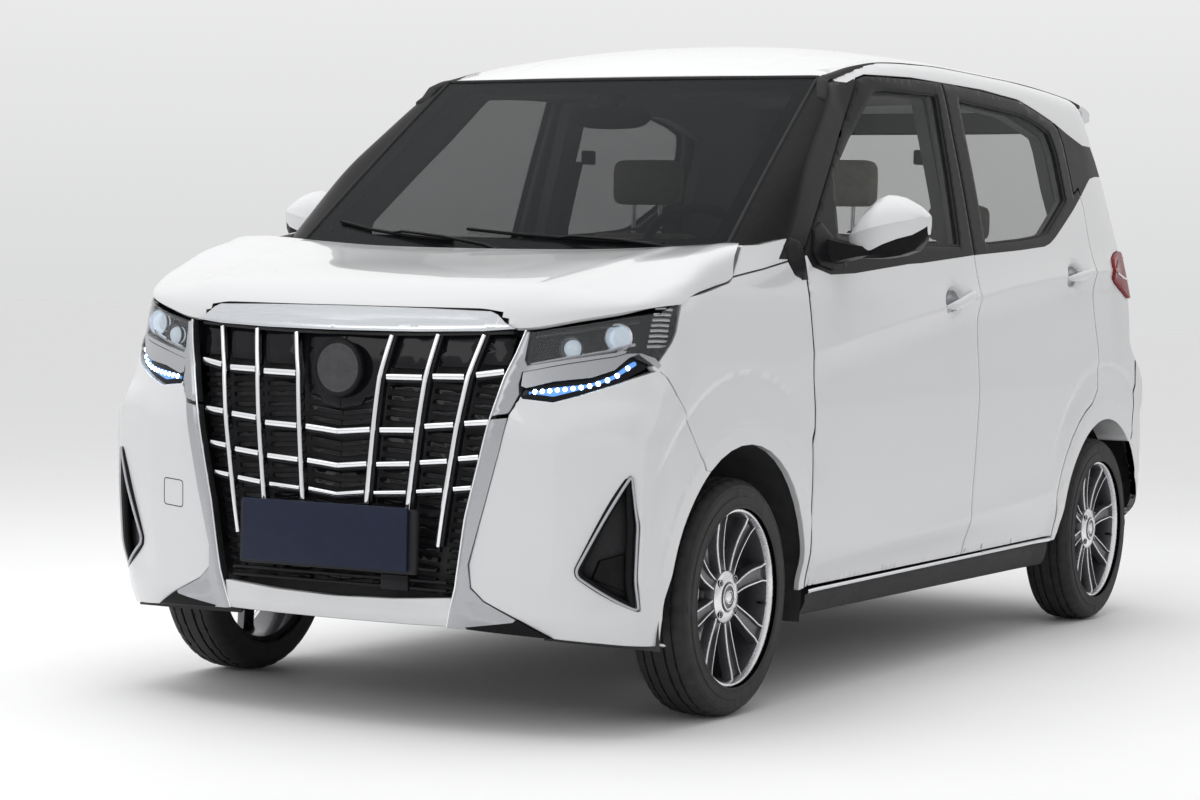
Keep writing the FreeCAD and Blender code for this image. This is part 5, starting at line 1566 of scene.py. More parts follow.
# ---------------------------------------------------------------- wheels
def wheel(tag, cy):
    left = tag.endswith("l")
    c = (646.0, cy, hub_z)
    b = Bag()
    # barrel and bright rim lip
    prof = [(60, 203.6), (63.5, 202.2), (64.2, 199.5), (63.2, 196.6), (59, 194.6), (50, 192.6), (36, 190.5), (10, 187.5),
            (-30, 186), (-56, 190), (-63, 200), (-60, 203.6)]
    lathe(b, prof, c, (1, 0, 0), n=112, mats=[0, 0, 0, 0, 0, 1, 1, 1, 1, 1, 1], closed=False)
    # spokes: wide ribs with a groove between two bright edges
    R0, R1 = 50.0, 194.0
    N = 15
    for k in range(8):
        th = math.radians(13 + 45 * k)
        rad = (0.0, math.cos(th), math.sin(th))
        tan = (0.0, -math.sin(th), math.cos(th))
        vs, fs, fm = [], [], []
        for i in range(N + 1):
            t = i / N
            r = R0 + (R1 - R0) * t
            w = 13.5 + 6.0 * smooth(t * 1.3) + 5.0 * max(0.0, t - 0.88) / 0.12
            face = 40.0 + 13.0 * t - 9.0 * math.sin(math.pi * t) * 0.6
            g = 0.25 + 0.75 * smooth((t - 0.02) / 0.3)
            dp = 9.0 * g
            e = 4.2
            sec_ = [(-w - 3.0, -24.0), (-w, -2.5), (-w + 0.7, -0.6), (-w + 2.0, 0.0), (-w + e, -0.4), (-w + e + 1.6, -dp),
                    (-0.30 * w, -dp - 1.5), (0.30 * w, -dp - 1.5), (w - e - 1.6, -dp), (w - e, -0.4), (w - 2.0, 0.0),
                    (w - 0.7, -0.6), (w, -2.5), (w + 3.0, -24.0)]
            sw = 4.0 * math.sin(math.pi * t)
            for u, h in sec_:
                u += sw
                vs.append((c[0] + face + h, c[1] + rad[1] * r + tan[1] * u, c[2] + rad[2] * r + tan[2] * u))
        m = 14
        for i in range(N):
            for j in range(m - 1):
                fs.append((i * m + j, (i + 1) * m + j, (i + 1) * m + j + 1, i * m + j + 1))
                fm.append(1 if j == 0 or j == 12 else 2 if 4 < j < 8 else 2 if j in (4, 8) else 0)
        b.add(vs, fs, fm)
    # hub with dished face
    lathe(b, [(40, 60), (42, 58), (44.5, 52), (46.5, 44), (47, 36), (45, 34), (43, 33.5)], c, (1, 0, 0), n=64, mats=[0] * 6)
    lathe(b, [(18, 66), (34, 64), (41, 60.5)], c, (1, 0, 0), n=64, mats=[1, 1])
    # centre cap, plain
    lathe(b, [(43, 33.5), (44.5, 31), (49.5, 30.5), (50.5, 28), (49.0, 25.5), (46.5, 24), (47.5, 17), (51.5, 15.5), (52.0, 13),
              (50.5, 11), (51.5, 6), (51.8, 0.2)], c, (1, 0, 0), n=56, mats=[2, 2, 0, 0, 2, 2, 0, 0, 2, 0, 0])
    # lug recesses: four dark slots
    for k in range(4):
        th = math.radians(47 + 90 * k)
        cc = (c[0] + 45.0, c[1] + 48 * math.cos(th), c[2] + 48 * math.sin(th))
        vs, fs = [], []
        n = 20
        rings = [(13.0, 9.5, 1.6), (11.6, 8.1, 1.8), (10.8, 7.4, -4.0), (0.2, 0.2, -6.0)]
        for ra, rb, h in rings:
            for j in range(n):
                g = 2 * math.pi * j / n
                u, v = ra * math.cos(g), rb * math.sin(g)
                vs.append((cc[0] + h, cc[1] + (-math.sin(th)) * v + math.cos(th) * u, cc[2] + math.cos(th) * v + math.sin(th) * u))
        for i in range(3):
            for j in range(n):
                fs.append((i * n + j, i * n + (j + 1) % n, (i + 1) * n + (j + 1) % n, (i + 1) * n + j))
        b.add(vs, fs, [0] * n + [3] * (2 * n))
        # nut
        lathe(b, [(-4, 6.2), (2.4, 6.0), (3.4, 4.4), (3.6, 0.2)], (cc[0], cc[1], cc[2]), (1, 0, 0), n=6, mat=1)
    # valve
    vth = math.radians(-9)
    tube(b, [(c[0] + 34, c[1] + 183 * math.cos(vth), c[2] + 183 * math.sin(vth)),
             (c[0] + 52, c[1] + 172 * math.cos(vth), c[2] + 172 * math.sin(vth))], 3.4, mat=3, n=10)
    # closed back of the hub, seen from inside the arch
    lathe(b, [(30, 64), (10, 60), (-2, 58), (-2, 22)], c, (1, 0, 0), n=48, mat=1)
    ob = b.make("wheel_rim_" + tag, [ALLOY, ALLOY_D, ALLOY_D, SATIN], "wheel_" + tag, mirror=not left, replaces=("rim_" + tag,),
                slot="alloy")
    auto_smooth(ob, 38)
    # tyre: rounded carcass with sidewall rings, shoulder sipes and a blocked tread
    tb = Bag()
    side = [(-72, 204), (-73.5, 207), (-72, 212), (-71.5, 226), (-71.2, 240), (-69.5, 250), (-66, 257.5), (-60, 264)]
    tread = [(-53, 268.5), (-44, 270.9), (-41.5, 270.9), (-41, 265.5), (-37, 265.5), (-36.5, 271.6), (-19, 272.2), (-18.5, 265.9),
             (-13, 265.9), (-12.5, 272.4), (12.5, 272.4), (13, 265.9), (18.5, 265.9), (19, 272.2), (36.5, 271.6), (37, 265.5),
             (41, 265.5), (41.5, 270.9), (44, 270.9), (53, 268.5)]
    out = [(60, 264), (65.5, 257.9), (66.2, 257.6), (67.2, 256.2), (69.6, 249.4), (70.0, 248.8), (69.2, 247.6), (70.0, 240),
           (70.2, 231.6), (71.8, 231.0), (72.4, 230.2), (72.6, 221), (72.8, 214), (72.0, 213.2), (73.6, 208.5), (72, 204.2)]
    prof = side + tread + out
    n = 168
    vs, fs = [], []
    for i in range(n):
        g = 2 * math.pi * i / n
        for q, (h, r) in enumerate(prof):
            rr_ = r
            # cross grooves on shoulders and blocks
            if 40 < abs(h) <= 61 and i % 4 == 0:
                rr_ -= 3.2
            elif 18.9 < abs(h) < 37 and r > 268 and (i + (2 if h > 0 else 0)) % 6 == 0:
                rr_ -= 3.0
            hh = h
            # plain raised panels on the outer wall
            if h > 66 and 231.2 < r < 248.9:
                seg_ = (i % 42)
                if seg_ in (0, 1):
                    hh = h + 1.4
            vs.append((c[0] + hh, c[1] + rr_ * math.cos(g), c[2] + rr_ * math.sin(g)))
    m = len(prof)
    for i in range(n):
        k = (i + 1) % n
        for j in range(m - 1):
            fs.append((i * m + j, i * m + j + 1, k * m + j + 1, k * m + j))
    tb.add(vs, fs, 0)
    tob = tb.make("tyre_detail_" + tag, [TYRE], "wheel_" + tag, mirror=not left, replaces=("tyre_" + tag,), slot="tyre")
    auto_smooth(tob, 32)


wheel("fl", front_y)
wheel("fr", front_y)
wheel("rl", rear_y)
wheel("rr", rear_y)

# brakes: disc with a grooved edge and bright caliper on the knuckles
for side, mir in (("left", False), ("right", True)):
    b = Bag()
    c = (0, front_y, hub_z)
    lathe(b, [(634.5, 60), (634.5, 121.5), (636, 122.6), (638.4, 122.6), (638.4, 118), (641.6, 118), (641.6, 122.6),
              (645.4, 122.6), (646.4, 121), (646.4, 74), (652, 70), (653, 62), (653, 26)], c, (1, 0, 0), n=72, mat=0)
    # caliper: arc block over the disc
    vs, fs = [], []
    n = 14
    for i in range(n + 1):
        a = math.radians(118 + 50.0 * i / n)
        e = min(1.0, min(i, n - i) / 2.0 + 0.55)
        for h, r in ((612, 84), (610, 126), (618, 134), (650, 133.5 * 1), (659, 127), (660, 92), (655, 84)):
            rr_ = 106 + (r - 106) * e
            vs.append((h, front_y + rr_ * math.cos(a), hub_z + rr_ * math.sin(a)))
    for i in range(n):
        for j in range(7):
            fs.append((i * 7 + j, (i + 1) * 7 + j, (i + 1) * 7 + (j + 1) % 7, i * 7 + (j + 1) % 7))
    fs.append(tuple(range(7)))
    fs.append(tuple(reversed(range(n * 7, n * 7 + 7))))
    b.add(vs, fs, 1)
    for a in (132, 154):
        g = math.radians(a)
        lathe(b, [(659, 13), (663.5, 12.5), (664.5, 10.5), (664.5, 0.3)], (0, front_y + 109 * math.cos(g), hub_z + 109 * math.sin(g)),
              (1, 0, 0), n=24, mat=1)
    ob = b.make("front_brake_" + side, [DISC, SILVER], "knuckle_" + side, mirror=mir)
    auto_smooth(ob, 35)
    b = Bag()
    c = (0, rear_y, hub_z)
    lathe(b, [(600, 92), (604, 97), (640, 97.5), (645, 95), (647, 88), (647, 60), (652, 56), (652, 24)], c, (1, 0, 0), n=64, mat=0)
    for k in range(24):
        g = 2 * math.pi * k / 24
        block(b, 608, 640, rear_y - 1.5, rear_y + 1.5, hub_z + 95, hub_z + 101, 0, 0.0,
              M=Matrix.Translation((0, rear_y, hub_z)) @ Matrix.Rotation(g, 4, 'X') @ Matrix.Translation((0, -rear_y, -hub_z)))
    auto_smooth(b.make("rear_drum_" + side, [CAST], "body", mirror=mir), 35)


# ---------------------------------------------------------------- door mirrors
def loft(bag, rows, mats=0, closed=True, caps=True):
    m = len(rows[0])
    vs = [p for row in rows for p in row]
    fs, fm = [], []
    for i in range(len(rows) - 1):
        for j in range(m if closed else m - 1):
            fs.append((i * m + j, i * m + (j + 1) % m, (i + 1) * m + (j + 1) % m, (i + 1) * m + j))
            fm.append(mats(i, j) if callable(mats) else mats)
    if caps and closed:
        fs.append(tuple(reversed(range(m))))
        fm.append(mats(0, 0) if callable(mats) else mats)
        k = (len(rows) - 1) * m
        fs.append(tuple(range(k, k + m)))
        fm.append(mats(0, 0) if callable(mats) else mats)
    bag.add(vs, fs, fm)


mb = Bag()
# cross sections along x, from the door outwards: front edge, roof ridge, waist crease, black base
stations = [(736, -600, -546, 1116, 1103, 1082, 1066), (748, -614, -534, 1138, 1110, 1076, 1058),
            (772, -624, -527, 1170, 1118, 1072, 1055), (804, -628, -524, 1200, 1127, 1074, 1055),
            (832, -627, -524, 1211, 1134, 1088, 1056), (868, -621, -526, 1202, 1142, 1102, 1062),
            (902, -608, -532, 1183, 1149, 1112, 1074), (923, -593, -542, 1166, 1155, 1126, 1098),
            (931, -580, -552, 1158, 1153, 1134, 1114)]
rows = []
for x, yf, yb, zt, zc, zs, zb in stations:
    ym = (yf + yb) / 2
    h = yb - yf
    rows.append([(x, yb, zc), (x, yb - 0.02 * h, zt - 0.30 * (zt - zc)), (x, yb - 0.10 * h, zt - 0.06 * (zt - zc)),
                 (x, ym + 0.2 * h, zt), (x, ym - 0.1 * h, zt - 0.05 * (zt - zc)), (x, yf + 0.16 * h, zt - 0.34 * (zt - zc)),
                 (x, yf + 0.05 * h, zc + 0.30 * (zt - zc)), (x, yf, zc), (x, yf + 0.012 * h, zc - 2.5),
                 (x, yf + 0.035 * h, zs + 0.35 * (zc - zs)), (x, yf + 0.06 * h, zs), (x, yf + 0.085 * h, zs - 1.5),
                 (x, yf + 0.12 * h, zb + 0.4 * (zs - zb)), (x, yf + 0.24 * h, zb), (x, ym, zb - 1), (x, yb - 0.16 * h, zb + 1),
                 (x, yb - 0.03 * h, zs - 1.5), (x, yb, zs)])


def mm(i, j):
    return 0 if j < 10 or j == 17 else 1


loft(mb, rows, mats=lambda i, j: 0 if j <= 9 or j >= 16 else 1)
# mirror glass on the rear face
ring_ = rounded([(768, 1098), (906, 1112), (910, 1158), (850, 1188), (800, 1180), (764, 1140)], 16)
vs = [(x, -523.4, z) for x, z in ring_]
mb.add(vs, [tuple(range(len(vs)))], 2)
# foot and arm
arm = []
for t, z0, z1, y0, y1 in ((0.0, 1034, 1104, -668, -562), (0.35, 1044, 1094, -650, -560), (0.7, 1053, 1088, -636, -558), (1.0, 1058, 1086, -622, -552)):
    x = side_x(-610, 1070) - 4 + (800 - side_x(-610, 1070)) * t
    arm.append([(x, y0, (z0 + z1) / 2), (x, y0 + 8, z1 - 4), (x, (y0 + y1) / 2, z1), (x, y1 - 8, z1 - 4), (x, y1, (z0 + z1) / 2),
                (x, y1 - 8, z0 + 4), (x, (y0 + y1) / 2, z0), (x, y0 + 8, z0 + 4)])
loft(mb, arm, mats=1)
panel(mb, lambda y, z, d: (side_x(y, z) - d, y, z), [(-742, 1062), (-716, 1036), (-640, 1024), (-560, 1032), (-556, 1088), (-600, 1096),
                                                    (-668, 1140), (-722, 1118)], d0=-7.0, d1=1.0, r=4.0, step=14.0, mat=1)
for side, mir in (("left", False), ("right", True)):
    ob = mb.make("mirror_shell_" + side, [PAINT, SATIN, CHROME], "front_door_" + side, mirror=mir, replaces=("door_mirror_" + side,),
                 slot="mirror_shell")
    auto_smooth(ob, 28)

# ---------------------------------------------------------------- headlamps
def lamp_p(a, z, d):
    return front_p(a, z, d)


L2 = [(452, 872), (560, 891), (713, 926), (735, 938), (735, 800), (703, 797), (676, 788), (640, 765), (560, 738), (470, 722),
      (452, 728), (446, 790)]
REARY = [(951, -1416), (940, -1421), (910, -1434), (879, -1443), (855, -1456), (828, -1480), (800, -1503)]
rear_line = [(front_a(y + 3.0 - 6.0, z), z) for z, y in REARY]
top_line = [(front_ax(x, z), z) for x, z in resample([(454, 871), (560, 891), (690, 919)], 9.0, closed=False)]
# clear cover: from the grille frame to the wing
low_line = [(front_ax(x, z), z) for x, z in resample([(668, 816), (645, 832), (625, 827), (526, 808), (456, 791)], 9.0, closed=False)]
cover = top_line + [(front_a(-1424, 946), 946)] + [(front_a(y - 2.0, z), z) for z, y in REARY[1:6]] + [(front_a(-1512, 806), 806)] + low_line
hl = Bag()
panel(hl, lamp_p, cover, d0=1.0, d1=4.0, r=0.9, step=16.0, mat=0)
# dark housing behind it
hb = Bag()
hin = grow(cover, -3.0)
panel(hb, lamp_p, hin, d0=44.0, d1=48.0, r=0.8, step=20.0, mat=0)
# sloped inner walls along the cover's border
loopc = resample(grow(cover, -2.0), 10.0)
n = len(loopc)
vs, fs = [], []
for k, (a, z) in enumerate(loopc):
    vs.append(lamp_p(a, z, 5.0))
    vs.append(lamp_p(a, z, 45.0))
for k in range(n):
    j = (k + 1) % n
    fs.append((2 * k, 2 * k + 1, 2 * j + 1, 2 * j))
hb.add(vs, fs, 0)


def bowl(bag, x, z, r, depth, m1, m2, inset=26.0):
    """round reflector with a lens, facing forwards"""
    y = front_face(x, z)
    ax = Vector((0.16, -1.0, 0.04)).normalized()
    o = (x, y + inset, z)
    lathe(bag, [(3.0, r + 5), (5.0, r + 4), (5.0, r + 1), (2, r)], o, ax, n=40, mat=m2)
    lathe(bag, [(2, r), (-6, r * 0.93), (-14, r * 0.75), (-20, r * 0.5)], o, ax, n=40, mat=m2)
    lathe(bag, [(-14, r * 0.86), (-4, r * 0.84), (2, r * 0.74), (6.5, r * 0.52), (8.5, r * 0.25), (9.0, 0.2)], o, ax, n=40, mat=m1)


bowl(hb, 618, 864, 27.0, 20.0, 1, 2)
bowl(hb, 531, 838, 23.0, 18.0, 1, 3)
# ribbed clear reflector in the outer corner
for k in range(9):
    t = k / 8.0
    z = 846 + 92 * t
    x0, x1 = 680 + 4 * t, 706
    y0 = front_face(x0, z)
    p0, p1 = front_p(front_ax(x0 + 1, z), z, 16.0), front_p(front_ax(x1, z), z, 13.0)
    tube(hb, [p0, ((p0[0] + p1[0]) / 2, (p0[1] + p1[1]) / 2 - 2, z + 1), p1], 4.2, mat=2, n=8)
# inner brow
tube(hb, [front_p(front_ax(x, z), z, 22.0) for x, z in resample([(462, 862), (560, 878), (668, 900)], 14, closed=False)], 5.0, mat=3, n=8)
tube(hb, [front_p(front_ax(x, z), z, 20.0) for x, z in resample([(462, 800), (530, 815), (620, 834), (664, 850)], 14, closed=False)], 5.0,
     mat=2, n=8)
for side, mir in (("left", False), ("right", True)):
    hl.make("headlamp_cover_" + side, [LENS], "body", mirror=mir, replaces=("headlamp_" + side,), slot="lens")
    auto_smooth(hb.make("headlamp_inside_" + side, [GLOSS, PROJ, LAMP_BR, LAMP_IN], "body", mirror=mir), 40)

# satin divider between the two lamps and the running lamp below it
dv = Bag()
DIV = [(449, 787), (526, 805), (625, 824), (645, 831), (668, 815), (674, 822), (688, 818), (700, 800), (690, 806), (678, 818), (662, 830),
       (652, 822), (629, 794), (590, 777), (517, 767), (462, 751), (449, 752)]
DIV = [(449, 786), (526, 803), (625, 823), (646, 831), (668, 832), (690, 822), (701, 806), (697, 799), (684, 812), (664, 830), (650, 822),
       (629, 795), (590, 778), (517, 768), (461, 752), (449, 756)]
panel(dv, front_p, [(front_ax(x, z), z) for x, z in resample(DIV, 7.0)], d0=-1.0, d1=20.0, r=1.2, step=9.0, mat=0, edge_step=6.0)
dl = Bag()
DR = [(front_ax(x, z), z) for x, z in resample(rounded(grow(DRL, 3.0), 6), 7.0)]
panel(dl, front_p, DR, d0=10.0, d1=34.0, r=0.8, step=14.0, mat=0)
inn = [(466, 741), (518, 754), (592, 764), (632, 783), (655, 808), (664, 815), (668, 806), (632, 773), (572, 750), (522, 735)]
panel(dl, front_p, [(front_ax(x, z), z) for x, z in resample(rounded(inn, 5), 6.0)], d0=6.0, d1=16.0, r=2.0, step=9.0, mat=1,
      edge_step=6.0)
for k in range(12):
    t = k / 11.0
    x = 482 + 172 * t
    z = curve([(470, 743), (520, 748), (592, 760), (640, 784), (660, 806)])(x)
    y = front_p(front_ax(x, z), z, 2.0)
    lathe(dl, [(0, 5.6), (3.0, 4.8), (4.6, 2.6), (5.0, 0.2)], front_p(front_ax(x, z), z, 8.0), (0.25, -1, 0.1), n=14, mat=2)
for side, mir in (("left", False), ("right", True)):
    dv.make("lamp_divider_" + side, [SILVER], "body", mirror=mir)
    dl.make("running_lamp_" + side, [GLOSS, LEDBODY, LED], "body", mirror=mir)

# ---------------------------------------------------------------- bonnet with finer surface and underside
hd = Bag()
us_ = [w / 90.0 for w in range(0, 82)] + [0.9 + 0.1 * k / 14.0 for k in range(15)]
us_ = sorted(set([round(u, 4) for u in us_]))
ts_ = [0, .004, .012, .022, .035, .05, .07, .09, .115, .14, .17, .2, .24, .28, .33, .38, .43, .48, .54, .6, .66, .72, .78, .84, .9, .95, .985, 1.0]


def hood_fine(u, t, d):
    x, y, z = hood_pt(abs(u), t, d)
    if d < 3:
        # two long shallow ridges and the raised middle
        w = abs(u)
        rdg = 0.62 + 0.10 * t
        z += 3.5 * math.exp(-((w - rdg) / 0.035) ** 2) * smooth(t / 0.12) * smooth((1 - t) / 0.1)
        z += 3.0 * smooth((rdg - w) / 0.05) * smooth(t / 0.15) * smooth((1 - t) / 0.15)
    return (x if u >= 0 else -x, y, z)


uu_ = [-u for u in us_[:0:-1]] + us_
nu, nt_ = len(uu_), len(ts_)
for layer, d in ((0, 0.0), (1, 14.0)):
    vs = [hood_fine(u, t, d) for u in uu_ for t in ts_]
    fs = []
    for i in range(nu - 1):
        for j in range(nt_ - 1):
            q = (i * nt_ + j, (i + 1) * nt_ + j, (i + 1) * nt_ + j + 1, i * nt_ + j + 1)
            cx = sum(vs[k][0] for k in q) / 4
            cz = sum(vs[k][2] for k in q) / 4
            cy = sum(vs[k][1] for k in q) / 4
            lim = 881 + 39 * smooth((427 - abs(cx)) / 62.0)
            if abs(cx) < 427 and cz < lim and cy < -1500:
                continue
            fs.append(q if layer == 0 else tuple(reversed(q)))
    if layer:
        hd.add(vs, fs, 1)
    else:
        hd.add(vs, fs, 0)
k0 = nu * nt_
edge = [(0, j) for j in range(nt_)] + [(i, nt_ - 1) for i in range(nu)] + [(nu - 1, j) for j in range(nt_ - 1, -1, -1)] + \
       [(i, 0) for i in range(nu - 1, -1, -1)]
fs = []
for a_, b_ in zip(edge, edge[1:]):
    i, j = a_[0] * nt_ + a_[1], b_[0] * nt_ + b_[1]
    x, y, z = hood_fine(uu_[a_[0]], ts_[a_[1]], 0.0)
    if i != j and not (abs(x) < 425 and y < -1500):
        fs.append((i, k0 + i, k0 + j, j))
hd.f += fs
hd.m += [0] * len(fs)
# inner ribs under the bonnet
for x in (-300, 0, 300):
    block(hd, x - 22, x + 22, -1500, -1120, hood_pt(abs(x) / 713.0, 0.5, 14.0)[2] - 26, hood_pt(abs(x) / 713.0, 0.5, 14.0)[2] - 6, 1, 6.0)
hd.n = [None] * len(hd.v)
auto_smooth(hd.make("bonnet_skin", [PAINT, TRIM], "bonnet", replaces=("bonnet",), slot="paint"), 40)

# ---------------------------------------------------------------- windscreen, its dark border, wipers, cowl
ws = Bag()


def ws_p(u, t, d):
    return screen_pt(u / 600.0, t / 480.0, d)


panel(ws, ws_p, [(-597, 3), (597, 3), (597, 477), (-597, 477)], d0=0.5, d1=5.0, r=0.8, step=30.0, mat=0, edge_step=16.0)
ws.make("windscreen_glass", [SCREEN], "body", replaces=("windscreen",), slot="glass")
wf = Bag()
outer_w = [(-596, 4), (596, 4), (596, 476), (-596, 476)]
inner_w = rounded([(-556, 46), (556, 46), (552, 448), (440, 452), (110, 452), (70, 436), (-70, 436), (-110, 452), (-440, 452),
                   (-552, 448)], 26)
panel(wf, ws_p, outer_w, [inner_w], d0=6.0, d1=7.2, r=0.3, step=16.0, mat=0)
wf.make("windscreen_border", [FRIT], "body")
rb_ = Bag()
edge_w = resample([(-601, 0), (601, 0), (601, 481), (-601, 481)], 18.0)
tube(rb_, [ws_p(u, t, 2.0) for u, t in edge_w], 5.5, mat=0, n=8, closed=True)
rb_.make("windscreen_seal", [RUBBER], "body")

# scuttle panel between bonnet and glass
cw = Bag()
rows = []
for i in range(41):
    x = -640 + 32 * i
    xa = abs(x)
    yr = rear_row(min(xa, 690)) + 3
    u = max(-1.0, min(1.0, x / 600.0))
    zt_ = 1052 + 18 * smooth((xa - 420) / 200.0)
    yg = screen_y(x, zt_ + 8) - 3
    row = []
    for k, (f, dz) in enumerate(((0.0, -16), (0.0, 0), (0.3, 5), (0.7, 4), (0.96, 8), (1.0, 14))):
        row.append((x, yr + (max(yg, yr + 18) - yr) * f, zt_ + dz - 10))
    rows.append(row)
loft(cw, rows, mats=0, closed=False)
for x in range(-420, 421, 20):
    yr = rear_row(abs(x)) + 12
    block(cw, x - 6, x + 6, yr, yr + 16, 1043, 1049, 1, 1.5)
auto_smooth(cw.make("scuttle_grille", [PLASTIC, RUBBER], "body"), 40)


def on_screen(x, z, up):
    return (x, screen_y(x, z) - up, z)


wp = Bag()
for name_, px, pts in (("a", 470, [(440, 1076), (260, 1081), (60, 1092), (-110, 1105)]),
                       ("b", -60, [(-130, 1076), (-260, 1085), (-400, 1101), (-515, 1121)])):
    # blade along the glass
    bl = [on_screen(x, z, 9.0) for x, z in resample(pts, 24, closed=False)]
    tube(wp, bl, 4.2, mat=0, n=8)
    tube(wp, [(p[0], p[1] + 5.5, p[2] - 0.5) for p in bl], 1.8, mat=1, n=6)
    mid_ = bl[len(bl) // 2]
    piv = (px + 70 if name_ == "a" else px + 80, -1052, 1054)
    arm_ = [piv, (piv[0] - 40, piv[1] + 4, piv[2] + 12), ((piv[0] + mid_[0]) / 2, (piv[1] + mid_[1]) / 2 - 8, (piv[2] + mid_[2]) / 2 + 12),
            (mid_[0] + 40, mid_[1] - 8, mid_[2] + 4), mid_]
    tube(wp, arm_, lambda t: 7.5 - 3.5 * t, mat=0, n=8, flat=0.7)
    lathe(wp, [(-14, 15), (2, 14), (7, 10), (8, 0.3)], piv, (0, -0.3, 1), n=24, mat=0)
auto_smooth(wp.make("wiper_set", [SATIN, RUBBER], "body", replaces=("wipers",), slot="dark_plastic"), 50)


# ---------------------------------------------------------------- roof, its dark side strips, pillar covers
rf = Bag()
ru = [-1 + 2 * i / 64.0 for i in range(65)]
rt = [0, .004, .01, .02, .035, .055, .08] + [0.08 + 0.92 * i / 60.0 for i in range(1, 61)]


def roof_fine(u, t, d):
    x, y, z = roof_pt(u, t, d)
    if d < 3:
        z -= 2.2 * math.exp(-((abs(u) - 0.66) / 0.03) ** 2) * smooth(t / 0.1) * smooth((1 - t) / 0.06)
        z -= 5.0 * smooth((abs(u) - 0.965) / 0.035) + 2.0 * (1 - smooth(t / 0.006))
    return (x, y, z)


n1, n2 = len(ru), len(rt)
for layer, d in ((0, 0.0), (1, 30.0)):
    vs = [roof_fine(u * (0.97 if layer else 1.0), t, d) for u in ru for t in rt]
    fs = [(i * n2 + j, (i + 1) * n2 + j, (i + 1) * n2 + j + 1, i * n2 + j + 1) for i in range(n1 - 1) for j in range(n2 - 1)]
    rf.add(vs, fs if layer == 0 else [tuple(reversed(f)) for f in fs], layer)
k0 = n1 * n2
edge = [(0, j) for j in range(n2)] + [(i, n2 - 1) for i in range(n1)] + [(n1 - 1, j) for j in range(n2 - 1, -1, -1)] + \
       [(i, 0) for i in range(n1 - 1, -1, -1)]
for a_, b_ in zip(edge, edge[1:]):
    i, j = a_[0] * n2 + a_[1], b_[0] * n2 + b_[1]
    if i != j:
        rf.f.append((i, k0 + i, k0 + j, j))
        rf.m.append(0)
auto_smooth(rf.make("roof_skin", [PAINT, HEADL], "body", replaces=("roof_panel",), slot="paint"), 42)
def screen_rim(x, y):
    z = 1500.0
    for _ in range(30):
        z -= (screen_y(x - 14, z) - y) * 0.5
    return z - 2.0


for side, mir in (("left", False), ("right", True)):
    # side strip: wide at the screen, narrow behind
    dt_ = Bag()
    mid_ = [(588, -458, screen_rim(588, -458), 13.0), (580, -440, screen_rim(580, -440), 14.0), (572, -421, 1491.5, 14.5),
            (565, -404, 1500.0, 14.5), (560, -388, 1507.0, 14.0), (557, -370, 1512.0, 13.0)]
    for k in range(1, 80):
        y = -370 + 24.0 * k
        if y < 1525:
            mid_.append((556.5, y, roof_top(556.5, y) - 1.5 - 5.0 * smooth((y + 330) / 260.0), 13.0 - 9.0 * smooth((y + 350) / 300.0)))
    rows = []
    for x, y, z, w in mid_:
        rows.append([(x - w, y, z - 1.0), (x - w * 0.7, y, z + 2.5), (x, y, z + 3.2), (x + w * 0.7, y, z + 2.2), (x + w, y, z - 1.5),
                     (x + w, y, z - 9), (x - w, y, z - 9)])
    loft(dt_, rows, mats=0)
    auto_smooth(dt_.make("roof_strip_" + side, [RUBBER], "body", mirror=mir), 60)
    # cover of the front pillar, from the glass round to the door frame
    ap = Bag()
    rows = []
    ed = curve([(1020, -812), (1063, -790), (1105, -742), (1303, -502), (1480, -283), (1513, -242)])
    for i in range(41):
        z = 1046 + (1500 - 1046) * i / 40.0
        lo = 1 - smooth((z - 1050) / 260.0)
        xs_ = 617 - 50 * (z - 1077) / 436.0 - 26
        ys0 = screen_y(xs_, z)
        yd = ed(z) - 5
        yq = ys0 + 24 + 70 * lo
        q = (side_x(yq, z) + 0.9, yq)
        c0 = (xs_ - 3, ys0 + 0.5)
        c1 = (side_x(ys0 + 16, z) + 0.6 - 26 * lo, ys0 + 3 + 8 * lo)
        row = []
        for k in range(9):
            t = k / 8.0
            row.append(((1 - t) ** 2 * c0[0] + 2 * t * (1 - t) * c1[0] + t * t * q[0],
                        (1 - t) ** 2 * c0[1] + 2 * t * (1 - t) * c1[1] + t * t * q[1], z))
        for k in range(1, 7):
            y = yq + (yd - yq) * k / 6.0
            row.append((side_x(y, z) + 0.9, y, z))
        row += [(side_x(yd, z) - 18, yd, z), (side_x(yq, z) - 34, yq + 8, z), (xs_ - 3, ys0 + 24, z)]
        rows.append(row)
    loft(ap, rows, mats=0)
    # black foot in front of the door
    panel(ap, front_p, [(front_a(y, z), z) for y, z in resample([(-884, 1076), (-872, 1036), (-852, 1010), (-816, 998), (-783, 1000),
          (-783, 1062), (-800, 1090), (-850, 1098)], 9.0)], d0=-2.0, d1=3.0, r=2.0, step=14.0, mat=0)
    auto_smooth(ap.make("front_pillar_cover_" + side, [SATIN], "body", mirror=mir), 50)

# ---------------------------------------------------------------- tailgate
def gate_p(a, z, d):
    zz = max(z, 838.0)
    w = abs(a)
    if w < ARC:
        x, y, _ = rear_point(w / ARC, zz, min(d, 60.0), 1300.0)
    else:
        e = tail_y(zz) - tail_d(zz)
        y = e - (w - ARC)
        x = side_x(y, zz) - d
    if d < 5:
        # shallow shoulder under the glass and a recess for the plate
        y += 3.0 * math.exp(-((z - 1052) / 16.0) ** 2)
        y -= 7.0 * smooth((z - 772) / 14.0) * smooth((985 - z) / 14.0) * smooth((232 - abs(x)) / 14.0)
    return (x if a >= 0 else -x, y, z)


def ga(pts, step=9.0):
    return [(rear_ax(x, max(z, 838.0)), z) for x, z in resample(pts, step)]


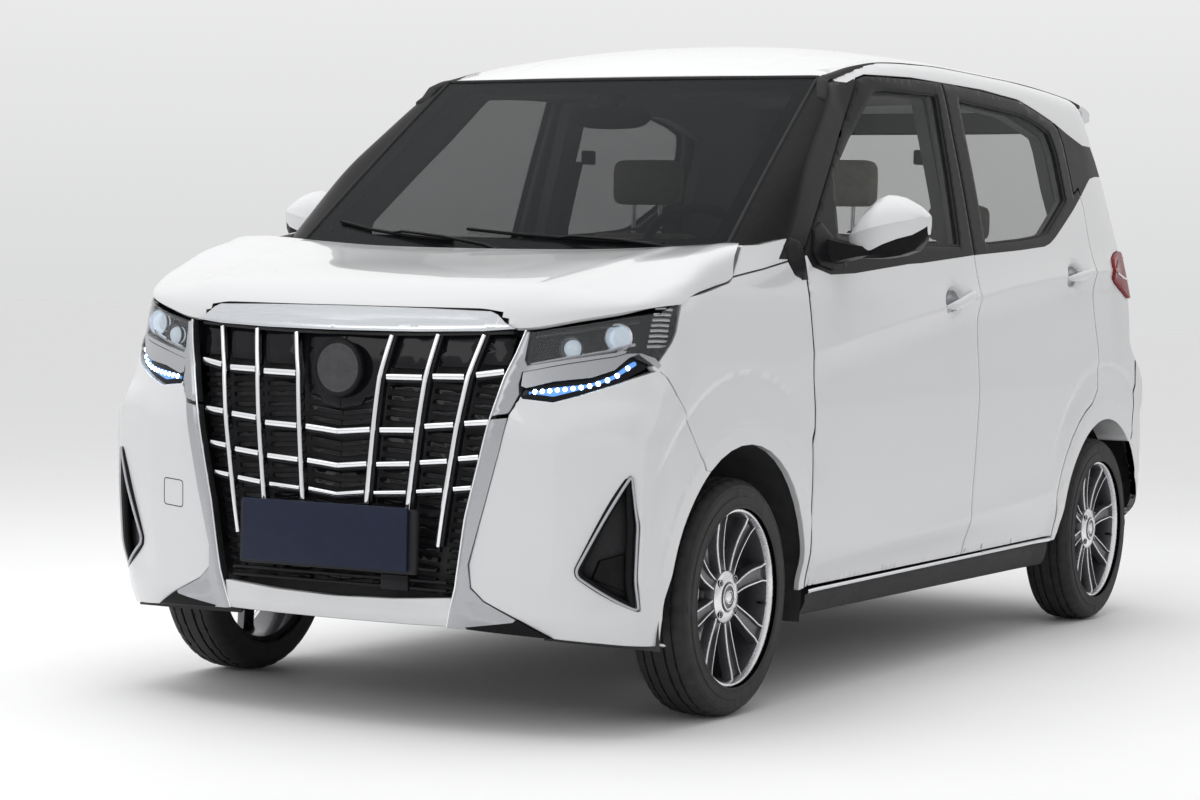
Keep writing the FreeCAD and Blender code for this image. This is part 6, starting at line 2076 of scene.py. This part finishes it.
tgb = Bag()
recess = []
for k in (-6, 6):
    recess.append([(rear_ax(x, max(z, 838)), z) for x, z in resample([(-225 + k, 779 - k), (225 - k, 779 - k), (225 - k, 978 + k),
                                                                   (-225 + k, 978 + k), (-225 + k, 779 - k)], 9, closed=False)])
panel(tgb, gate_p, ga(rounded(grow(GATE, -4.0), 16)), [ga(rounded(TAIL_GLASS, 22))], d0=0.0, d1=27.0, r=2.5, step=15.0, mat=0,
      side_mat=0, back_mat=1, lines=recess + [[(a, 1052 + k) for a in range(-700, 701, 14)] for k in (-14, 0, 14)])
# roof spoiler
def wide_spoiler(u, t, d):
    x, y, z = spoiler_pt(u, t, d)
    x2 = 553.0 * u
    return (x2, y, z + roof_top(x2, y) - roof_top(x, y))


su = [-1 + 2 * i / 40.0 for i in range(41)]
stt = [i / 10.0 for i in range(11)]
m2 = len(stt)
for layer, d in ((0, 0.0), (1, 60.0)):
    vs = [wide_spoiler(u, t, d) for u in su for t in stt]
    fs = [(i * m2 + j, (i + 1) * m2 + j, (i + 1) * m2 + j + 1, i * m2 + j + 1) for i in range(40) for j in range(m2 - 1)]
    tgb.add(vs, fs if layer == 0 else [tuple(reversed(f)) for f in fs], layer * 2)
k0 = len(tgb.v) - 41 * m2
k1 = k0 - 41 * m2
edge = [(0, j) for j in range(m2)] + [(i, m2 - 1) for i in range(41)] + [(40, j) for j in range(m2 - 1, -1, -1)] + \
       [(i, 0) for i in range(40, -1, -1)]
for a_, b_ in zip(edge, edge[1:]):
    i, j = a_[0] * m2 + a_[1], b_[0] * m2 + b_[1]
    if i != j:
        tgb.f.append((k1 + i, k0 + i, k0 + j, k1 + j))
        tgb.m.append(0)
# high stop lamp in the spoiler, handle bar over the plate
block(tgb, -110, 110, 1626, 1636, 1520, 1532, 3, 3.0)
block(tgb, -150, 150, 1644, 1668, 984, 1008, 4, 7.0)
auto_smooth(tgb.make("tailgate_shell", [PAINT, TRIM, SATIN, RED, CHROME], "tailgate", replaces=("tailgate",), slot="paint"), 45)
tg2 = Bag()
panel(tg2, gate_p, ga(rounded(grow(TAIL_GLASS, -0.8), 22), 16.0), d0=7.0, d1=11.0, r=0.8, step=40.0, mat=0, edge_step=16.0)
tube(tg2, [gate_p(a, z, 5.5) for a, z in ga(rounded(grow(TAIL_GLASS, -1.5), 22), 14.0)], 4.5, mat=1, n=8, closed=True)
tg2.make("tailgate_glazing", [GLASS, RUBBER], "tailgate", replaces=("tailgate_glass",), slot="glass")
# rear wiper
rw_ = Bag()
tube(rw_, [gate_p(rear_ax(x, 1150), z, -9.0) for x, z in resample([(-10, 1112), (-120, 1128), (-280, 1150)], 24, closed=False)],
     lambda t: 7.0 - 3.5 * t, 0, 8)
tube(rw_, [gate_p(rear_ax(x, 1150), z, -4.5) for x, z in resample([(-120, 1146), (-200, 1148), (-380, 1158)], 24, closed=False)],
     3.4, 0, 8)
lathe(rw_, [(-6, 17), (8, 16), (13, 11), (14, 0.3)], gate_p(rear_ax(-10, 1112), 1112, 0.0), (0, 1, 0.1), n=24)
auto_smooth(rw_.make("rear_wiper", [SATIN], "tailgate"), 45)
# blank rear plate in a shallow frame with two small lights
rp = Bag()
block(rp, -168, 168, 1646, 1652.5, 794, 965, 1, 3.0)
block(rp, -163, 163, 1652, 1655.5, 799, 960, 0, 1.5)
for x in (-70, 70):
    block(rp, x - 18, x + 18, 1640, 1656, 970, 980, 2, 3.0)
auto_smooth(rp.make("rear_plate_blank", [PLATE, PLASTIC, WHITEL], "tailgate", replaces=("rear_plate",), slot="plate"), 40)

# ---------------------------------------------------------------- tail lamps
def lamp_r(a, z, d):
    return rear_p(a, z, d - 9.0) if d < 40 else rear_p(a, z, d)


tl2 = Bag()
TL = [(min(y, 1618), z) for y, z in rounded(TAIL_LAMP, 10)]
panel(tl2, lamp_r, [(rear_a(y, z), z) for y, z in resample(TL, 8.0)], d0=0.0, d1=30.0, r=5.0, step=10.0, mat=0)
# raised inner line and a thinner second line above it
path = [lamp_r(rear_a(y, z), z, -1.4) for y, z in resample([(1436, 1046), (1500, 1030), (1560, 1022), (1604, 1022)], 10.0, closed=False)]
tube(tl2, path, 3.0, 1, 8)
path = [lamp_r(rear_a(y, z), z, -0.6) for y, z in resample([(1432, 1062), (1470, 1082), (1530, 1092), (1600, 1090)], 10.0, closed=False)]
tube(tl2, path, 2.2, 2, 8)
for side, mir in (("left", False), ("right", True)):
    tl2.make("tail_lamp_lens_" + side, [RED, WHITEL, LED if False else RED], "body", mirror=mir, replaces=("tail_lamp_" + side,),
             slot="red_lens")

# ---------------------------------------------------------------- rear bumper
def rb_relief(a, z):
    w = abs(a)
    s = 0.0
    if 395 < z < 440:
        s -= 3.0 * (1 - abs(z - 418) / 22.0)
    s -= 16.0 * smooth((330 - z) / 24.0) * smooth((560 - w) / 40.0)
    return s


def rb_p(a, z, d):
    return rear_p(a, z, d - rb_relief(a, z)) if d < 5 else rear_p(a, z, d)


half = [(0, 236), (0, 782)]
top = [(rear_ax(x, 782), 782) for x in range(0, 560, 14)]
right_side = [(rear_a(y, z), z) for y, z in resample([(1597, 782), (1605, 640), (1566, 538)], 9.0, closed=False)]
arch_bit = [(rear_a(y, z), z) for y, z in arc(rear_y, arch_r, 52, -6, 26) if y < 1660]
bottom = [(rear_ax(x, 236), 236) for x in range(600, 0, -14)]
halfpoly = [p for p in top if p[0] < right_side[0][0] - 5] + right_side + [p for p in arch_bit] + \
           [p for p in bottom if p[0] < arch_bit[-1][0] - 6]
full = [(-a, z) for a, z in reversed(halfpoly[1:])] + halfpoly
rbb = Bag()
panel(rbb, rb_p, resample(full, 10.0), d0=0.0, d1=22.0, r=2.5, step=18.0, mat=0, side_mat=0, back_mat=1,
      region=lambda a, z: 2 if z < 322 and abs(a) < 560 else 0, lines=[[(a, 322) for a in range(-560, 561, 10)],
                                                                     [(a, 346) for a in range(-560, 561, 10)]] +
      [[(a, 418 + k) for a in range(-850, 851, 14)] for k in (-20, 0, 20)] + [[(a * s, z) for z in range(240, 350, 10)]
       for a in (540, 560) for s in (1, -1)])
auto_smooth(rbb.make("rear_bumper_shell", [PAINT, UNDER, PLASTIC], "body", replaces=("rear_bumper",), slot="paint"), 45)
for side, mir in (("left", False), ("right", True)):
    rr_b = Bag()
    panel(rr_b, rb_p, [(rear_ax(x, z), z) for x, z in resample(rounded([(470, 452), (640, 458), (636, 484), (470, 478)], 8), 7.0)],
          d0=-3.0, d1=4.0, r=2.0, step=10.0, mat=0)
    rr_b.make("rear_reflector_" + side, [RED], "body", mirror=mir)

# side sill trim: bright edge over the dark skirt
for side, mir in (("left", False), ("right", True)):
    sk_ = Bag()
    rows = []
    for i in range(70):
        y = -702 + (956 + 702) * i / 69.0
        zt_ = 256 + (270 - 256) * (y + 700) / 1655.0
        x0 = side_x(y, zt_)
        rows.append([(x0 - 60, y, zt_ + 1), (x0 - 14, y, zt_ + 1), (x0 - 7, y, zt_ - 1), (x0 - 4.5, y, zt_ - 5), (x0 - 6.0, y, zt_ - 9),
                     (x0 - 12, y, zt_ - 12), (x0 - 15, y, zt_ - 16), (x0 - 15, y, zt_ - 30), (x0 - 22, y, 210), (x0 - 30, y, 194),
                     (x0 - 44, y, 188), (x0 - 110, y, 188), (x0 - 110, y, zt_)])
    loft(sk_, rows, mats=lambda i, j: 1 if 1 <= j <= 4 else 0)
    sk_.n = [None] * len(sk_.v)
    ob = auto_smooth(sk_.make("sill_skirt_" + side, [PLASTIC, CHROME], "body", mirror=mir,
                              replaces=("side_skirts",) if not mir else (), slot="dark_plastic"), 35)


# ---------------------------------------------------------------- seats
def puff(name, blocks, seams, voxel, cap, pressure, body, material, clones=(), sub=0, keep=None):
    """padded piece: rounded blocks joined into one skin, blown up as cloth, held down along its seams"""
    b = Bag()
    for x0, x1, y0, y1, z0, z1, r in blocks:
        block(b, x0, x1, y0, y1, z0, z1, 0, r)
    tmp = put(name + "_start", b.v, b.f, material, None)
    md = tmp.modifiers.new("remesh", 'REMESH')
    md.mode = 'VOXEL'
    md.voxel_size = voxel * 0.001
    md.use_smooth_shade = True
    dg = bpy.context.evaluated_depsgraph_get()
    me = bpy.data.meshes.new_from_object(tmp.evaluated_get(dg))
    bpy.data.objects.remove(tmp)
    me.name = name
    start = [v.co.copy() for v in me.vertices]
    sv = [tuple(c * 1000.0 for c in p) for p in start]
    hold = [1.0 if any(s(*p) for s in seams) else 0.0 for p in sv]
    ob = bpy.data.objects.new(name, me)
    bpy.context.scene.collection.objects.link(ob)
    vg = ob.vertex_groups.new(name="hold")
    for i, h in enumerate(hold):
        if h:
            vg.add([i], h, 'REPLACE')
    cl = ob.modifiers.new("cloth", 'CLOTH')
    cs = cl.settings
    cs.quality = 4
    cs.mass = 0.25
    cs.tension_stiffness = 18
    cs.compression_stiffness = 18
    cs.shear_stiffness = 8
    cs.bending_stiffness = 1.2
    cs.use_pressure = True
    cs.uniform_pressure_force = pressure
    cs.effector_weights.gravity = 0
    cs.vertex_group_mass = "hold"
    cl.collision_settings.use_collision = False
    cl.collision_settings.use_self_collision = False
    cl.point_cache.frame_start = 1
    cl.point_cache.frame_end = 20
    sc = bpy.context.scene
    for f in range(1, 21):
        sc.frame_set(f)
    dg = bpy.context.evaluated_depsgraph_get()
    ev = ob.evaluated_get(dg).to_mesh()
    new = []
    for i, v in enumerate(ev.vertices):
        d = v.co - start[i]
        l = d.length
        if l > cap * 0.001:
            d = d * (cap * 0.001 / l)
        new.append(start[i] + d)
    ob.evaluated_get(dg).to_mesh_clear()
    ob.modifiers.clear()
    sc.frame_set(1)
    for i, v in enumerate(me.vertices):
        v.co = new[i]
    ob.vertex_groups.clear()
    # relax, then press the seams in
    import bmesh
    bm = bmesh.new()
    bm.from_mesh(me)
    for _ in range(3):
        bmesh.ops.smooth_vert(bm, verts=bm.verts[:], factor=0.5, use_axis_x=True, use_axis_y=True, use_axis_z=True)
    bm.normal_update()
    for v in bm.verts:
        p = tuple(c * 1000.0 for c in v.co)
        s = max((q(*p) for q in keep), default=0.0) if keep else 0.0
        if s:
            v.co = v.co - v.normal * (0.001 * s)
    if sub:
        bmesh.ops.subdivide_edges(bm, edges=bm.edges[:], cuts=1, use_grid_fill=True, smooth=0.0)
    bm.to_mesh(me)
    bm.free()
    me.materials.clear()
    me.materials.append(material)
    me.polygons.foreach_set("use_smooth", [True] * len(me.polygons))
    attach(ob, body)
    return ob


def copy_to(ob, name, dx=0.0, flip=False):
    me = ob.data.copy()
    me.name = name
    for v in me.vertices:
        v.co.x = (-v.co.x if flip else v.co.x) + dx
    if flip:
        me.flip_normals()
    o = bpy.data.objects.new(name, me)
    bpy.context.scene.collection.objects.link(o)
    return o


def band(fn, w, depth):
    """soft groove where fn(x, y, z) is near 0"""
    def q(x, y, z):
        d = abs(fn(x, y, z))
        return depth * (1 - (d / w)) if d < w else 0.0
    return q


CX = 300.0
cush = puff("front_cushion_left", [(CX - 148, CX + 148, -228, 248, 486, 584, 30), (CX - 212, CX - 128, -232, 244, 486, 592, 30),
                                   (CX + 128, CX + 212, -232, 244, 486, 592, 30)],
            [lambda x, y, z: z < 492, lambda x, y, z: abs(abs(x - CX) - 138) < 7 and z > 560,
             lambda x, y, z: abs(y - 40) < 7 and abs(x - CX) < 140 and z > 560, lambda x, y, z: abs(y + 120) < 7 and abs(x - CX) < 140 and z > 560],
            10.0, 9.0, 4.0, "body", CLOTH,
            keep=[band(lambda x, y, z: abs(x - CX) - 138 if z > 565 else 99, 12, 5.0),
                  band(lambda x, y, z: y - 40 if z > 565 and abs(x - CX) < 136 else 99, 11, 4.0),
                  band(lambda x, y, z: y + 120 if z > 565 and abs(x - CX) < 136 else 99, 11, 4.0),
                  band(lambda x, y, z: z - 535 if abs(x - CX) > 190 or y < -205 else 99, 9, 3.0)])
bk = puff("front_backrest_left", [(CX - 142, CX + 142, 254, 326, 580, 1118, 28), (CX - 206, CX - 122, 246, 320, 600, 1090, 28),
                                  (CX + 122, CX + 206, 246, 320, 600, 1090, 28), (CX - 170, CX + 170, 262, 322, 1060, 1126, 26)],
          [lambda x, y, z: y > 318, lambda x, y, z: abs(abs(x - CX) - 134) < 7 and y < 270,
           lambda x, y, z: any(abs(z - k) < 7 for k in (740, 900, 1040)) and abs(x - CX) < 136 and y < 275],
          10.0, 9.0, 4.0, "body", CLOTH,
          keep=[band(lambda x, y, z: abs(x - CX) - 134 if y < 272 else 99, 12, 5.0)] +
               [band(lambda x, y, z, k=k: z - k if y < 272 and abs(x - CX) < 132 else 99, 11, 4.0) for k in (740, 900, 1040)] +
               [band(lambda x, y, z: y - 296 if abs(x - CX) > 180 or z > 1100 else 99, 8, 3.0)])
hd_ = puff("front_headrest_left", [(CX - 110, CX + 110, 281, 341, 1203, 1335, 34)],
           [lambda x, y, z: z < 1206], 8.0, 5.0, 4.0, "body", CLOTH,
           keep=[band(lambda x, y, z: y - 313, 8, 3.0), band(lambda x, y, z: z - 1262 if y < 305 else 99, 9, 2.5)])
for o, nm in ((cush, "front_cushion_right"), (bk, "front_backrest_right"), (hd_, "front_headrest_right")):
    c2 = copy_to(o, nm, dx=-0.6)
    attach(c2, "body")
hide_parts("front_seats")
rc = puff("rear_cushion_pad", [(-466, 466, 772, 1236, 412, 574, 40)],
          [lambda x, y, z: z < 418, lambda x, y, z: (abs(x) < 8 or abs(abs(x) - 240) < 7) and z > 555],
          14.0, 9.0, 4.0, "body", CLOTH,
          keep=[band(lambda x, y, z: x if z > 550 else 99, 14, 7.0), band(lambda x, y, z: abs(x) - 420 if z > 550 else 99, 13, 4.0),
                band(lambda x, y, z: y - 900 if z > 550 and 14 < abs(x) < 420 else 99, 13, 4.0),
                band(lambda x, y, z: y - 1060 if z > 550 and 14 < abs(x) < 420 else 99, 13, 4.0)])
rbk = puff("rear_backrest_pad", [(-466, 466, 1244, 1318, 572, 1076, 30)],
           [lambda x, y, z: y > 1308, lambda x, y, z: abs(x) < 8 and y < 1262], 14.0, 9.0, 4.0, "body", CLOTH,
           keep=[band(lambda x, y, z: x if y < 1266 else 99, 14, 7.0), band(lambda x, y, z: abs(x) - 420 if y < 1266 else 99, 13, 4.0)] +
                [band(lambda x, y, z, k=k: z - k if y < 1266 and 14 < abs(x) < 420 else 99, 13, 4.0) for k in (740, 900)])
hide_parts("rear_seat")
rh = puff("rear_headrest_left", [(160, 360, 1256, 1316, 1130, 1243, 28)], [lambda x, y, z: z < 1133], 9.0, 4.0, 4.0, "body", CLOTH,
          keep=[band(lambda x, y, z: y - 1287, 8, 3.0)])
rh2 = copy_to(rh, "rear_headrest_right", dx=-0.52)
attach(rh2, "body")

# seat frames, rails, side covers and headrest posts
sf = Bag()
for s in (1, -1):
    cx = s * CX
    block(sf, cx - 176, cx + 176, -196, 226, 300, 470, 1, 18.0)
    for x in (cx - 150, cx + 150):
        block(sf, x - 14, x + 14, -210, 226, 232, 262, 0, 4.0)
        block(sf, x - 10, x + 10, -120, -60, 258, 306, 0, 3.0)
        block(sf, x - 10, x + 10, 120, 180, 258, 306, 0, 3.0)
    for x in (cx - 219, cx + 205):
        block(sf, x, x + 14, 60, 262, 452, 560, 1, 6.0)
    lathe(sf, [(0, 40), (4, 39), (9, 30), (10, 0.3)], (cx + s * 212, 250, 548), (s, 0, 0), n=32, mat=1)
    for x in (cx - 42, cx + 42):
        tube(sf, [(x, 305, 1100), (x, 306, 1160), (x, 308, 1215)], 6.0, 2, 12)
        lathe(sf, [(0, 14), (5, 13), (7, 9)], (x, 305, 1132), (0, 0, 1), n=20, mat=1)
auto_smooth(sf.make("front_seat_frames", [STEEL, PLASTIC, CHROME], "body"), 40)
sf = Bag()
block(sf, -418, 418, 802, 1198, 357, 414, 1, 10.0)
for s in (1, -1):
    for x in (s * 260 - 34, s * 260 + 34):
        tube(sf, [(x, 1283, 1060), (x, 1284, 1100), (x, 1285, 1140)], 5.5, 2, 12)
auto_smooth(sf.make("rear_seat_frame", [STEEL, PLASTIC, CHROME], "body"), 40)

# ---------------------------------------------------------------- dashboard
ds = Bag()
rows = []
for i in range(57):
    x = -556 + 1112 * i / 56.0
    e = 1 - (abs(x) / 600.0) ** 6
    hoodk = 0.0
    if 150 < x < 394:
        hoodk = math.sin(math.pi * (x - 150) / 244.0) ** 0.6
    ctr = smooth((150 - abs(x)) / 40.0)
    row = [(-774, 704), (-774, 960), (-768, 984), (-740, 990 + 4 * e), (-690, 992 + 4 * e), (-640, 984 + 8 * e + 4 * hoodk),
           (-604, 966 + 8 * e + 24 * hoodk), (-580 + 6 * hoodk, 946 + 6 * e + 30 * hoodk), (-570 + 2 * hoodk, 930 + 4 * e + 20 * hoodk),
           (-572, 905), (-580 + 8 * ctr, 880), (-588 + 14 * ctr, 850), (-592 + 18 * ctr, 810), (-590 + 18 * ctr, 770), (-604, 740), (-630, 716),
           (-660, 704)]
    rows.append([(x, y, z) for y, z in row])
loft(ds, rows, mats=lambda i, j: 0 if j < 9 else 1 if 11 <= j <= 12 else 0)
# centre screen, vents, column, console
block(ds, -118, 118, -580, -563, 872, 985, 2, 6.0)
for x in (-500, -170, 170, 500):
    if x != 170:
        block(ds, x - 42, x + 42, -584, -570, 893, 931, 2, 6.0)
        for k in range(4):
            block(ds, x - 38, x + 38, -575, -567.5, 898 + 8 * k, 901 + 8 * k, 1, 1.0)
tube(ds, [(272, -640, 921), (272, -560, 958), (272, -478, 996)], 24.0, 0, 20)
block(ds, -108, 108, -640, -424, 300, 752, 1, 20.0)
block(ds, -70, 70, -560, -430, 740, 757, 0, 5.0)
tube(ds, [(0, -470, 750), (0, -462, 790), (0, -456, 830)], 9.0, 2, 12)
lathe(ds, [(-20, 13), (-10, 21), (6, 22), (16, 15), (19, 0.3)], (0, -454, 842), (0, 0.1, 1), n=28, mat=2)
for x in (-60, 0, 60):
    lathe(ds, [(0, 23), (8, 22), (11, 19), (11.5, 0.3)], (x, -577, 815), (0, 1, 0.05), n=32, mat=2)
# instrument cluster face
block(ds, 172, 372, -592, -583, 898, 966, 2, 5.0)
auto_smooth(ds.make("dash_and_console", [DASH, TRIM, GLOSS], "body", replaces=("dashboard",), slot="dark_plastic"), 38)
# pedals
pdl = Bag()
for x, w in ((200, 22), (272, 40), (345, 40)):
    tube(pdl, [(x, -760, 470), (x, -722, 400), (x, -690, 330)], 7.0, 0, 8)
    block(pdl, x - w, x + w, -700, -688, 296, 352, 1, 4.0)
auto_smooth(pdl.make("pedals", [STEEL, RUBBER], "body"), 40)

# ---------------------------------------------------------------- steering wheel
sw = Bag()
ca, sa = math.cos(math.radians(25)), math.sin(math.radians(25))
C = Vector((272, -610 + 190 * ca, 935 + 190 * sa))
axn = Vector((0, ca, sa))
e1 = Vector((1, 0, 0))
e2 = axn.cross(e1).normalized() * -1.0
n, m = 96, 16
vs, fs = [], []
for i in range(n):
    g = 2 * math.pi * i / n
    rad = e1 * math.cos(g) + e2 * math.sin(g)
    grip = 1.0 + 0.10 * max(0.0, math.cos(2 * g + 0.6)) ** 4
    for j in range(m):
        h = 2 * math.pi * j / m
        rr_ = 13.0 * grip
        vs.append(tuple(C + rad * (176 + rr_ * math.cos(h) * 0.92) + axn * rr_ * math.sin(h)))
for i in range(n):
    for j in range(m):
        fs.append((i * m + j, ((i + 1) % n) * m + j, ((i + 1) % n) * m + (j + 1) % m, i * m + (j + 1) % m))
sw.add(vs, fs, 0)
for g0, wd in ((0, 26), (180, 26), (270, 30)):
    g = math.radians(g0)
    rad = e1 * math.cos(g) + e2 * math.sin(g)
    tn = -e1 * math.sin(g) + e2 * math.cos(g)
    rows = []
    for k in range(9):
        t = k / 8.0
        r = 40 + 128 * t
        w = wd * (1.35 - 0.75 * math.sin(math.pi * min(1.0, t * 0.8)))
        h = -14 + 12 * t
        rows.append([tuple(C + rad * r + tn * w * u + axn * (h + v)) for u, v in
                     ((-1, 0), (-0.8, 6), (0, 8), (0.8, 6), (1, 0), (0.8, -5), (0, -6), (-0.8, -5))])
    loft(sw, rows, mats=1)
lathe(sw, [(-32, 52), (-20, 60), (-8, 62), (2, 58), (8, 48), (11, 30), (12, 0.3)], tuple(C), tuple(axn), n=48, mat=0)
lathe(sw, [(10.5, 18), (13, 17), (13.6, 14), (13.2, 0.3)], tuple(C), tuple(axn), n=36, mat=2)
sw.n = [None] * len(sw.v)
auto_smooth(sw.make("steering_wheel_rim", [DASH, SATIN, SILVER], "steering_wheel", replaces=("steering_wheel",)), 40)

# inside mirror
im = Bag()
rows = []
for i in range(13):
    t = -1 + 2 * i / 12.0
    k = (1 - abs(t) ** 4) ** 0.5 if abs(t) < 1 else 0.05
    k = max(k, 0.12)
    x = 116 * t
    rows.append([(x, -461 + 13 * k * math.cos(g), 1405.5 + 30 * k * math.sin(g) * (1 - 0.1 * abs(t))) for g in
                 [2 * math.pi * j / 18 for j in range(18)]])
loft(im, rows, mats=lambda i, j: 0)
tube(im, [(0, -458, 1428), (0, -440, 1446), (0, -418, 1472)], 7.0, 0, 12)
lathe(im, [(0, 18), (5, 17), (8, 10)], (0, -424, 1466), (0, -0.5, -1), n=24, mat=0)
auto_smooth(im.make("inside_mirror", [PLASTIC], "body", replaces=("centre_mirror",)), 45)
# sun visors and grab handles
vi = Bag()
for s in (1, -1):
    M = Matrix.Translation((s * 290, -292, 1494)) @ Matrix.Rotation(math.radians(22), 4, 'X')
    block(vi, -175, 175, -70, 70, -9, 9, 0, 8.0, M=M)
    tube(vi, [(s * 470, -150 + 60, 1540), (s * 478, -60, 1524), (s * 478, 60, 1526), (s * 470, 90, 1543)], 8.0, 0, 10)
auto_smooth(vi.make("visors_and_handles", [HEADL], "body"), 40)
# belts on the centre pillars
bl = Bag()
for s in (1, -1):
    rows = []
    for k in range(13):
        t = k / 12.0
        y = 352 - 20 * t
        z = 1330 - 760 * t
        x = s * (side_x(y, z) - (96 if z > 1100 else 96 + 50 * smooth((1100 - z) / 80.0)))
        rows.append([(x, y - 23, z), (x - s * 1.6, y - 23, z), (x - s * 1.6, y + 23, z), (x, y + 23, z)])
    loft(bl, rows, mats=0)
    block(bl, s * 520 - 14, s * 520 + 14, 330, 372, 1322, 1362, 1, 5.0)
auto_smooth(bl.make("seat_belts", [CARPET, PLASTIC], "body"), 40)


# ---------------------------------------------------------------- floor, light, camera
fv, ff = [], []
NF = 30
for i in range(NF + 1):
    for j in range(NF + 1):
        fv.append((-60000 + 120000 * i / NF, -60000 + 120000 * j / NF, -0.6))
for i in range(NF):
    for j in range(NF):
        k = i * (NF + 1) + j
        ff.append((k, k + NF + 1, k + NF + 2, k + 1))
floor = put("studio_ground", fv, ff, FLOOR, None)

world = bpy.data.worlds.new("studio")
bpy.context.scene.world = world
world.use_nodes = True
bg = world.node_tree.nodes["Background"]
wt = world.node_tree
tcw = wt.nodes.new("ShaderNodeTexCoord")
sep = wt.nodes.new("ShaderNodeSeparateXYZ")
wramp = wt.nodes.new("ShaderNodeValToRGB")
wramp.color_ramp.elements[0].position = 0.0
wramp.color_ramp.elements[0].color = (0.80, 0.803, 0.81, 1.0)
wramp.color_ramp.elements[1].position = 0.16
wramp.color_ramp.elements[1].color = (1.0, 1.0, 1.0, 1.0)
wt.links.new(tcw.outputs["Generated"], sep.inputs["Vector"])
wt.links.new(sep.outputs["Z"], wramp.inputs["Fac"])
wt.links.new(wramp.outputs["Color"], bg.inputs["Color"])
fade = wt.nodes.new("ShaderNodeMapRange")
fade.inputs["From Min"].default_value = -0.1
fade.inputs["From Max"].default_value = 0.9
fade.inputs["To Min"].default_value = 0.90
fade.inputs["To Max"].default_value = 0.56
wt.links.new(sep.outputs["X"], fade.inputs["Value"])
wt.links.new(fade.outputs["Result"], bg.inputs["Strength"])


def area(name, loc, aim, sx, sy, power, colour=(1, 1, 1)):
    l = bpy.data.lights.new(name, 'AREA')
    l.shape = 'RECTANGLE'
    l.size, l.size_y = sx, sy
    l.energy = power
    l.color = colour
    o = bpy.data.objects.new(name, l)
    bpy.context.scene.collection.objects.link(o)
    o.location = loc
    o.rotation_euler = (Vector(aim) - Vector(loc)).to_track_quat('-Z', 'Y').to_euler()
    return o


top = area("top_light", (-0.4, -0.6, 5.0), (0, 0, 0), 4.0, 5.5, 158)
top.visible_glossy = False
area("side_light", (6.5, 1.0, 3.4), (0.5, 0.2, 0.7), 7.0, 1.4, 14)
area("front_light", (-2.2, -7.5, 3.4), (0, -1.4, 0.7), 4.0, 1.6, 34)

A, E, R = math.radians(28.856), math.radians(2.363), math.radians(1.296)
back = Vector((math.sin(A) * math.cos(E), -math.cos(A) * math.cos(E), math.sin(E)))
right = (-back).cross(Vector((0, 0, 1))).normalized()
upv = right.cross(-back).normalized()
rr = right * math.cos(R) + upv * math.sin(R)
uu = -right * math.sin(R) + upv * math.cos(R)
cam = bpy.data.cameras.new("camera")
cam.sensor_width = 36.0
cam.sensor_fit = 'HORIZONTAL'
cam.lens = 87.208
cam.clip_end = 200.0
cob = bpy.data.objects.new("camera", cam)
bpy.context.scene.collection.objects.link(cob)
cob.matrix_world = Matrix(((rr.x, uu.x, back.x, 3.61255), (rr.y, uu.y, back.y, -7.04683), (rr.z, uu.z, back.z, 0.98766),
                           (0, 0, 0, 1)))
bpy.context.scene.camera = cob
bpy.context.scene.view_settings.view_transform = 'Standard'
bpy.context.scene.view_settings.exposure = 0.0
